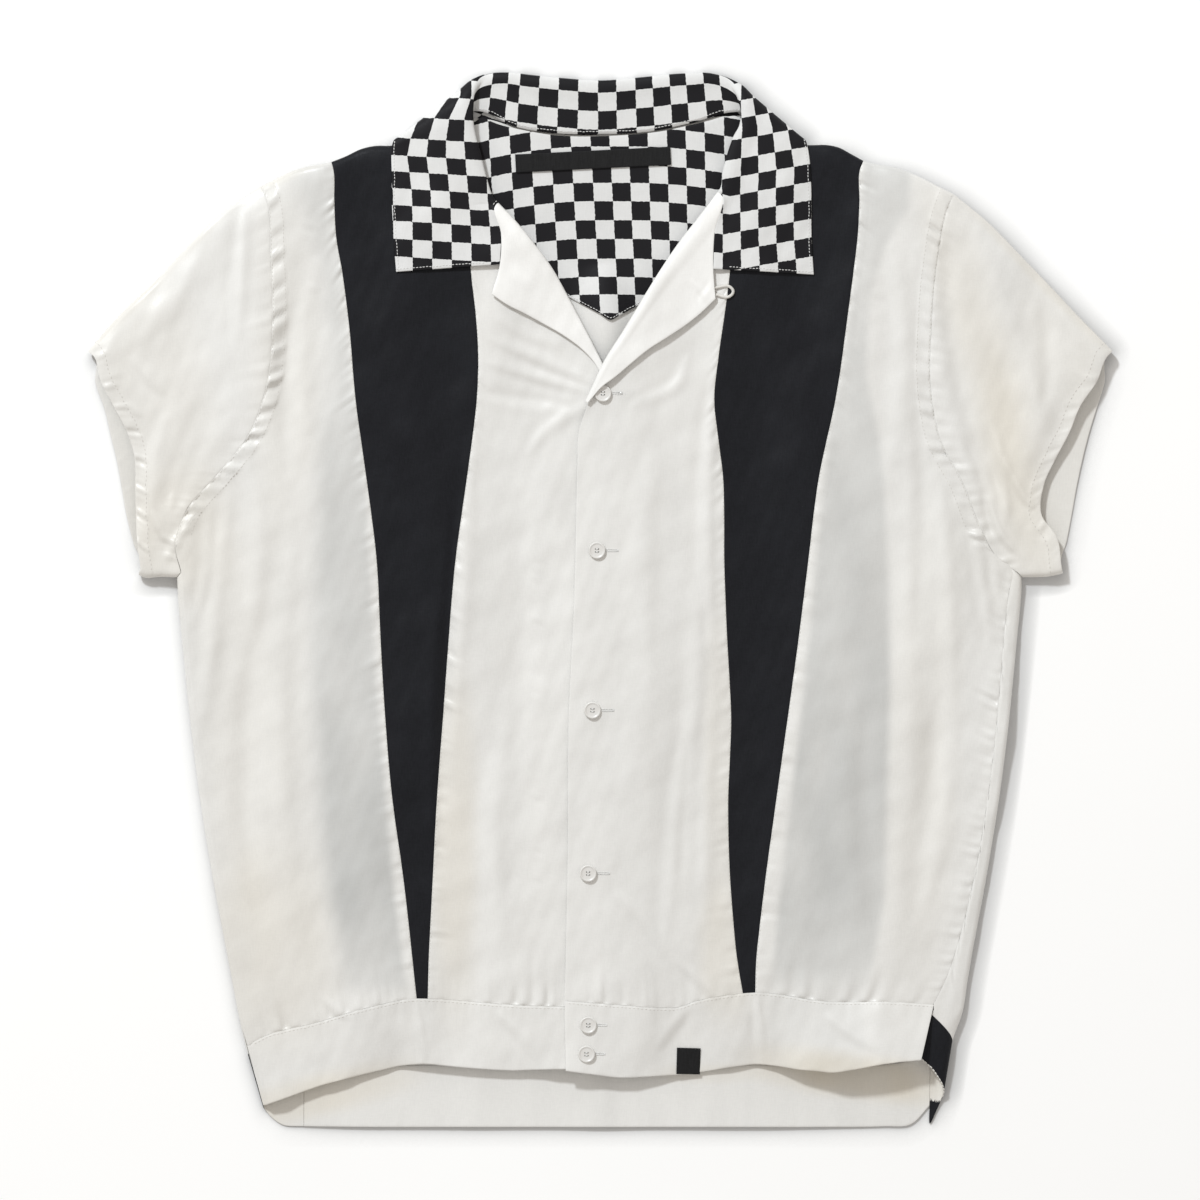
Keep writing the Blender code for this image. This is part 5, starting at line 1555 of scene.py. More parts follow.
def build_weave(sketch: Sketch, start: Sockets) -> dict[str, Value]:
    """Long warp floats crossed by short weft ones. Height for bump, fleck for tone."""
    turned = sketch.add("ShaderNodeMapping", {
        "Vector": start["Place"], "Rotation": (0, 0, radians(WARP_TURN))}).outputs[0]
    warp, weft = start["Warp"], start["Weft"]
    warp_scale = sketch.add("ShaderNodeCombineXYZ", {
        0: warp, 1: sketch.math("MULTIPLY", warp, WARP_STRETCH), 2: warp}).outputs[0]
    weft_scale = sketch.add("ShaderNodeCombineXYZ", {
        0: sketch.math("MULTIPLY", weft, WEFT_STRETCH), 1: weft, 2: weft}).outputs[0]
    floats = sketch.noise(sketch.vector("MULTIPLY", turned, warp_scale), 1.0, 2.0)
    picks = sketch.noise(sketch.vector("MULTIPLY", turned, weft_scale), 1.0, 1.0)
    height = sketch.math("ADD", sketch.math("MULTIPLY", floats[0], WARP_SHARE),
                         sketch.math("MULTIPLY", picks[0], 1.0 - WARP_SHARE))
    return {"Height": height, "Fleck": sketch.spread(height, 0.36, 0.64)}


def build_mottle(sketch: Sketch, start: Sockets) -> dict[str, Value]:
    """Soft uneven tone of worn cloth, 0 to 1, at a given scale."""
    noise = sketch.noise(start["Place"], start["Scale"], 3.0, Roughness=0.55)
    return {"Tone": sketch.spread(noise[0], 0.32, 0.68)}


def build_check(sketch: Sketch, start: Sockets) -> dict[str, Value]:
    """Even squares in two tones, with edges that waver as a woven or printed one does."""
    noise = sketch.noise(start["Place"], CHECK_NOISE, 1.0)
    middle = sketch.vector("SUBTRACT", noise[1], (0.5, 0.5, 0.5))
    flat = sketch.vector("MULTIPLY", middle, (1.0, 1.0, 0.0))
    moved = sketch.vector("ADD", start["Squares"], sketch.scaled(flat, start["Waver"]))
    checker = sketch.add("ShaderNodeTexChecker", {"Vector": moved, "Scale": 1.0})
    return {"Dark": sketch.math("SUBTRACT", 1.0, checker.outputs["Fac"])}


WARP_TURN = 2.0       # degrees from the piece's own length
WARP_STRETCH, WEFT_STRETCH = 0.11, 0.16    # width of a float as a share of its length
WARP_SHARE = 0.62     # of the warp in the relief
CHECK_NOISE = 520.0
WEAVE = Effect("Satin weave", {"Place": VECTOR, "Warp": FLOAT, "Weft": FLOAT},
               ("Height", "Fleck"), build_weave)
MOTTLE = Effect("Mottle", {"Place": VECTOR, "Scale": FLOAT}, ("Tone",), build_mottle)
EVEN_CHECK = Effect("Even check", {"Squares": VECTOR, "Place": VECTOR, "Waver": FLOAT},
                    ("Dark",), build_check)


def opaque(colour: Colour, share: float = 1.0) -> tuple[float, float, float, float]:
    """A colour, or a share of it, with full alpha."""
    return (*(share * part for part in colour), 1.0)


@dataclass(frozen=True)
class Finish:
    """What every finish has: its name and the slot of the part that it dresses."""

    name: str
    slot: str = ""

    def material(self) -> bpy.types.Material:
        """The finish's material, made once."""
        material = bpy.data.materials.get(self.name)
        if material is None:
            material = bpy.data.materials.new(self.name)
            material.use_nodes = True
            sketch = Sketch(material.node_tree)
            sketch.feed(material.node_tree.nodes["Principled BSDF"], self.dress(sketch))
        return material

    def dress(self, sketch: Sketch) -> dict[str, Value]:
        """Builds the material's nodes, and returns what feeds its shader."""
        raise NotImplementedError


@dataclass(frozen=True)
class Satin(Finish):
    """Plain satin: colour, the tan of its painted warm shade, the grey of its tinted strips, its
    painted sheen, and its weave.
    """

    colour: Colour = (0.772, 0.763, 0.741)
    # Tan of the painted warm shade, and grey of the tinted strips.
    warm: Colour = (0.716, 0.665, 0.572)
    cool: Colour = (0.530, 0.533, 0.522)
    fleck: float = 0.05
    mottle: float = 0.02
    mottle_scale: float = 40.0
    streak: float = 0.06         # painted sheen: long soft lighter and darker streaks along the warp, in the colour
    streak_scale: float = 34.0
    streak_stretch: float = 0.16
    roughness: float = 0.40
    uneven: float = 0.12         # of the roughness
    specular: float = 0.5
    sheen: float = 0.05
    sheen_roughness: float = 0.4
    warp: float = 1800.0
    weft: float = 1500.0
    relief: float = 0.25
    depth: float = 0.0002        # of the relief, in metres

    def dress(self, sketch: Sketch) -> dict[str, Value]:
        """Builds the satin's nodes."""
        place = sketch.place()
        parts = sketch.add("ShaderNodeSeparateXYZ", {0: sketch.carried("tones")}).outputs
        weave = sketch.weave(place, self.warp, self.weft)
        drawn = sketch.vector("MULTIPLY", place, (1.0, self.streak_stretch, 1.0))
        # Painted warm shade, then the grey tint, mixed into the colour by the carried tones.
        base = sketch.mix(parts[0], opaque(self.colour), opaque(self.warm))
        base = sketch.mix(parts[1], base, opaque(self.cool))
        tone = sketch.math("ADD", sketch.math("MULTIPLY", weave["Fleck"], self.fleck),
                           sketch.math("MULTIPLY", sketch.mottle(place, self.mottle_scale),
                                       self.mottle))
        # Painted sheen: long streaks along the warp lighten and darken the colour.
        tone = sketch.math("MULTIPLY_ADD", sketch.mottle(drawn, self.streak_scale),
                           self.streak, tone)
        spread = self.fleck + self.mottle + self.streak
        return {
            "Base Color": sketch.scaled(base, sketch.math("SUBTRACT", 1.0 + spread / 2, tone)),
            "Normal": sketch.bump(weave["Height"], self.depth, self.relief),
            "Roughness": sketch.math("MULTIPLY_ADD", weave["Fleck"], self.uneven,
                                     self.roughness - self.uneven / 2),
            "Specular IOR Level": self.specular, "Sheen Weight": self.sheen,
            "Sheen Roughness": self.sheen_roughness}


@dataclass(frozen=True)
class Check(Finish):
    """Satin with an even check."""

    light: Colour = (0.725, 0.725, 0.720)
    dark: Colour = (0.0125, 0.0120, 0.0140)
    waver: float = 0.07
    fleck: float = 0.05
    mottle: float = 0.07
    mottle_scale: float = 40.0
    roughness: float = 0.55
    uneven: float = 0.1
    specular: float = 0.12
    warp: float = 1700.0
    weft: float = 1500.0
    relief: float = 0.3
    depth: float = 0.0002

    def dress(self, sketch: Sketch) -> dict[str, Value]:
        """Builds the check's nodes."""
        place = sketch.place()
        check = sketch.group(shared_group(EVEN_CHECK), {
            "Squares": sketch.carried("squares"), "Place": place, "Waver": self.waver})
        weave = sketch.weave(place, self.warp, self.weft)
        base = sketch.mix(check["Dark"], opaque(self.light), opaque(self.dark))
        tone = sketch.math("ADD", sketch.math("MULTIPLY", weave["Fleck"], self.fleck),
                           sketch.math("MULTIPLY", sketch.mottle(place, self.mottle_scale),
                                       self.mottle))
        shade = sketch.math("SUBTRACT", 1.0 + (self.fleck + self.mottle) / 2, tone)
        return {
            "Base Color": sketch.scaled(base, shade),
            "Normal": sketch.bump(weave["Height"], self.depth, self.relief),
            "Roughness": sketch.math("MULTIPLY_ADD", weave["Fleck"], self.uneven,
                                     self.roughness - self.uneven / 2),
            "Specular IOR Level": self.specular}


@dataclass(frozen=True)
class Pearl(Finish):
    """Milky button plastic, close to the cloth in tone."""

    colour: Colour = (0.715, 0.695, 0.665)
    clouded: Colour = (0.765, 0.755, 0.735)
    cloud_scale: float = 160.0
    roughness: float = 0.2
    uneven: float = 0.08
    specular: float = 0.4
    coat: float = 0.2

    def dress(self, sketch: Sketch) -> dict[str, Value]:
        """Builds the plastic's nodes."""
        cloud = sketch.mottle(sketch.place(), self.cloud_scale)
        return {
            "Base Color": sketch.mix(cloud, opaque(self.colour), opaque(self.clouded)),
            "Roughness": sketch.math("MULTIPLY_ADD", cloud, self.uneven, self.roughness),
            "Specular IOR Level": self.specular, "Coat Weight": self.coat}


@dataclass(frozen=True)
class Thread(Finish):
    """Sewing thread, or cord of the same yarn."""

    colour: Colour = (0.755, 0.735, 0.695)
    darker: float = 0.86         # share of the colour in its darker parts
    mottle_scale: float = 300.0
    roughness: float = 0.6
    specular: float = 0.3
    twist: float = 2600.0
    relief: float = 0.4
    depth: float = 0.00015

    def dress(self, sketch: Sketch) -> dict[str, Value]:
        """Builds the thread's nodes."""
        place = sketch.place()
        weave = sketch.weave(place, self.twist, self.twist)
        return {
            "Base Color": sketch.mix(sketch.mottle(place, self.mottle_scale),
                                     opaque(self.colour), opaque(self.colour, self.darker)),
            "Normal": sketch.bump(weave["Height"], self.depth, self.relief),
            "Roughness": self.roughness, "Specular IOR Level": self.specular}


@dataclass(frozen=True)
class WovenRibbon(Finish):
    """Black woven ribbon with fine cross ribs."""

    colour: Colour = (0.010, 0.010, 0.0105)
    lighter: float = 1.6         # share of the colour in its lighter parts
    warp: float = 1400.0
    weft: float = 2400.0
    rib: float = 900.0
    rib_waver: float = 0.6
    rib_height: float = 0.5
    roughness: float = 0.62
    specular: float = 0.15
    relief: float = 0.4
    depth: float = 0.0002

    def dress(self, sketch: Sketch) -> dict[str, Value]:
        """Builds the ribbon's nodes."""
        place = sketch.place()
        weave = sketch.weave(place, self.warp, self.weft)
        ribs = sketch.add("ShaderNodeTexWave", {
            "Vector": place, "Scale": self.rib, "Distortion": self.rib_waver,
            "Detail": 1.0}, bands_direction="X")
        height = sketch.math("ADD", sketch.math("MULTIPLY", ribs.outputs[1], self.rib_height),
                             weave["Height"])
        return {
            "Base Color": sketch.mix(weave["Fleck"], opaque(self.colour),
                                     opaque(self.colour, self.lighter)),
            "Normal": sketch.bump(height, self.depth, self.relief),
            "Roughness": self.roughness, "Specular IOR Level": self.specular}


@dataclass(frozen=True)
class PaleFloor(Finish):
    """Matt pale floor, with a soft shade painted into its colour beside the shirt, on the side
    away from the key lamp.
    """

    colour: Colour = (0.97, 0.97, 0.97)
    darker: float = 0.99
    mottle_scale: float = 3.0
    glow: float = 0.04
    roughness: float = 0.9
    specular: float = 0.1
    shade_reach: float = 0.0145  # in metres
    shade_from: tuple[float, float, float] = (-0.60, 0.62, 0.50)
    shade_rays: int = 16
    shade_start: float = 0.5     # openness at which the shade is full
    shade_darkest: float = 0.58
    shade_power: float = 2.3

    def dress(self, sketch: Sketch) -> dict[str, Value]:
        """Builds the floor's nodes."""
        colour = sketch.mix(sketch.mottle(sketch.place(), self.mottle_scale),
                            opaque(self.colour), opaque(self.colour, self.darker))
        # Painted shadow: occlusion looked for towards the key lamp darkens the floor's colour
        # beside the shirt.
        towards = sketch.add("ShaderNodeCombineXYZ", dict(enumerate(self.shade_from)))
        near = sketch.add("ShaderNodeAmbientOcclusion", {
            "Distance": self.shade_reach, "Normal": towards.outputs[0]},
            samples=self.shade_rays)
        light = sketch.math("POWER", sketch.spread(near.outputs["AO"], self.shade_start),
                            self.shade_power)
        light = sketch.math("MULTIPLY_ADD", light, 1.0 - self.shade_darkest,
                            self.shade_darkest)
        return {
            "Base Color": sketch.scaled(colour, light), "Roughness": self.roughness,
            "Specular IOR Level": self.specular,
            "Emission Color": opaque((1.0, 1.0, 1.0)), "Emission Strength": self.glow}


CREAM = Satin("cream_satin", "off_white_satin")
# Lighter copy of the cream satin for the lapels: painted light, for the extra light that the
# turned-back lapels catch.
LIT_FACING = Satin("facing_satin", "off_white_satin", colour=(0.885, 0.877, 0.858))
BLACK = Satin("black_silk", "black_satin", colour=(0.0110, 0.0116, 0.0145),
              warm=(0.0110, 0.0116, 0.0145), cool=(0.0110, 0.0116, 0.0145), fleck=0.35,
              mottle=0.15, streak=0.1, roughness=0.52, specular=0.13, sheen=0.0, relief=0.35)
CHECK = Check("check_cloth", "check_satin")
PEARL = Pearl("pearl_button", "pearl_plastic")
THREAD = Thread("cream_thread", "off_white_cord")
WHITE_THREAD = Thread("white_thread", "off_white_cord", colour=(0.80, 0.80, 0.79))
RIBBON_FINISH = WovenRibbon("black_woven_ribbon", "black_ribbon")
FLOOR = PaleFloor("pale_floor")


def back_height(x: Array, y: Array) -> Array:
    """Middle of the back cloth, lifted over the collar's fall."""
    along = np.clip((y - FALL_LIFT_FROM) / (FALL_LIFT_TO - FALL_LIFT_FROM), 0.0, 1.0)
    across = smooth_step((FALL_HALF_WIDTH + FALL_LIFT_RUN - np.abs(x)) / FALL_LIFT_RUN)
    return BACK_Z + LAYER * along * across


def front_height(side: int, x: Array, y: Array) -> Array:
    """Middle of the front cloth: the buttonhole side laps over, the button side sinks."""
    if side > 0:
        return FRONT_Z + LAP_LIFT * smooth_step((LAP_START - x) / (LAP_START - LAP_FLAT))
    return FRONT_Z - SINK * (smooth_step((x - SINK_X) / SINK_RUN)
                             * smooth_step((y - SINK_Y) / SINK_RUN))


def fold_points(edge: Array, normal: Array, start: float, stop: float, steps: int,
                low: float | None = None) -> Array:
    """Points round a folded edge, angles in degrees: 90 on top, 0 at the edge, -90 below."""
    points = []
    for angle in np.linspace(start, stop, steps + 1):
        a = radians(angle)
        plan = np.asarray(edge)[:2] - np.asarray(normal) * FOLD * (1 - cos(a))
        reach = FOLD if angle >= 0 or low is None else FOLD_Z - low
        points.append((*plan, FOLD_Z + reach * sin(a)))
    return np.array(points)


def side_edge(side: int, bottom: Sequence) -> tuple[Array, Array]:
    """Folded side edge from the waistband to the underarm, with its outward normals."""
    rows = [(getattr(row, side_of(side)), row.height) for row in SIDES if row.height > bottom[1]]
    edge = spline([bottom[:2], *rows, UNDERARM[side]], BODY_ROWS)
    normals = outward(edge, side)
    normals[-1] = np.array([side, -1.0]) / 2**0.5
    return edge, normals


def shoulder_edge(side: int, start: float, stop: float, steps: int) -> tuple[Array, Array]:
    """Stretch of the shoulder fold between two places across, with its outward normals."""
    fine = spline(SHOULDER[side], SHOULDER_STEPS)
    order = np.argsort(fine[:, 0])
    normals = outward(fine, side)
    x = np.linspace(start, stop, steps + 1)
    y, nx, ny = (np.interp(x, fine[order, 0], values[order])
                 for values in (fine[:, 1], normals[:, 0], normals[:, 1]))
    return np.column_stack([x, y]), np.column_stack([nx, ny])


def over_shoulder(edge: Array, normals: Array, start: float, stop: float,
                  low: Array | None = None) -> Array:
    """Rows that turn over the shoulder fold, one for each angle."""
    columns = []
    for k, (point, normal) in enumerate(zip(edge, normals)):
        below = None if low is None else low[k]
        columns.append(fold_points(point, normal, start, stop, FOLD_STEPS, below))
    return np.stack(columns, axis=1)


def side_of(side: int) -> str:
    """Name of a side in the tables."""
    return "left" if side > 0 else "right"


def inset_seam(side: int, which: str) -> Array:
    """One seam of an inset from the waistband to the shoulder fold or the neck."""
    rows = [(getattr(row, f"{side_of(side)}_{which}"), row.height) for row in INSETS]
    if which == "inner":
        neck = np.array(NECK[side][NECK_TO_INSET:])
        seam = spline([*rows, neck[0]], BODY_ROWS + ARMHOLE_ROWS - len(neck))
        return np.vstack([seam, neck[1:], neck[-1:]])
    top, normal = shoulder_edge(side, rows[-1][0], rows[-1][0] - side * 0.1, 1)
    return spline([*rows[:-1], top[0] - normal[0] * FOLD], BODY_ROWS + ARMHOLE_ROWS)


def left_seam() -> Array:
    """The side seam that shows on the wearer's left, from the waistband to the underarm."""
    rows = [(row.left_seam, row.height) for row in SIDES if row.height > SEAM_FOOT[1]]
    return spline([SEAM_FOOT, *rows, SEAM_HEAD], BODY_ROWS)


def on_band(side: int, start: float, stop: float, steps: int) -> Array:
    """Points of the waistband's seam between two places across."""
    fine = spline([(row.seam_x, row.seam_y, row.lift) for row in BAND[side]], CURVE_STEPS)
    order = np.argsort(fine[:, 0])
    x = np.linspace(start, stop, steps + 1)
    return np.column_stack([x, np.interp(x, fine[order, 0], fine[order, 1])])


def tip(side: int) -> tuple[Array, Array]:
    """The shoulder tip, where sleeve, front and back meet on the fold."""
    edge, normals = shoulder_edge(side, SHOULDER[side][0][0], SHOULDER[side][1][0], 1)
    return edge[0], normals[0]


def armhole(side: int, table: dict[int, tuple]) -> Array:
    """An armhole from the underarm to the fold at the shoulder tip."""
    point, normal = tip(side)
    return spline([*table[side], point - normal * FOLD], ARMHOLE_ROWS, ARMHOLE_EASE)


def side_front(side: int) -> list[Array]:
    """Side front: inset seam to side, waistband to shoulder."""
    inner = inset_seam(side, "outer")
    edge, normals = side_edge(side, BAND[side][0])
    outer = left_seam() if side > 0 else edge - normals * FOLD
    outer = np.vstack([outer, armhole(side, ARMHOLE)[1:]])
    bottom = on_band(side, outer[0, 0], inner[0, 0], SIDE_COLUMNS)
    outer[0], inner[0] = bottom[0], bottom[-1]
    top, top_normals = shoulder_edge(side, tip(side)[0][0], inset_top(side), SIDE_COLUMNS)
    tangent = top - top_normals * FOLD
    outer[-1], inner[-1] = tangent[0], tangent[-1]
    main = raised(coons(bottom, tangent, outer, inner), FRONT_Z)
    grid = np.vstack([main, over_shoulder(top, top_normals, 90, EDGE_ANGLE)[1:]])
    if side > 0:
        return [draw_back(grid, Line.FIRST_ROW, Line.FIRST_COLUMN, Line.LAST_COLUMN)]
    draw_back(grid, Line.FIRST_ROW, Line.LAST_COLUMN)
    draw_back(grid[BODY_ROWS + 1:], Line.FIRST_COLUMN)
    fold = np.array([fold_points(*pair, 90, EDGE_ANGLE, FOLD_STEPS)
                     for pair in zip(edge, normals)])
    draw_back(fold, Line.FIRST_ROW)
    draw_back(fold, Line.LAST_ROW, by=CORNER_SEAM)
    fold[:, 0] = grid[:BODY_ROWS + 1, 0]
    return [grid, fold]


def inset_top(side: int) -> float:
    """Where an inset's outer seam meets the shoulder, across."""
    return getattr(INSETS[-1], f"{side_of(side)}_outer")


def inset(side: int) -> Array:
    """Black inset: waistband point to shoulder."""
    outer, inner = inset_seam(side, "outer"), inset_seam(side, "inner")
    bottom = on_band(side, outer[0, 0], inner[0, 0], INSET_COLUMNS)
    outer[0], inner[0] = bottom[0], bottom[-1]
    top, normals = shoulder_edge(side, inset_top(side), SHOULDER[side][-1][0], INSET_COLUMNS)
    tangent = top - normals * FOLD
    outer[-1], inner[-1] = tangent[0], tangent[-1]
    main = raised(coons(bottom, tangent, outer, inner), FRONT_Z)
    grid = np.vstack([main, over_shoulder(top, normals, 90, EDGE_ANGLE)[1:]])
    return draw_back(grid, Line.FIRST_ROW, Line.FIRST_COLUMN, Line.LAST_COLUMN)


def lapel_line(side: int, which: str) -> Array:
    """The roll or the edge of a lapel as plan points."""
    return np.array([(getattr(row, f"{which}_x"), getattr(row, f"{which}_y"))
                     for row in LAPELS[side]])


def roll_normals(side: int) -> Array:
    """Unit plan normals of the roll line, towards the neck opening."""
    return -outward(lapel_line(side, "roll"), -side)


def centre_front(side: int) -> Array:
    """Centre front: inset seam to front edge, waistband to neck and roll line."""
    roll = lapel_line(side, "roll")
    curl = np.array([row.curl for row in LAPELS[side]])[:, None]
    tangent = roll - roll_normals(side) * (curl + ROLL_SEAM)
    neck = np.array(NECK[side][1:NECK_TO_INSET + 1])[::-1]
    top = np.vstack([neck, tangent])
    inner = inset_seam(side, "inner")[:NECK_TO_INSET - len(NECK[side])]
    edge = spline(FRONT_EDGE[side], len(inner) - 1)
    edge[-1] = top[-1]
    bottom = on_band(side, inner[0, 0], edge[0, 0], len(top) - 1)
    inner[0], edge[0] = bottom[0], bottom[-1]
    plan = coons(bottom, top, inner, edge)
    grid = raised(plan, front_height(side, plan[..., 0], plan[..., 1]))
    draw_back(grid, Line.FIRST_ROW, Line.FIRST_COLUMN)
    draw_back(grid[:, :len(neck) + 1], Line.LAST_ROW)
    return grid


def facing(side: int) -> Array:
    """Facing that shows as the lapel: up from the front, over the roll and out to its edge."""
    roll = lapel_line(side, "roll")
    edge = lapel_line(side, "edge")
    rows = []
    for point, normal, end, row in zip(roll, roll_normals(side), edge, LAPELS[side]):
        base = front_height(side, point[0], point[1])
        centre = point - normal * row.curl
        section = []
        for angle in np.linspace(LAPEL_FOOT_ANGLE, 90.0, TURN_STEPS + 1):
            a = radians(angle)
            plan = centre + normal * row.curl * cos(a)
            section.append((*plan, base + row.curl + row.curl * sin(a)))
        top = np.array(section[-1])
        last = np.array((*end, row.edge_z))
        section += [top + (last - top) * t for t in (1 / 3, 2 / 3, 1.0)]
        rows.append(section)
    grid = np.array(rows)
    for k, point in enumerate((*GORGE[side], LAPEL_CORNER[side])):
        grid[0, TURN_STEPS + 1 + k] = (*point, LEAF_TOP_Z)
    draw_back(grid[:, :-1], Line.FIRST_ROW)
    return grid


def front_band(side: int) -> list[Array]:
    """Front waistband: seam to hem, from the side to the front edge."""
    start = BAND[side][0].seam_x
    if side < 0:
        edge, normals = side_edge(side, BAND[side][0])
        start = edge[0, 0] - normals[0, 0] * FOLD
    places = [start, *(getattr(INSETS[0], f"{side_of(side)}_{which}")
                       for which in ("outer", "inner")), BAND[side][-1].seam_x]
    steps = (SIDE_COLUMNS, INSET_COLUMNS, len(LAPELS[side]) + NECK_TO_INSET - 1)
    parts = [on_band(side, *part) for part in zip(places, places[1:], steps)]
    seam = np.vstack([parts[0], parts[1][1:], parts[2][1:]])
    seam_x, _, *hem_table = np.array(sorted(BAND[side])).T
    hem = np.column_stack([np.interp(seam[:, 0], seam_x, values) for values in hem_table])
    grid = []
    for t in np.linspace(0.0, 1.0, BAND_ROWS + 1):
        plan = seam + (hem[:, :2] - seam) * t
        lift = hem[:, 2] * t
        if side > 0:
            lift = lift + front_height(side, plan[:, 0], plan[:, 1]) - FRONT_Z
        grid.append(raised(plan, FRONT_Z + lift))
    grid = draw_back(np.array(grid), Line.FIRST_ROW)
    if side > 0:
        return [draw_back(grid, Line.FIRST_COLUMN)]
    corner = np.array(BAND[side][0][:4])
    run = corner[2:] - corner[:2]
    normal = np.array([-run[1], run[0]]) / np.linalg.norm(run)
    normal *= -1.0 if normal[0] > 0 else 1.0
    fold = []
    for k, t in enumerate(np.linspace(0.0, 1.0, BAND_ROWS + 1)):
        strip = fold_points(corner[:2] + run * t, normal, 90, EDGE_ANGLE, FOLD_STEPS)
        strip[0] = grid[k, 0]
        fold.append(strip)
    fold = np.array(fold)
    draw_back(fold, Line.FIRST_ROW)
    fold[:, 0] = grid[:, 0]
    return [grid, fold]


def foot(side: int) -> Array:
    """The back's lower edge round its folded side, from the bottom layer up."""
    rows = SIDE_TABS[side][:FOOT_POINTS[side]]
    return np.array([(row.top_x, row.top_y, row.height) for row in rows])[::-1]


def back_seam(x: Array) -> Array:
    """Height of the seam between back and waistband at a place across."""
    table = [(row.seam_x, row.seam_y) for row in BACK_BAND]
    table = np.array([foot(-1)[0, :2], *table, foot(1)[0, :2]])
    return np.interp(x, table[:, 0], table[:, 1])


def back_side(side: int) -> tuple[Array, Array]:
    """One side of the back: its flat part up to the shoulder fold, and its folded side."""
    edge, normals = side_edge(side, foot(side)[-1 if side < 0 else FOLD_STEPS, :2])
    outer = np.vstack([edge - normals * FOLD, armhole(side, BACK_ARMHOLE)[1:]])
    neck_x = SHOULDER[side][-1][0]
    top, top_normals = shoulder_edge(side, tip(side)[0][0], neck_x, BACK_SIDE_COLUMNS)
    tangent = top - top_normals * FOLD
    outer[0], outer[-1] = foot(side)[0, :2], tangent[0]
    guide_foot = side * BACK_GUIDE
    guide = np.linspace((guide_foot, back_seam(guide_foot)), tangent[-1], len(outer))
    bottom_x = np.linspace(outer[0, 0], guide_foot, BACK_SIDE_COLUMNS + 1)
    bottom = np.column_stack([bottom_x, back_seam(bottom_x)])
    plan = coons(bottom, tangent, outer, guide)
    flat = raised(plan, back_height(plan[..., 0], plan[..., 1]))
    turned = over_shoulder(top, top_normals, -90, -EDGE_ANGLE, flat[-1, :, 2])
    grid = np.vstack([flat, turned[1:]])
    draw_back(grid, Line.FIRST_ROW)
    draw_back(grid[BODY_ROWS + 1:], Line.FIRST_COLUMN)
    draw_back(grid[-FOLD_STEPS:], Line.LAST_COLUMN)
    stop, steps = (-EDGE_ANGLE, FOLD_STEPS) if side < 0 else (90, 2 * FOLD_STEPS)
    fold = np.array([fold_points(*pair, -90, stop, steps) for pair in zip(edge, normals)])
    if side > 0:
        seam = left_seam() + (2 * SEAM, 0.0)
        fold = np.concatenate([fold, raised(seam, FRONT_Z)[:, None]], axis=1)
    fold[0] = foot(side)
    draw_back(fold, Line.FIRST_ROW)
    draw_back(fold, Line.LAST_ROW, by=CORNER_SEAM)
    fold[:, 0] = grid[:BODY_ROWS + 1, 0]
    return grid, fold


def back() -> list[Array]:
    """Back: waistband to neck and shoulders, round the wearer's left side to its seam."""
    right, right_fold = back_side(-1)
    left, left_fold = back_side(1)
    rows = BODY_ROWS + ARMHOLE_ROWS + 1
    guides = right[:rows, -1], left[:rows, -1]
    bottom_x = np.linspace(-BACK_GUIDE, BACK_GUIDE, BACK_COLUMNS + 1)
    bottom = np.column_stack([bottom_x, back_seam(bottom_x)])
    neck = spline(BACK_NECK, BACK_COLUMNS) - (0.0, 2 * SEAM)
    neck[0], neck[-1] = guides[0][-1, :2], guides[1][-1, :2]
    plan = coons(bottom, neck, guides[0][:, :2], guides[1][:, :2])
    middle = raised(plan, back_height(plan[..., 0], plan[..., 1]))
    draw_back(middle[:, 1:-1], Line.FIRST_ROW)
    middle[:, 0], middle[:, -1] = guides
    return [right, right_fold, left, left_fold, middle]


def yoke() -> Array:
    """Inner yoke, lying on the back: pointed at the bottom, cut to the neck at the top."""
    x = np.linspace(-YOKE_HALF_WIDTH, YOKE_HALF_WIDTH, YOKE_COLUMNS + 1)
    x[np.argmin(np.abs(x - YOKE_POINT[0]))] = YOKE_POINT[0]
    neck = spline(BACK_NECK, NECK_STEPS)
    shoulder = {side: spline(SHOULDER[side], SHOULDER_STEPS)[::-side] for side in (-1, 1)}
    inside = np.interp(x, neck[:, 0], neck[:, 1]) - YOKE_SEAM
    right, left = (np.interp(x, *shoulder[side].T) - FOLD - YOKE_SHOULDER for side in (-1, 1))
    at_neck = ((x > SHOULDER[-1][-1][0] + YOKE_NECK_END)
               & (x < SHOULDER[1][-1][0] - YOKE_NECK_END))
    top = np.where(at_neck, inside, np.where(x < 0, right, left))
    depth = np.abs(x - YOKE_POINT[0]) / YOKE_HALF_WIDTH
    low = YOKE_POINT[1] + (YOKE_SIDE_Y - YOKE_POINT[1]) * np.minimum(depth, 1.0)
    rows = []
    for t in np.linspace(0.0, 1.0, YOKE_ROWS + 1):
        y = low + (top - low) * t
        rows.append(np.column_stack([x, y, back_height(x, y) + YOKE_Z]))
    return np.array(rows)


def steps_to(first: Array, last: Array, shares: Sequence[float]) -> list[Array]:
    """Points at shares of the way from one point to another."""
    return [first + (last - first) * t for t in shares]


def leaf_section(leaf: Leaf, side: int) -> list[Array]:
    """A collar section that lies flat, from its outer edge to the edge sewn to the lapel."""
    last = np.array((leaf.inner[0] + side * 2 * SEAM, leaf.inner[1], LEAF_TOP_Z))
    first = np.array((*leaf.outer, LEAF_EDGE_Z))
    steps = TURN_STEPS + STAND_COLUMNS
    flat = 1.0 - LEAF_MARGIN
    places = [*np.linspace(0.0, flat, FALL_COLUMNS + 1), *np.linspace(flat, 1.0, steps + 1)[1:]]
    return steps_to(first, last, places)


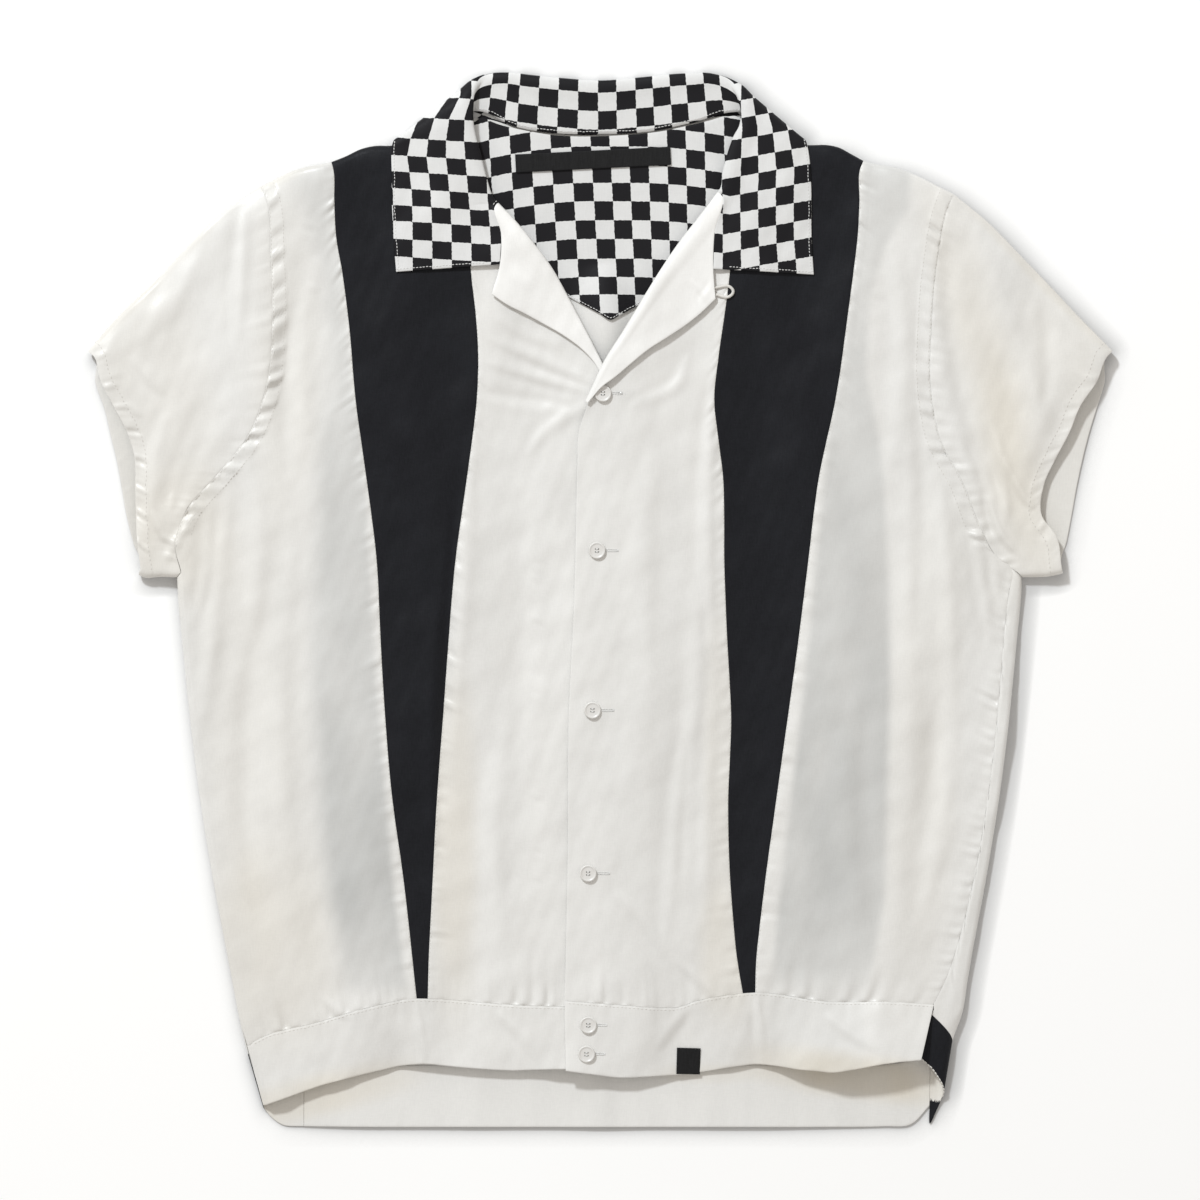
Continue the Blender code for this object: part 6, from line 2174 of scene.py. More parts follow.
def corner_section(corner: Corner, side: int) -> list[Array]:
    """A section that ends on the roll, where the seam goes round from gorge to neck edge."""
    roll = lapel_line(side, "roll")
    up = (roll[0] - roll[1]) / np.linalg.norm(roll[0] - roll[1])
    normal = roll_normals(side)[0]
    foot_point = roll[0] - normal * FRONT_CURL + up * FOOT_SEAMS * SEAM
    steps = TURN_STEPS + STAND_COLUMNS
    turned = []
    for t in np.linspace(0.0, 1.0, steps + 1):
        a = radians(90.0 + (corner.angle - 90.0) * t)
        plan = foot_point + up * corner.beyond * (1.0 - t) + normal * FRONT_CURL * cos(a)
        turned.append(np.array((*plan, FRONT_Z + FRONT_CURL * (1.0 + sin(a)))))
    outer = np.array((*corner.outer, LEAF_EDGE_Z))
    if corner.angle == 90:
        turned = steps_to(outer, turned[-1], np.linspace(1.0 - LEAF_MARGIN, 1.0, steps + 1))
    return steps_to(outer, turned[0], np.linspace(0.0, 1.0, FALL_COLUMNS + 1)) + turned[1:]


def turned_section(station: Station) -> list[Array]:
    """A collar section: outer edge, fall, turn, stand and neck edge."""
    turn, beyond = radians(station.turn), radians(station.beyond)
    top_share, back_share = max(0.0, sin(turn)), max(0.0, -sin(turn))
    middle = 1.0 - top_share - back_share
    curl = FRONT_CURL * top_share + BACK_CURL * back_share + SHOULDER_CURL * middle
    centre_z = ((LEAF_TOP_Z - FRONT_CURL) * top_share + (BACK_Z + BACK_CURL) * back_share
                + FALL_FOLD_Z * middle)
    outer_z = LEAF_EDGE_Z * top_share + BACK_Z * back_share + FALL_FOLD_Z * middle
    ahead = np.array([cos(beyond), sin(beyond), 0.0])
    side = 1.0 if station.crest[0] > 0 else -1.0
    out = np.array([-ahead[1], ahead[0], 0.0])
    out *= 1.0 if out[0] * side > 0 else -1.0
    apart = out * cos(turn) + np.array([0.0, 0.0, sin(turn)])
    centre = np.array((*station.crest, centre_z)) - ahead * curl
    fall = centre + apart * curl
    outer = np.array((*station.outer, outer_z))
    section = steps_to(outer, fall, np.linspace(0.0, 1.0, FALL_COLUMNS + 1))
    for angle in np.linspace(90.0, -90.0, TURN_STEPS + 1)[1:]:
        a = radians(angle)
        section.append(centre + ahead * curl * cos(a) + apart * curl * sin(a))
    stand, neck = section[-1], np.array(station.neck, float)
    neck[:2] += (stand - neck)[:2] / np.linalg.norm((stand - neck)[:2]) * NECK_SEAM
    return section + steps_to(stand, neck, np.linspace(0.0, 1.0, STAND_COLUMNS + 1)[1:])


def half_collar(side: int) -> list[list[Array]]:
    """Sections of half the collar, from its point to the middle of the back."""
    sections = [leaf_section(leaf, side) for leaf in LEAVES[side]]
    sections += [corner_section(corner, side) for corner in CORNERS[side]]
    return sections + [turned_section(station) for station in STATIONS[side]]


def collar() -> Array:
    """Collar in one: both leaves, the fall under the back and the stand inside the neck."""
    return np.array([*half_collar(-1), turned_section(COLLAR_BACK), *half_collar(1)[::-1]])


def back_band() -> Array:
    """Back waistband, from side piece to side piece."""
    rows = []
    for t in np.linspace(0.0, 1.0, BAND_ROWS):
        rows.append([(row.seam_x + (row.hem_x - row.seam_x) * t,
                      row.seam_y + (row.hem_y - row.seam_y) * t,
                      BACK_Z + HEM_RISE * t * t
                      * max(0.0, 1.0 - abs(row.seam_x / HEM_RISE_END)**4))
                     for row in BACK_BAND])
    return draw_back(np.array(rows), Line.FIRST_ROW, Line.FIRST_COLUMN, Line.LAST_COLUMN)


def side_tab(side: int) -> Array:
    """Waistband side piece, round the folded side."""
    rows = []
    for t in np.linspace(0.0, 1.0, TAB_ROWS + 1):
        rows.append([(row.top_x + (row.low_x - row.top_x) * t,
                      row.top_y + (row.low_y - row.top_y) * t, row.height)
                     for row in SIDE_TABS[side]])
    return draw_back(np.array(rows), Line.FIRST_ROW, Line.FIRST_COLUMN, Line.LAST_COLUMN)


def sleeve(side: int) -> Array:
    """Sleeve: a flattened tube, open at the armhole and at the hem."""
    point, normal = tip(side)
    tops, unders = spline(SLEEVE_TOP[side], SLEEVE_ROWS), spline(SLEEVE_UNDER[side], SLEEVE_ROWS)
    top_normals = outward(tops[::-1], side)[::-1]
    under_normals = -outward(unders[::-1], side)[::-1]
    under_normals[0] = np.array([side, -1.0]) / 2**0.5
    low_z = back_height(*(point - normal * FOLD))
    top = np.array([fold_points(p, n, 90, -90, 2 * FOLD_STEPS) for p, n in zip(tops, top_normals)])
    top[0] = fold_points(point, normal, 90, -90, 2 * FOLD_STEPS, low_z)
    under = np.array([fold_points(p, n, -90, 90, 2 * FOLD_STEPS)
                      for p, n in zip(unders, under_normals)])
    hem = spline([under[-1, -1, :2], *SLEEVE_HEM[side][1:-1], top[-1, 0, :2]], ARMHOLE_ROWS)
    back_hem = spline([under[-1, 0, :2], *SLEEVE_BACK_HEM[side][1:-1], top[-1, -1, :2]],
                      ARMHOLE_ROWS)
    front = coons(armhole(side, ARMHOLE), hem, under[:, -1, :2], top[:, 0, :2])
    rear = coons(armhole(side, BACK_ARMHOLE), back_hem, under[:, 0, :2], top[:, -1, :2])
    swell = np.sin(np.linspace(0.0, pi, ARMHOLE_ROWS + 1))[None, :]
    grow = np.linspace(0.0, 1.0, SLEEVE_ROWS + 1)[:, None]
    front = raised(front, FRONT_Z + SLEEVE_CROWN * swell * grow)
    rear = raised(rear, BACK_Z)
    rings = np.concatenate([front, top[:, 1:-1], rear[:, ::-1], under[:, 1:-1], front[:, :1]],
                           axis=1)
    draw_back(rings, Line.FIRST_ROW)
    low = len(front[0]) + 2 * FOLD_STEPS - 1 + len(rear[0])
    draw_back(rings[:, low - 1:low + 2 * FOLD_STEPS], Line.FIRST_ROW, by=CORNER_SEAM - SEAM)
    rings[0, 0] = rings[0, -1]
    return rings


def ribbon(place: Ribbon, height: Callable[[float, float], float]) -> Array:
    """A flat woven ribbon, tilted in plan."""
    a = radians(place.tilt)
    rows = []
    for v in (-0.5, 0.0, 0.5):
        row = []
        for u in np.linspace(-0.5, 0.5, RIBBON_COLUMNS + 1):
            x, y = u * place.width, v * place.height
            plan = (place.x + x * cos(a) - y * sin(a), place.y + x * sin(a) + y * cos(a))
            row.append((*plan, height(*plan)))
        rows.append(row)
    return np.array(rows)


@dataclass
class Section:
    """A sub-assembly: it shares the folds and tones of the whole shirt."""

    drape: Drape
    tones: Tones

    def dress(self, *pieces: ClothPiece) -> None:
        """Gives cloths their folds and makes them."""
        for piece in pieces:
            piece.drape(self.drape).make(self.tones)


@dataclass
class SidedSection(Section):
    """A sub-assembly that the shirt has on both sides."""

    wearer: Wearer

    @property
    def side(self) -> int:
        """Sign of its side along X."""
        return self.wearer.value


TURNED = 0.9    # rounding of a turned edge
SIDE_PUCKERS = {"pucker": 1.3, "reach": 9.0, "length": 10.0}    # along the side seams


def seam_edge(line: Line, seed: int, *, pucker: float = 0.1, reach: float = 5.0,
              length: float = 6.0, **changes: object) -> Edge:
    """A sewn border with small puckers."""
    return Edge(line, pucker=pucker, pucker_reach=reach, pucker_length=length, seed=seed,
                **changes)


def flat_seam(line: Line) -> Edge:
    """A sewn border that is pressed flat, so that hardly a line shows."""
    return Edge(line, dip=0.004, rounding=0.15)


def free_edge(line: Line, seed: int, pucker: float = 0.0, **changes: object) -> Edge:
    """A turned border that is sewn to nothing."""
    return Edge(line, dip=0.0, rounding=TURNED, pucker=pucker, seed=seed, **changes)


FINE_STITCHES = Stitching(length=1.9, gap=0.8, radius=0.16, lift=0.07, wander=0.08)
EDGE_STITCHES = Stitching(length=1.75, gap=0.45, radius=0.27, lift=0.1, wander=0.12)
LIP_STITCHES = Stitching(length=2.4, gap=0.1, radius=0.45, lift=0.05, wander=0.05)


@dataclass
class Fronts(SidedSection):
    """One side's three front cloths: side front, tapered inset and centre front."""

    pitch: float = 2.2
    band_pucker: float = 1.8
    band_reach: float = 18.0
    pucker_length: float = 9.0
    felled: float = 9.0          # width of the felled seam beside the armhole
    felled_start: float = 0.9    # its first stitches, from the armhole
    stitch_inset: float = 0.6    # from the seams of the inset
    main: Patch | None = None
    middle: Patch | None = None

    def band_seam(self, seed: int) -> Edge:
        """The border that is gathered into the waistband."""
        return seam_edge(Line.FIRST_ROW, seed + self.side, pucker=self.band_pucker,
                         reach=self.band_reach, length=self.pucker_length)

    def side_front(self) -> ClothPiece:
        """Side front, which wraps round the side edge on the wearer's right."""
        grids = side_front(self.side)
        inset_seam_edge = seam_edge(Line.LAST_COLUMN, 51 + self.side, pucker=1.3, reach=8.0,
                                    length=self.pucker_length, ridge=0.15, ridge_width=6.0)
        felled = seam_edge(Line.FIRST_COLUMN, 61 + self.side, pucker=1.35, reach=self.felled,
                           length=self.pucker_length, sharpness=6.0, slant=-0.5, square=True,
                           ridge=0.25, ridge_width=self.felled, start=BODY_ROWS + 1)
        edges = [self.band_seam(41), Edge(Line.LAST_ROW), inset_seam_edge, felled]
        if self.side > 0:
            edges.append(seam_edge(Line.FIRST_COLUMN, 65, **SIDE_PUCKERS, stop=BODY_ROWS))
        self.main = Patch.of(grids[0], self.pitch, *edges)
        patches, joins = [self.main], ()
        if self.side < 0:
            fold = Patch.of(grids[1], self.pitch, self.band_seam(41),
                            Edge(Line.LAST_ROW, tight=False),
                            seam_edge(Line.LAST_COLUMN, 71, pucker=0.12),
                            row_counts=self.main.row_counts[:BODY_ROWS])
            patches.append(fold)
            joins = (Join(fold, Line.FIRST_COLUMN, self.main),)
        return ClothPiece(self.wearer.node("side_front"), CREAM, patches, Layer.ROUND,
                          joins=joins)

    def inset(self) -> ClothPiece:
        """Black inset from waistband to shoulder."""
        patch = Patch.of(inset(self.side), self.pitch,
                         seam_edge(Line.FIRST_ROW, 81 + self.side, pucker=0.3, reach=10.0),
                         Edge(Line.LAST_ROW), Edge(Line.FIRST_COLUMN), Edge(Line.LAST_COLUMN))
        return ClothPiece(self.wearer.node("inset"), BLACK, [patch], Layer.ROUND)

    def centre(self) -> ClothPiece:
        """Centre front with its turned edge."""
        self.middle = Patch.of(
            centre_front(self.side), self.pitch, self.band_seam(91), Edge(Line.LAST_ROW),
            seam_edge(Line.FIRST_COLUMN, 101 + self.side, pucker=1.1, reach=7.0,
                      length=self.pucker_length, ridge=0.12, ridge_width=6.0),
            free_edge(Line.LAST_COLUMN, 111 + self.side))
        return ClothPiece(self.wearer.node("front"), CREAM, [self.middle])

    def build(self) -> None:
        """Makes the three cloths, and the stitches of the felled seam and beside the inset."""
        self.dress(self.side_front(), self.inset(), self.centre())
        lines = [self.main.inset_line(Line.FIRST_COLUMN, distance, BODY_ROWS + 1, square=True)
                 for distance in (self.felled_start, self.felled)]
        lines += [self.main.inset_line(Line.LAST_COLUMN, self.stitch_inset),
                  self.middle.inset_line(Line.FIRST_COLUMN, self.stitch_inset)]
        work = ThreadWork(self.wearer.node("front") + "_stitches", THREAD)
        for seed, line in zip((251, 252, 255, 256), lines):
            work.sew(line, CLOTH, FINE_STITCHES, seed)
        work.make()


@dataclass
class BackPanel(Section):
    """The back, which wraps round the wearer's left side to the seam that shows there."""

    pitch: float = 4.5
    turned_pitch: float = 2.2

    def side(self, grid: Array, fold: Array, seed: int) -> tuple[Patch, Patch, Join]:
        """One side of the back, its folded edge and the join between them."""
        main = Patch.of(grid, self.pitch, Edge(Line.FIRST_ROW), Edge(Line.LAST_ROW),
                        Edge(Line.FIRST_COLUMN, start=BODY_ROWS + 1))
        turned = Patch.of(
            fold, self.turned_pitch, Edge(Line.FIRST_ROW), Edge(Line.LAST_ROW, tight=False),
            seam_edge(Line.LAST_COLUMN, seed, **SIDE_PUCKERS),
            row_counts=main.row_counts[:BODY_ROWS])
        if grid[0, 0, 0] > 0.0:
            self.meet_front(turned)
        return main, turned, Join(turned, Line.FIRST_COLUMN, main)

    @staticmethod
    def meet_front(turned: Patch) -> None:
        """Draws the left turned side to the border of the front that it is sewn to."""
        front = Patch.of(side_front(1)[0], BackPanel.turned_pitch)
        border = front.points[:int(front.row_stops[BODY_ROWS]) + 1, 0]
        x, y = turned.points[:, -1, 0], turned.points[:, -1, 1]
        gap = np.interp(y, border[:, 1], border[:, 0]) + 2 * SEAM - x
        gap = np.where(y > border[0, 1], gap, 0.0)
        share = np.linspace(0.0, 1.0, turned.points.shape[1])**2
        turned.points[..., 0] += gap[:, None] * share

    def build(self) -> None:
        """Makes the back."""
        right_grid, right_fold, left_grid, left_fold, middle_grid = back()
        right, right_turned, right_join = self.side(right_grid, right_fold, 121)
        left, left_turned, left_join = self.side(left_grid, left_fold, 122)
        rows = BODY_ROWS + ARMHOLE_ROWS
        middle = Patch.of(middle_grid, self.pitch, Edge(Line.FIRST_ROW),
                          row_counts=right.row_counts[:rows])
        joins = (right_join, left_join,
                 Join(middle, Line.FIRST_COLUMN, right, Line.LAST_COLUMN),
                 Join(middle, Line.LAST_COLUMN, left, Line.LAST_COLUMN))
        self.dress(ClothPiece("back", CREAM, [right, right_turned, left, left_turned, middle],
                              Layer.ROUND, joins=joins))


@dataclass
class Sleeve(SidedSection):
    """A short sleeve with a turned and stitched hem."""

    pitch: float = 1.8
    hem: float = 8.0

    def build(self) -> None:
        """Makes the sleeve and its hem stitching."""
        patch = Patch.of(
            sleeve(self.side), self.pitch,
            seam_edge(Line.FIRST_ROW, 131 + self.side, pucker=0.85, reach=10.0, length=10.0),
            Edge(Line.LAST_ROW, dip=0.0, rounding=TURNED, ridge=0.25, ridge_width=self.hem,
                 pucker=0.85, pucker_reach=self.hem, sharpness=6.0, slant=0.6,
                 seed=141 + self.side),
            closed=True)
        self.dress(ClothPiece(self.wearer.node("sleeve"), CREAM, [patch], Layer.ROUND))
        work = ThreadWork(self.wearer.node("sleeve") + "_stitches", THREAD)
        work.sew(patch.inset_line(Line.LAST_ROW, self.hem), CLOTH, seed=151 + self.side)
        work.make()


@dataclass
class Revers(SidedSection):
    """One front facing, which shows as the turned-back lapel."""

    pitch: float = 1.6

    def build(self) -> None:
        """Makes the facing."""
        patch = Patch.of(
            facing(self.side), self.pitch, Edge(Line.FIRST_ROW, dip=0.2, rounding=TURNED),
            free_edge(Line.LAST_ROW, 161 + self.side),
            free_edge(Line.LAST_COLUMN, 163 + self.side))
        self.dress(ClothPiece(self.wearer.node("facing"), LIT_FACING, [patch], wall=DOUBLED))


def leaf_squares(side: int, x: Array, y: Array) -> Array:
    """Check coordinates of places on a collar leaf: along the collar, and across it.

    Args:
        side: -1 for the wearer's right leaf and 1 for the left.
        x: Places across, in millimetres.
        y: Places along, in millimetres.

    Returns:
        The two coordinates of each place.
    """
    lean = LEAF_LEAN[side]
    level = y + lean.slope * (x - lean.middle)
    rows = np.array(LEAF_ROWS[side])
    along = np.interp(level, rows[:, 0], rows[:, 1])
    columns = np.array(LEAF_COLUMNS[side])
    outer = np.interp(y, columns[:, 0], columns[:, 1])
    inner = np.interp(y, columns[:, 0], columns[:, 2])
    across = 1.0 + 3.0 * (x - outer) / (inner - outer)
    return np.stack([along, across], axis=-1)


@dataclass
class Collar(Section):
    """Camp collar: stand and fall in one, with a check that runs round it."""

    pitch: float = 1.6
    stitch_inset: float = 1.9
    narrowing: float = 0.0013    # of the stand from its crest to the neck, for each mm

    def squares(self, patch: Patch) -> Array:
        """Check coordinates of every point of the collar."""
        points = patch.points
        rows, columns = points.shape[:2]
        places = np.arange(rows)
        crest = int(patch.column_stops[FALL_COLUMNS + TURN_STEPS // 2])
        run = travelled(np.swapaxes(points, 0, 1)).T
        down = run - run[:, crest:crest + 1]
        side = np.where(places < rows / 2, -1, 1)
        planar = np.zeros((rows, columns, 2))
        for sign in (-1, 1):
            mine = side == sign
            planar[mine] = leaf_squares(sign, points[mine][..., 0], points[mine][..., 1])
        back_x, back_s, back_t = np.array(CREST_CHECK).T
        crest_x = points[:, crest, 0]
        s_back = np.interp(crest_x, back_x, back_s)
        t_back = np.interp(crest_x, back_x, back_t)
        first, last = (int(patch.row_stops[k]) for k in (LEAF_STATIONS, -1 - LEAF_STATIONS))
        on_back = (places > first) & (places < last)
        s_crest = np.where(on_back, s_back, planar[:, crest, 0])
        t_crest = np.where(on_back, t_back, planar[:, crest, 1])
        narrowed = points[..., 0] * (1.0 - self.narrowing * np.clip(down, 0.0, None))
        upright = np.interp(narrowed, back_x, back_s)
        on_stand = (on_back[:, None] & (down > 0.0)).astype(float)
        around = s_crest[:, None] + (upright - s_back[:, None]) * on_stand
        result = np.stack([around, t_crest[:, None] + down / CHECK_PITCH], axis=-1)
        hidden = [int(patch.row_stops[k]) for k in
                  (LEAF_STATIONS + 2, LEAF_STATIONS + 4, -5 - LEAF_STATIONS,
                   -3 - LEAF_STATIONS)]
        on_leaf = np.interp(places, hidden, (1.0, 0.0, 0.0, 1.0))[:, None]
        fall = on_leaf * (np.arange(columns) < crest)[None, :]
        return result + (planar - result) * fall[..., None]

    def build(self) -> None:
        """Makes the collar and its edge stitching."""
        patch = Patch.of(
            collar(), self.pitch, free_edge(Line.FIRST_COLUMN, 171),
            free_edge(Line.FIRST_ROW, 172), free_edge(Line.LAST_ROW, 173),
            Edge(Line.LAST_COLUMN, rounding=TURNED))
        patch.squares = self.squares(patch)
        self.dress(ClothPiece("collar", CHECK, [patch], Layer.ROUND, DOUBLED))
        work = ThreadWork("collar_stitches", WHITE_THREAD)
        lines = ((Line.FIRST_ROW, 0, FALL_COLUMNS), (Line.LAST_ROW, 0, FALL_COLUMNS),
                 (Line.FIRST_COLUMN, 0, 12), (Line.FIRST_COLUMN, -13, -1),
                 (Line.LAST_COLUMN, 2, -3))
        for seed, (line, start, stop) in enumerate(lines, 180):
            work.sew(patch.inset_line(line, self.stitch_inset, start, stop), DOUBLED,
                     EDGE_STITCHES, seed)
        work.make()


@dataclass
class Yoke(Section):
    """Inner back yoke, pointed, with its own check."""

    pitch: float = 2.0
    stitch_inset: float = 1.4
    least_lean: float = 0.3      # share of the lean at the wearer's left

    def squares(self, points: Array) -> Array:
        """Check coordinates of the yoke's points."""
        x, y = points[..., 0], points[..., 1]
        lean = YOKE_LEAN * np.clip((YOKE_LEAN_END - x) / YOKE_LEAN_END, self.least_lean, 1.0)
        across = np.interp(x - (YOKE_LEVEL - y) * lean, *zip(*YOKE_U))
        arch = (YOKE_ARCH * np.clip(YOKE_ARCH_X[0] - x, 0.0, None)**2
                + YOKE_ARCH * 0.8 * np.clip(x - YOKE_ARCH_X[1], 0.0, None)**2)
        along = np.interp(y + arch, *zip(*YOKE_V))
        return np.stack([across, along], axis=-1)

    def build(self) -> None:
        """Makes the yoke."""
        patch = Patch.of(yoke(), self.pitch, Edge(Line.FIRST_ROW, dip=0.1),
                         Edge(Line.LAST_ROW))
        patch.squares = self.squares(patch.points)
        self.dress(ClothPiece("yoke_inner", CHECK, [patch], Layer.BACK))
        work = ThreadWork("yoke_stitches", WHITE_THREAD)
        work.sew(patch.inset_line(Line.FIRST_ROW, self.stitch_inset), CLOTH, EDGE_STITCHES,
                 seed=191, flip=True)
        work.make()


@dataclass
class Waistband(Section):
    """Two front bands, the back band and the black side pieces."""

    pitch: float = 1.6
    back_pitch: float = 2.0
    pucker: float = 0.4
    stitch_inset: float = 1.5
    lip_inset: float = 0.4       # of the close stitches round the left side piece's hem
    bands: list[Patch] = field(default_factory=list)
    lip: Patch | None = None
    lining_low: dict[int, float] = field(default_factory=lambda: {-1: -400.0, 1: -335.0})

    def front(self, wearer: Wearer) -> ClothPiece:
        """A front band. The wearer's right one goes round the side edge."""
        side = wearer.value
        grids = front_band(side)
        seam = seam_edge(Line.FIRST_ROW, 201 + side, pucker=self.pucker, reach=10.0, length=8.0,
                         rounding=TURNED)
        hem = Edge(Line.LAST_ROW, dip=0.0, rounding=TURNED, pucker=0.3, pucker_reach=8.0,
                   pucker_length=12.0, seed=205 + side)
        edges = [seam, hem, Edge(Line.LAST_COLUMN, dip=0.0, rounding=TURNED)]
        if side > 0:
            edges.append(Edge(Line.FIRST_COLUMN, rounding=TURNED))
        main = Patch.of(grids[0], self.pitch, *edges)
        self.bands.append(main)
        patches, joins = [main], ()
        if side < 0:
            fold = Patch.of(grids[1], self.pitch, seam, hem, Edge(Line.LAST_COLUMN),
                            row_counts=main.row_counts)
            patches.append(fold)
            joins = (Join(fold, Line.FIRST_COLUMN, main),)
        return ClothPiece(wearer.node("band_front"), CREAM, patches, Layer.ROUND, DOUBLED,
                          joins)

    def side_piece(self, wearer: Wearer) -> ClothPiece:
        """A black side piece, round the folded side."""
        side = wearer.value
        patch = Patch.of(
            side_tab(side), self.pitch,
            seam_edge(Line.FIRST_ROW, 211 + side, pucker=0.3, reach=7.0, length=5.0),
            Edge(Line.LAST_ROW, dip=0.0), flat_seam(Line.FIRST_COLUMN),
            flat_seam(Line.LAST_COLUMN))
        if side > 0:
            self.lip = patch
        return ClothPiece(wearer.node("band_side"), BLACK, [patch], Layer.ROUND,
                          lining=CREAM, lining_from=self.lining_low[side])

    def back(self) -> ClothPiece:
        """The back band, whose inside shows below the front's hem."""
        patch = Patch.of(
            back_band(), self.back_pitch, Edge(Line.FIRST_ROW),
            free_edge(Line.LAST_ROW, 221, pucker=0.3), flat_seam(Line.FIRST_COLUMN),
            flat_seam(Line.LAST_COLUMN))
        return ClothPiece("band_back", CREAM, [patch], Layer.BACK, DOUBLED)

    def build(self) -> None:
        """Makes the waistband."""
        for wearer in Wearer:
            self.dress(self.front(wearer), self.side_piece(wearer))
        self.dress(self.back())
        work = ThreadWork("waistband_stitches", THREAD)
        for seed, band in enumerate(self.bands, 261):
            work.sew(band.inset_line(Line.FIRST_ROW, self.stitch_inset), DOUBLED,
                     FINE_STITCHES, seed)
        work.sew(self.lip.inset_line(Line.LAST_ROW, self.lip_inset, 0, 5), CLOTH,
                 LIP_STITCHES, seed=271)
        work.make()


TUBE_TIP = 0.4    # of a cord's radius at its ends


def tube(line: Array, radius: float, sides: int = 10) -> tuple[Array, Array]:
    """A round cord along a line, closed at both ends.

    Args:
        line: Its middle.
        radius: Its radius.
        sides: Points in each ring.

    Returns:
        Points, and quads.
    """
    run = np.gradient(line, axis=0)
    run /= np.linalg.norm(run, axis=1)[:, None]
    beside = np.cross(run, (0.0, 0.0, 1.0))
    beside /= np.maximum(np.linalg.norm(beside, axis=1), 1e-9)[:, None]
    above = np.cross(beside, run)
    a = np.arange(sides) * 2 * pi / sides
    girth = np.full(len(line), radius)
    girth[[0, -1]] *= TUBE_TIP
    ring = beside[:, None] * np.cos(a)[:, None] + above[:, None] * np.sin(a)[:, None]
    points = line[:, None] + ring * girth[:, None, None]
    index = np.arange(len(line) * sides).reshape(len(line), sides)
    after = np.roll(index, -1, axis=1)
    quads = np.stack([index[:-1], index[1:], after[1:], after[:-1]], axis=-1).reshape(-1, 4)
    caps = []
    for k in range(1, sides // 2):
        caps.append(index[0, [k - 1, k, sides - 1 - k, (sides - k) % sides]])
        caps.append(index[-1, [(sides - k) % sides, sides - 1 - k, k, k - 1]])
    return points.reshape(-1, 3), np.concatenate([quads, np.array(caps)])


@dataclass
class Trims(Section):
    """Neck label, hem tag and the button loop under the lapel."""

    pitch: float = 1.5
    cord_radius: float = 1.0
    clear: float = 0.1           # between a trim and what it lies on
    tag_clear: float = 0.6
    tag_step: int = 7            # the waistband's step that the tag lies on
    loop_steps: int = 40

    def ribbon(self, node: str, place: Ribbon, height: Callable[[float, float], float],
               layer: Layer) -> ClothPiece:
        """A flat woven ribbon, bare on top."""
        patch = Patch.of(ribbon(place, height), self.pitch,
                         *(Edge(line, dip=0.0) for line in Line))
        return ClothPiece(node, RIBBON_FINISH, [patch], layer, RIBBON, kind="ribbon")

    def loop(self) -> None:
        """The button loop of round cord."""
        line = spline(LOOP, self.loop_steps)
        x, y = line.T
        z = front_height(1, x, y) + self.drape.front_height(x, y)
        line = raised(line, z + CLOTH / 2 + self.cord_radius + self.clear)
        work = ThreadWork("loop_cord", THREAD, node="loop")
        work.add(*tube(line, self.cord_radius))
        work.make()

    def on_yoke(self, x: float, y: float) -> float:
        """Middle of the label where it lies on the yoke."""
        return back_height(x, y) + 2 * LAYER + self.clear

    def on_band(self, _x: float, y: float) -> float:
        """Middle of the tag where it lies on the waistband."""
        row = BAND[1][self.tag_step]
        share = np.clip((y - row.seam_y) / (row.hem_y - row.seam_y), 0.0, 1.0)
        return FRONT_Z - TAG_DROP * share + (DOUBLED + RIBBON) / 2 + self.tag_clear

    def build(self) -> None:
        """Makes the trims."""
        self.dress(self.ribbon("neck_label", LABEL, self.on_yoke, Layer.BACK),
                   self.ribbon("hem_tag", TAG, self.on_band, Layer.FRONT))
        self.loop()


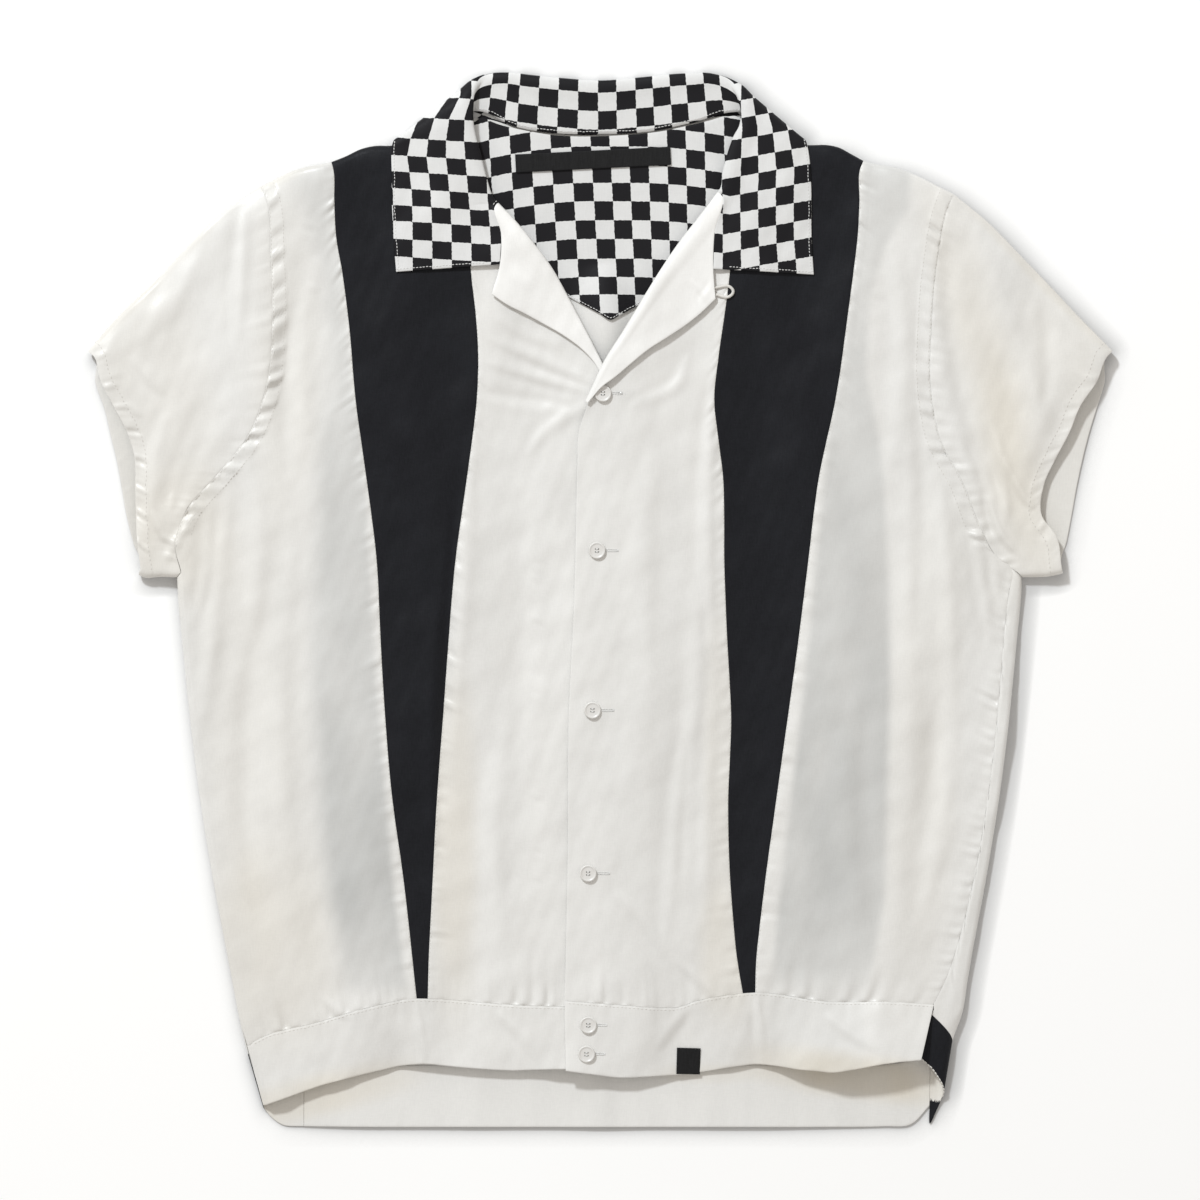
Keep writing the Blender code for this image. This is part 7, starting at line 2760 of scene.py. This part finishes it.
@dataclass
class Buttons(Section):
    """The six buttons with their threads, and the buttonholes that they sit in."""

    radius: float = 5.7
    thickness: float = 1.9
    rim: float = 1.15
    dish: float = 0.55
    hole: float = 0.5
    spread: float = 1.35         # from the middle to each hole's
    shank: float = 0.45          # of thread between button and cloth
    steps: int = 64
    hole_steps: int = 14

    outside: ClassVar = ((0.62, 0.0), (0.84, 0.08), (0.95, 0.38), (1.0, 0.85), (0.995, 1.15),
                         (0.97, 1.5))        # share of the radius, height
    shoulder: ClassVar = ((0.93, -0.12), (0.885, 0.0))    # the same, height from the top
    inside: ClassVar = ((0.12, -0.1), (-0.15, -0.3))      # from the rim's inside and the top
    bottom: ClassVar = ((-0.55, 0.04), (-1.0, 0.0))       # from the same and the dish

    bar_gap: ClassVar[float] = 0.26          # between the threads of a bar
    bar_height: ClassVar[float] = 0.32
    bar_sink: ClassVar[float] = 0.75         # of its ends into the holes
    bar_crown: ClassVar[float] = 0.05        # of its middle thread
    bar_points: ClassVar[int] = 9

    slit_before: ClassVar[float] = 4.0       # of the buttonhole, from the button's middle
    stitch_step: ClassVar[float] = 0.33
    stitch_away: ClassVar[Array] = np.array([0.12, 0.45, 0.85, 1.05])    # from the slit
    stitch_rise: ClassVar[Array] = np.array([-0.1, 0.14, 0.12, -0.1])
    stitch_slip: ClassVar[Plan] = (0.05, 0.04)
    end_length: ClassVar[float] = 1.0
    end_step: ClassVar[float] = 0.3
    end_half: ClassVar[float] = 1.1
    end_rise: ClassVar[Array] = np.array([-0.1, 0.16, 0.2, 0.2, 0.16, -0.1])
    reach: ClassVar[float] = 13.5            # of a buttonhole that the table leaves out

    def profile(self) -> list[tuple[float, float]]:
        """Half section of the rim, from the underside round to the dish."""
        r, top, inner = self.radius, self.thickness, self.radius - self.rim
        return ([(r * share, z) for share, z in self.outside]
                + [(r * share, top + z) for share, z in self.shoulder]
                + [(inner + x, top + z) for x, z in self.inside]
                + [(inner + x, top - self.dish + z) for x, z in self.bottom])

    def button(self, name: str, place: Plan, seat: float) -> None:
        """Makes one button.

        Args:
            name: The CAD button that it stands for.
            place: Its middle in plan.
            seat: Height of its underside.
        """
        bm = bmesh.new()
        turns = np.arange(self.steps) * 2 * pi / self.steps
        rings = [[bm.verts.new((r * cos(a) * MM, r * sin(a) * MM, z * MM)) for a in turns]
                 for r, z in self.profile()]
        for low, high in zip(rings, rings[1:]):
            for k in range(self.steps):
                j = (k + 1) % self.steps
                bm.faces.new((low[k], low[j], high[j], high[k]))
        holes = []
        for height in (0.0, self.thickness - self.dish):
            loops = []
            for k in range(4):
                a = pi / 4 + k * pi / 2
                x, y = self.spread * cos(a), self.spread * sin(a)
                loops.append([bm.verts.new((
                    (x + self.hole * cos(2 * pi * t / self.hole_steps)) * MM,
                    (y + self.hole * sin(2 * pi * t / self.hole_steps)) * MM, height * MM))
                    for t in range(self.hole_steps)])
            holes.append(loops)
        for ring, loops in ((rings[0], holes[0]), (rings[-1], holes[1])):
            edges = []
            for line in (ring, *loops):
                for a, b in zip(line, line[1:] + line[:1]):
                    edges.append(bm.edges.get((a, b)) or bm.edges.new((a, b)))
            bmesh.ops.triangle_fill(bm, use_beauty=True, edges=edges)
        for low, high in zip(*holes):
            for k in range(self.hole_steps):
                j = (k + 1) % self.hole_steps
                bm.faces.new((low[k], low[j], high[j], high[k]))
        bmesh.ops.recalc_face_normals(bm, faces=bm.faces)
        mesh = bpy.data.meshes.new(f"{name}_disc")
        bm.to_mesh(mesh)
        bm.free()
        mesh.shade_smooth()
        mesh.set_sharp_from_angle(angle=radians(50))
        mesh.materials.append(PEARL.material())
        obj = link(f"{name}_disc", mesh)
        obj.location = (place[0] * MM, place[1] * MM, seat * MM)
        bpy.context.view_layer.update()
        settle(obj, name)

    def threads(self, place: Plan, seat: float, work: ThreadWork) -> None:
        """Sews a button on: two bars of three threads through its four holes."""
        top = seat + self.thickness - self.dish
        reach = self.spread / 2**0.5
        for bar in (-1, 1):
            for k in (-1, 0, 1):
                y = place[1] + bar * reach + k * self.bar_gap
                x = np.linspace(place[0] - reach, place[0] + reach, self.bar_points)
                sunk = self.bar_sink * np.abs((x - place[0]) / reach)**4
                z = top + self.bar_height - sunk + self.bar_crown * (k == 0)
                line = np.column_stack([x, np.full_like(x, y), z])
                work.add(*tube(line, radius=0.15, sides=6))

    def surface(self, x: Array, y: Array) -> Array:
        """Top of the front over which a buttonhole is sewn."""
        return (front_height(1, x, y) + self.drape.front_height(x, y)
                + (DOUBLED if np.mean(y) < BAND_TOP_Y else CLOTH) / 2)

    def buttonhole(self, place: Plan, reach: float, work: ThreadWork) -> None:
        """Sews one buttonhole: two rows of close stitches beside a slit, and a bar at its end."""
        start, end = place[0] - self.slit_before, place[0] + reach
        rng = np.random.default_rng(int(abs(place[1]) * 10))
        for x in np.arange(start, end, self.stitch_step):
            for bar in (-1, 1):
                y = place[1] + bar * self.stitch_away
                y = y + rng.normal(0.0, self.stitch_slip[0])
                xs = np.full_like(y, x) + rng.normal(0.0, self.stitch_slip[1])
                z = self.surface(xs, y) + self.stitch_rise
                work.add(*tube(np.column_stack([xs, y, z]), radius=0.17, sides=5))
        for x in np.arange(end, end + self.end_length, self.end_step):
            y = place[1] + np.linspace(-self.end_half, self.end_half, len(self.end_rise))
            xs = np.full_like(y, x)
            z = self.surface(xs, y) + self.end_rise
            work.add(*tube(np.column_stack([xs, y, z]), radius=0.18, sides=5))

    def build(self) -> None:
        """Makes the buttons, their threads and the buttonholes."""
        sewing = ThreadWork("button_threads", WHITE_THREAD)
        holes = ThreadWork("buttonhole_stitches", WHITE_THREAD)
        for name, place in BUTTONS.items():
            x, y = np.array([place[0]]), np.array([place[1]])
            seat = float(self.surface(x, y)[0]) + self.shank
            self.button(name, place, seat)
            self.threads(place, seat, sewing)
            self.buttonhole(place, HOLE_REACH.get(name, self.reach), holes)
        sewing.make()
        holes.make()


@dataclass(frozen=True)
class Lamp:
    """A soft lamp: where it stands, what it faces, its size and power."""

    name: str
    place: tuple[float, float, float]
    target: tuple[float, float, float]
    size: float
    power: float
    colour: Colour = (1.0, 1.0, 1.0)


@dataclass(frozen=True)
class Studio:
    """Pale floor, lamps and the camera that looks straight down."""

    lamps: tuple[Lamp, ...]
    floor_size: float = 16.0
    sky: float = 0.575
    sky_colour: Colour = (1.0, 0.958, 0.905)
    camera_height: float = 4.467
    focal_length: float = 200.0
    view_depth: float = 20.0

    def lay_floor(self) -> None:
        """The surface that the shirt lies on."""
        half = self.floor_size / 2
        mesh = bpy.data.meshes.new("floor")
        mesh.from_pydata([(-half, -half, 0), (half, -half, 0), (half, half, 0),
                          (-half, half, 0)], [], [(0, 1, 2, 3)])
        mesh.materials.append(FLOOR.material())
        link("floor", mesh)

    def light(self) -> None:
        """Lamps and an even sky."""
        for lamp in self.lamps:
            data = bpy.data.lights.new(lamp.name, "AREA")
            data.shape = "DISK"
            data.size = lamp.size
            data.energy = lamp.power
            data.color = lamp.colour
            obj = link(lamp.name, data)
            obj.location = lamp.place
            away = Vector(lamp.place) - Vector(lamp.target)
            obj.rotation_euler = away.to_track_quat("Z", "Y").to_euler()
        world = bpy.data.worlds.new("studio_sky")
        world.use_nodes = True
        background = world.node_tree.nodes["Background"]
        background.inputs["Color"].default_value = opaque(self.sky_colour)
        background.inputs["Strength"].default_value = self.sky
        bpy.context.scene.world = world

    def look(self) -> None:
        """The camera."""
        data = bpy.data.cameras.new("camera")
        data.lens = self.focal_length
        data.clip_end = self.view_depth
        obj = link("camera", data)
        obj.location = (0.0, 0.0, self.camera_height)
        bpy.context.scene.camera = obj
        bpy.context.scene.view_settings.view_transform = "Standard"

    def build(self) -> None:
        """Sets the studio up."""
        self.lay_floor()
        self.light()
        self.look()


FOLDS = Drape(
    front=(
        # Sleeve on the wearer's right.
        Crease(((-237, 262), (-240, 215), (-243, 166)), 4.5, 1.2),
        Crease(((-262, 240), (-285, 200), (-310, 170)), 8, 0.9),
        Crease(((-250, 150), (-275, 110), (-292, 60)), 8, -0.6),
        Crease(((-245, 125), (-262, 95), (-280, 50)), 6, 0.5),
        Crease(((-290, 125), (-300, 80), (-302, 40)), 6, 0.8),
        Crease(((-314, 163), (-303, 150), (-291, 136)), 3, 0.8),
        Crease(((-318, 132), (-306, 122)), 2.5, 0.5),
        Crease(((-286, 72), (-286, 60)), 2.5, 0.4),
        Crease(((-270, 60), (-282, 40), (-290, 26)), 3.5, 1),
        Crease(((-300, 60), (-292, 44), (-280, 34)), 3, 0.8),
        # Sleeve on the wearer's left, with its long trough.
        Crease(((234.5, 244.6), (233, 197), (249.9, 112.6), (286.8, 47.6)), 8, -2),
        Crease(((250, 250), (276, 180), (300, 110)), 9, 1.5),
        Crease(((262, 120), (270, 85), (272, 50)), 4, 1.1),
        Crease(((285, 235), (306, 200), (322, 168)), 6, 0.8),
        Crease(((296, 200), (300, 160), (296, 125)), 6, -1),
        Crease(((258, 70), (268, 45), (280, 30)), 3, 1),
        Crease(((270, 95), (283, 70), (292, 60)), 3, 0.9),
        Crease(((243, 110), (256, 78), (262, 40)), 4, -0.9),
        Crease(((322, 150), (300, 90), (296, 40)), 12, -2.6, 0),
        Crease(((-322, 150), (-312, 95), (-309, 40)), 12, -2.2, 0),
        # Under the arms.
        Crease(((263, 31), (267, 3)), 3, 0.8),
        Crease(((228, 80), (233, 10), (235, -67)), 6, 1.1),
        Crease(((250, 60), (255, 20), (262, -30)), 4, 0.8),
        Crease(((-248, 74), (-256, 0), (-265, -80)), 6, 1.2),
        Crease(((-262, 62), (-262, 30), (-268, -10)), 4, 0.9),
        Crease(((-236, 96), (-228, 40), (-232, -30)), 7, 1.1),
        # Long folds down the sides.
        Crease(((-205, 60), (-214, -60), (-208, -180)), 9, 1.3),
        Crease(((-232, -20), (-238, -120), (-228, -220)), 8, -1.2),
        Crease(((-190, 230), (-198, 170), (-196, 110)), 8, 1.2),
        Crease(((-205, 200), (-212, 140), (-208, 80)), 7, -1.1),
        Crease(((196, 240), (204, 170), (196, 90)), 8, 1.3),
        Crease(((212, 130), (216, 60), (212, -20)), 6, -1),
        Crease(((205, 40), (208, -90), (198, -220)), 10, 1.4),
        Crease(((236, -40), (232, -130), (216, -215)), 7, 1.1),
        Crease(((180, -60), (176, -140), (186, -230)), 9, -1.2),
        # Between the insets.
        Crease(((-97, 60), (-104, -60), (-108, -190)), 5, -1.3),
        Crease(((-84, 120), (-90, 20), (-98, -100)), 6, 1),
        Crease(((-60, -60), (-70, -150), (-66, -240)), 8, 1.1),
        Crease(((-45, 60), (-40, -40), (-48, -120)), 9, 0.9),
        Crease(((76, 150), (72, 60), (76, -40)), 5, 1.1),
        Crease(((70, 60), (64, -60), (60, -190)), 6, 0.8),
        Crease(((78, -40), (72, -130), (70, -220)), 5, 0.6),
        Crease(((56, -90), (50, -160), (44, -230)), 5, 0.9),
        Crease(((40, 120), (30, 40), (34, -60)), 9, 0.9),
        Crease(((10, -195), (30, -215), (44, -240)), 5, 0.8),
        # Lapels.
        Crease(((60, 214), (68, 206), (75, 196)), 2.2, 0.5),
        Crease(((64, 200), (70, 208), (74, 214)), 2, -0.4),
        Crease(((-62, 232), (-54, 222), (-46, 214)), 4.5, -0.5),
        # Away from the top button.
        Crease(((-77, 176), (-38, 160), (-4, 145)), 4, 0.9),
        Crease(((-80, 160), (-45, 150), (-6, 139)), 3.5, 0.8),
        Crease(((-70, 190), (-50, 178), (-24, 170)), 4, 0.5),
        Crease(((-84, 140), (-60, 136), (-20, 131)), 4, -0.7),
        Crease(((-4, 132), (-30, 118), (-50, 96)), 4, 0.7),
        Crease(((8, 140), (27, 137)), 2.5, 0.4),
        Crease(((60, 165), (50, 142), (20, 130)), 4, 0.6),
        # Waistband.
        Crease(((-123, -268), (-117, -308)), 3, 0.8),
        Crease(((105, -265), (109, -310)), 3, 1),
        Crease(((37, -301), (48, -285), (60, -271)), 4, 0.6),
        Crease(((-188, -265), (-168, -281)), 2.5, 0.6),
        Crease(((50, -241), (66, -254), (80, -268)), 3, 0.6),
        Crease(((150, -276), (168, -290), (186, -300)), 4, 0.6),
        Crease(((-70, -275), (-52, -292), (-44, -308)), 3.5, 0.5),
    ),
    back=(
        Crease(((-180, 150), (-170, 20), (-185, -120)), 12, 0.9),
        Crease(((70, 120), (40, -10), (62, -190)), 14, 0.8),
        Crease(((190, 60), (204, -60), (186, -150)), 9, 0.7),
        Crease(((-60, -40), (-48, -160)), 8, 0.6),
        Crease(((-290, 60), (-304, 130)), 7, 0.6),
        Crease(((284, 70), (306, 150)), 8, 0.6),
        Crease(((2, 225), (5, 188), (8, 148)), 16, 7, 0),
        Crease(((-120, -322), (-104, -348)), 5, 0.5),
        Crease(((60, -325), (74, -349)), 5, 0.4),
        Crease(((5, -320), (0, -350)), 6, 0.4),
    ),
    puckers=(
        Pucker((-42, 40), (-42, -215), 4, 0.3, 8, 301),
        Pucker((50, 60), (44, -180), 4, 0.16, 9, 302),
        Pucker((-196, 262), (-190, 190), 5, 0.25, 9, 303),
        Pucker((190, 262), (184, 150), 5, 0.25, 9, 304),
    ),
)

TONES = Tones(
    # Painted warm shade: tan under the lifted front hems, along folded edges, in the sleeves'
    # troughs, beside the insets and down the sides.
    warm=(
        Glow(-298, 110, 40, 110, 12, 0.20),
        Glow(300, 110, 42, 110, -12, 0.20),
        Glow(263, 138, 15, 112, 15, 0.45, 0.9),
        Glow(-285, 45, 30, 40, 0, 0.23),
        Glow(-98, -165, 14, 100, 0, 0.42),
        Glow(80, -110, 10, 90, 0, 0.23),
        Glow(84, -235, 16, 40, 0, 0.45),
        Glow(-222, -235, 44, 60, -8, 0.30),
        Glow(-210, 150, 20, 110, 0, 0.16),
        Glow(-232, -110, 34, 150, 3, 0.14),
        Glow(214, -110, 22, 150, -3, 0.14),
        Glow(-190, -332, 60, 13, 14, 0.59),
        Glow(170, -318, 62, 14, -8, 0.9),
        Glow(-293, 219, 5, 75, -44, 0.2),
        Glow(-203, 287, 4, 30, -68, 0.35),
        Glow(290, 221, 5, 75, 44, 0.3),
        Glow(72, -317, 30, 6, 0, 0.33),
    ),
    # Grey tint in strips beside the insets' outer seams.
    cool=(
        Underlay(((285, -206, -177, 0.45), (240, -194, -174, 0.4),
                  (221, -186, -171, 0.45),
                  (150, -181, -166, 0.45), (115, -186, -160, 0.6),
                  (80, -190, -157, 0.6), (10, -192, -153, 0.65),
                  (-60, -191, -149, 0.7), (-130, -188, -143, 0.9),
                  (-200, -182, -137, 0.95), (-255, -170, -130, 0.5),
                  (-266, -170, -128, 0)), 18, 7),
        Underlay(((290, 176, 208, 0.6), (262, 174, 206, 0.5),
                  (235, 172, 190, 0.4),
                  (200, 168, 180, 0.35), (150, 160, 178, 0.5),
                  (110, 153, 186, 0.55), (80, 150, 190, 0.65),
                  (10, 143, 193, 0.7), (-60, 136, 194, 0.8),
                  (-130, 128, 192, 0.85), (-200, 120, 190, 0.85),
                  (-245, 116, 182, 0.6), (-262, 114, 176, 0.2)), 7, 8),
    ),
)

STUDIO = Studio(lamps=(
    Lamp("key", (-2.0, 3.5, 3.6), (0.0, 0.0, 0.0), 0.6, 196.0, (0.922, 0.966, 1.0)),
    Lamp("fill", (0.8, -1.2, 2.6), (0.0, 0.0, 0.0), 2.2, 3.0),
))


def main() -> None:
    """Builds the shirt in order, then the studio."""
    logging.basicConfig(level=logging.INFO)
    BackPanel(FOLDS, TONES).build()
    Yoke(FOLDS, TONES).build()
    for wearer in Wearer:
        Fronts(FOLDS, TONES, wearer).build()
        Revers(FOLDS, TONES, wearer).build()
        Sleeve(FOLDS, TONES, wearer).build()
    Waistband(FOLDS, TONES).build()
    Collar(FOLDS, TONES).build()
    Trims(FOLDS, TONES).build()
    Buttons(FOLDS, TONES).build()
    STUDIO.build()
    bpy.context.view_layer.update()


if __name__ == "__main__":
    main()
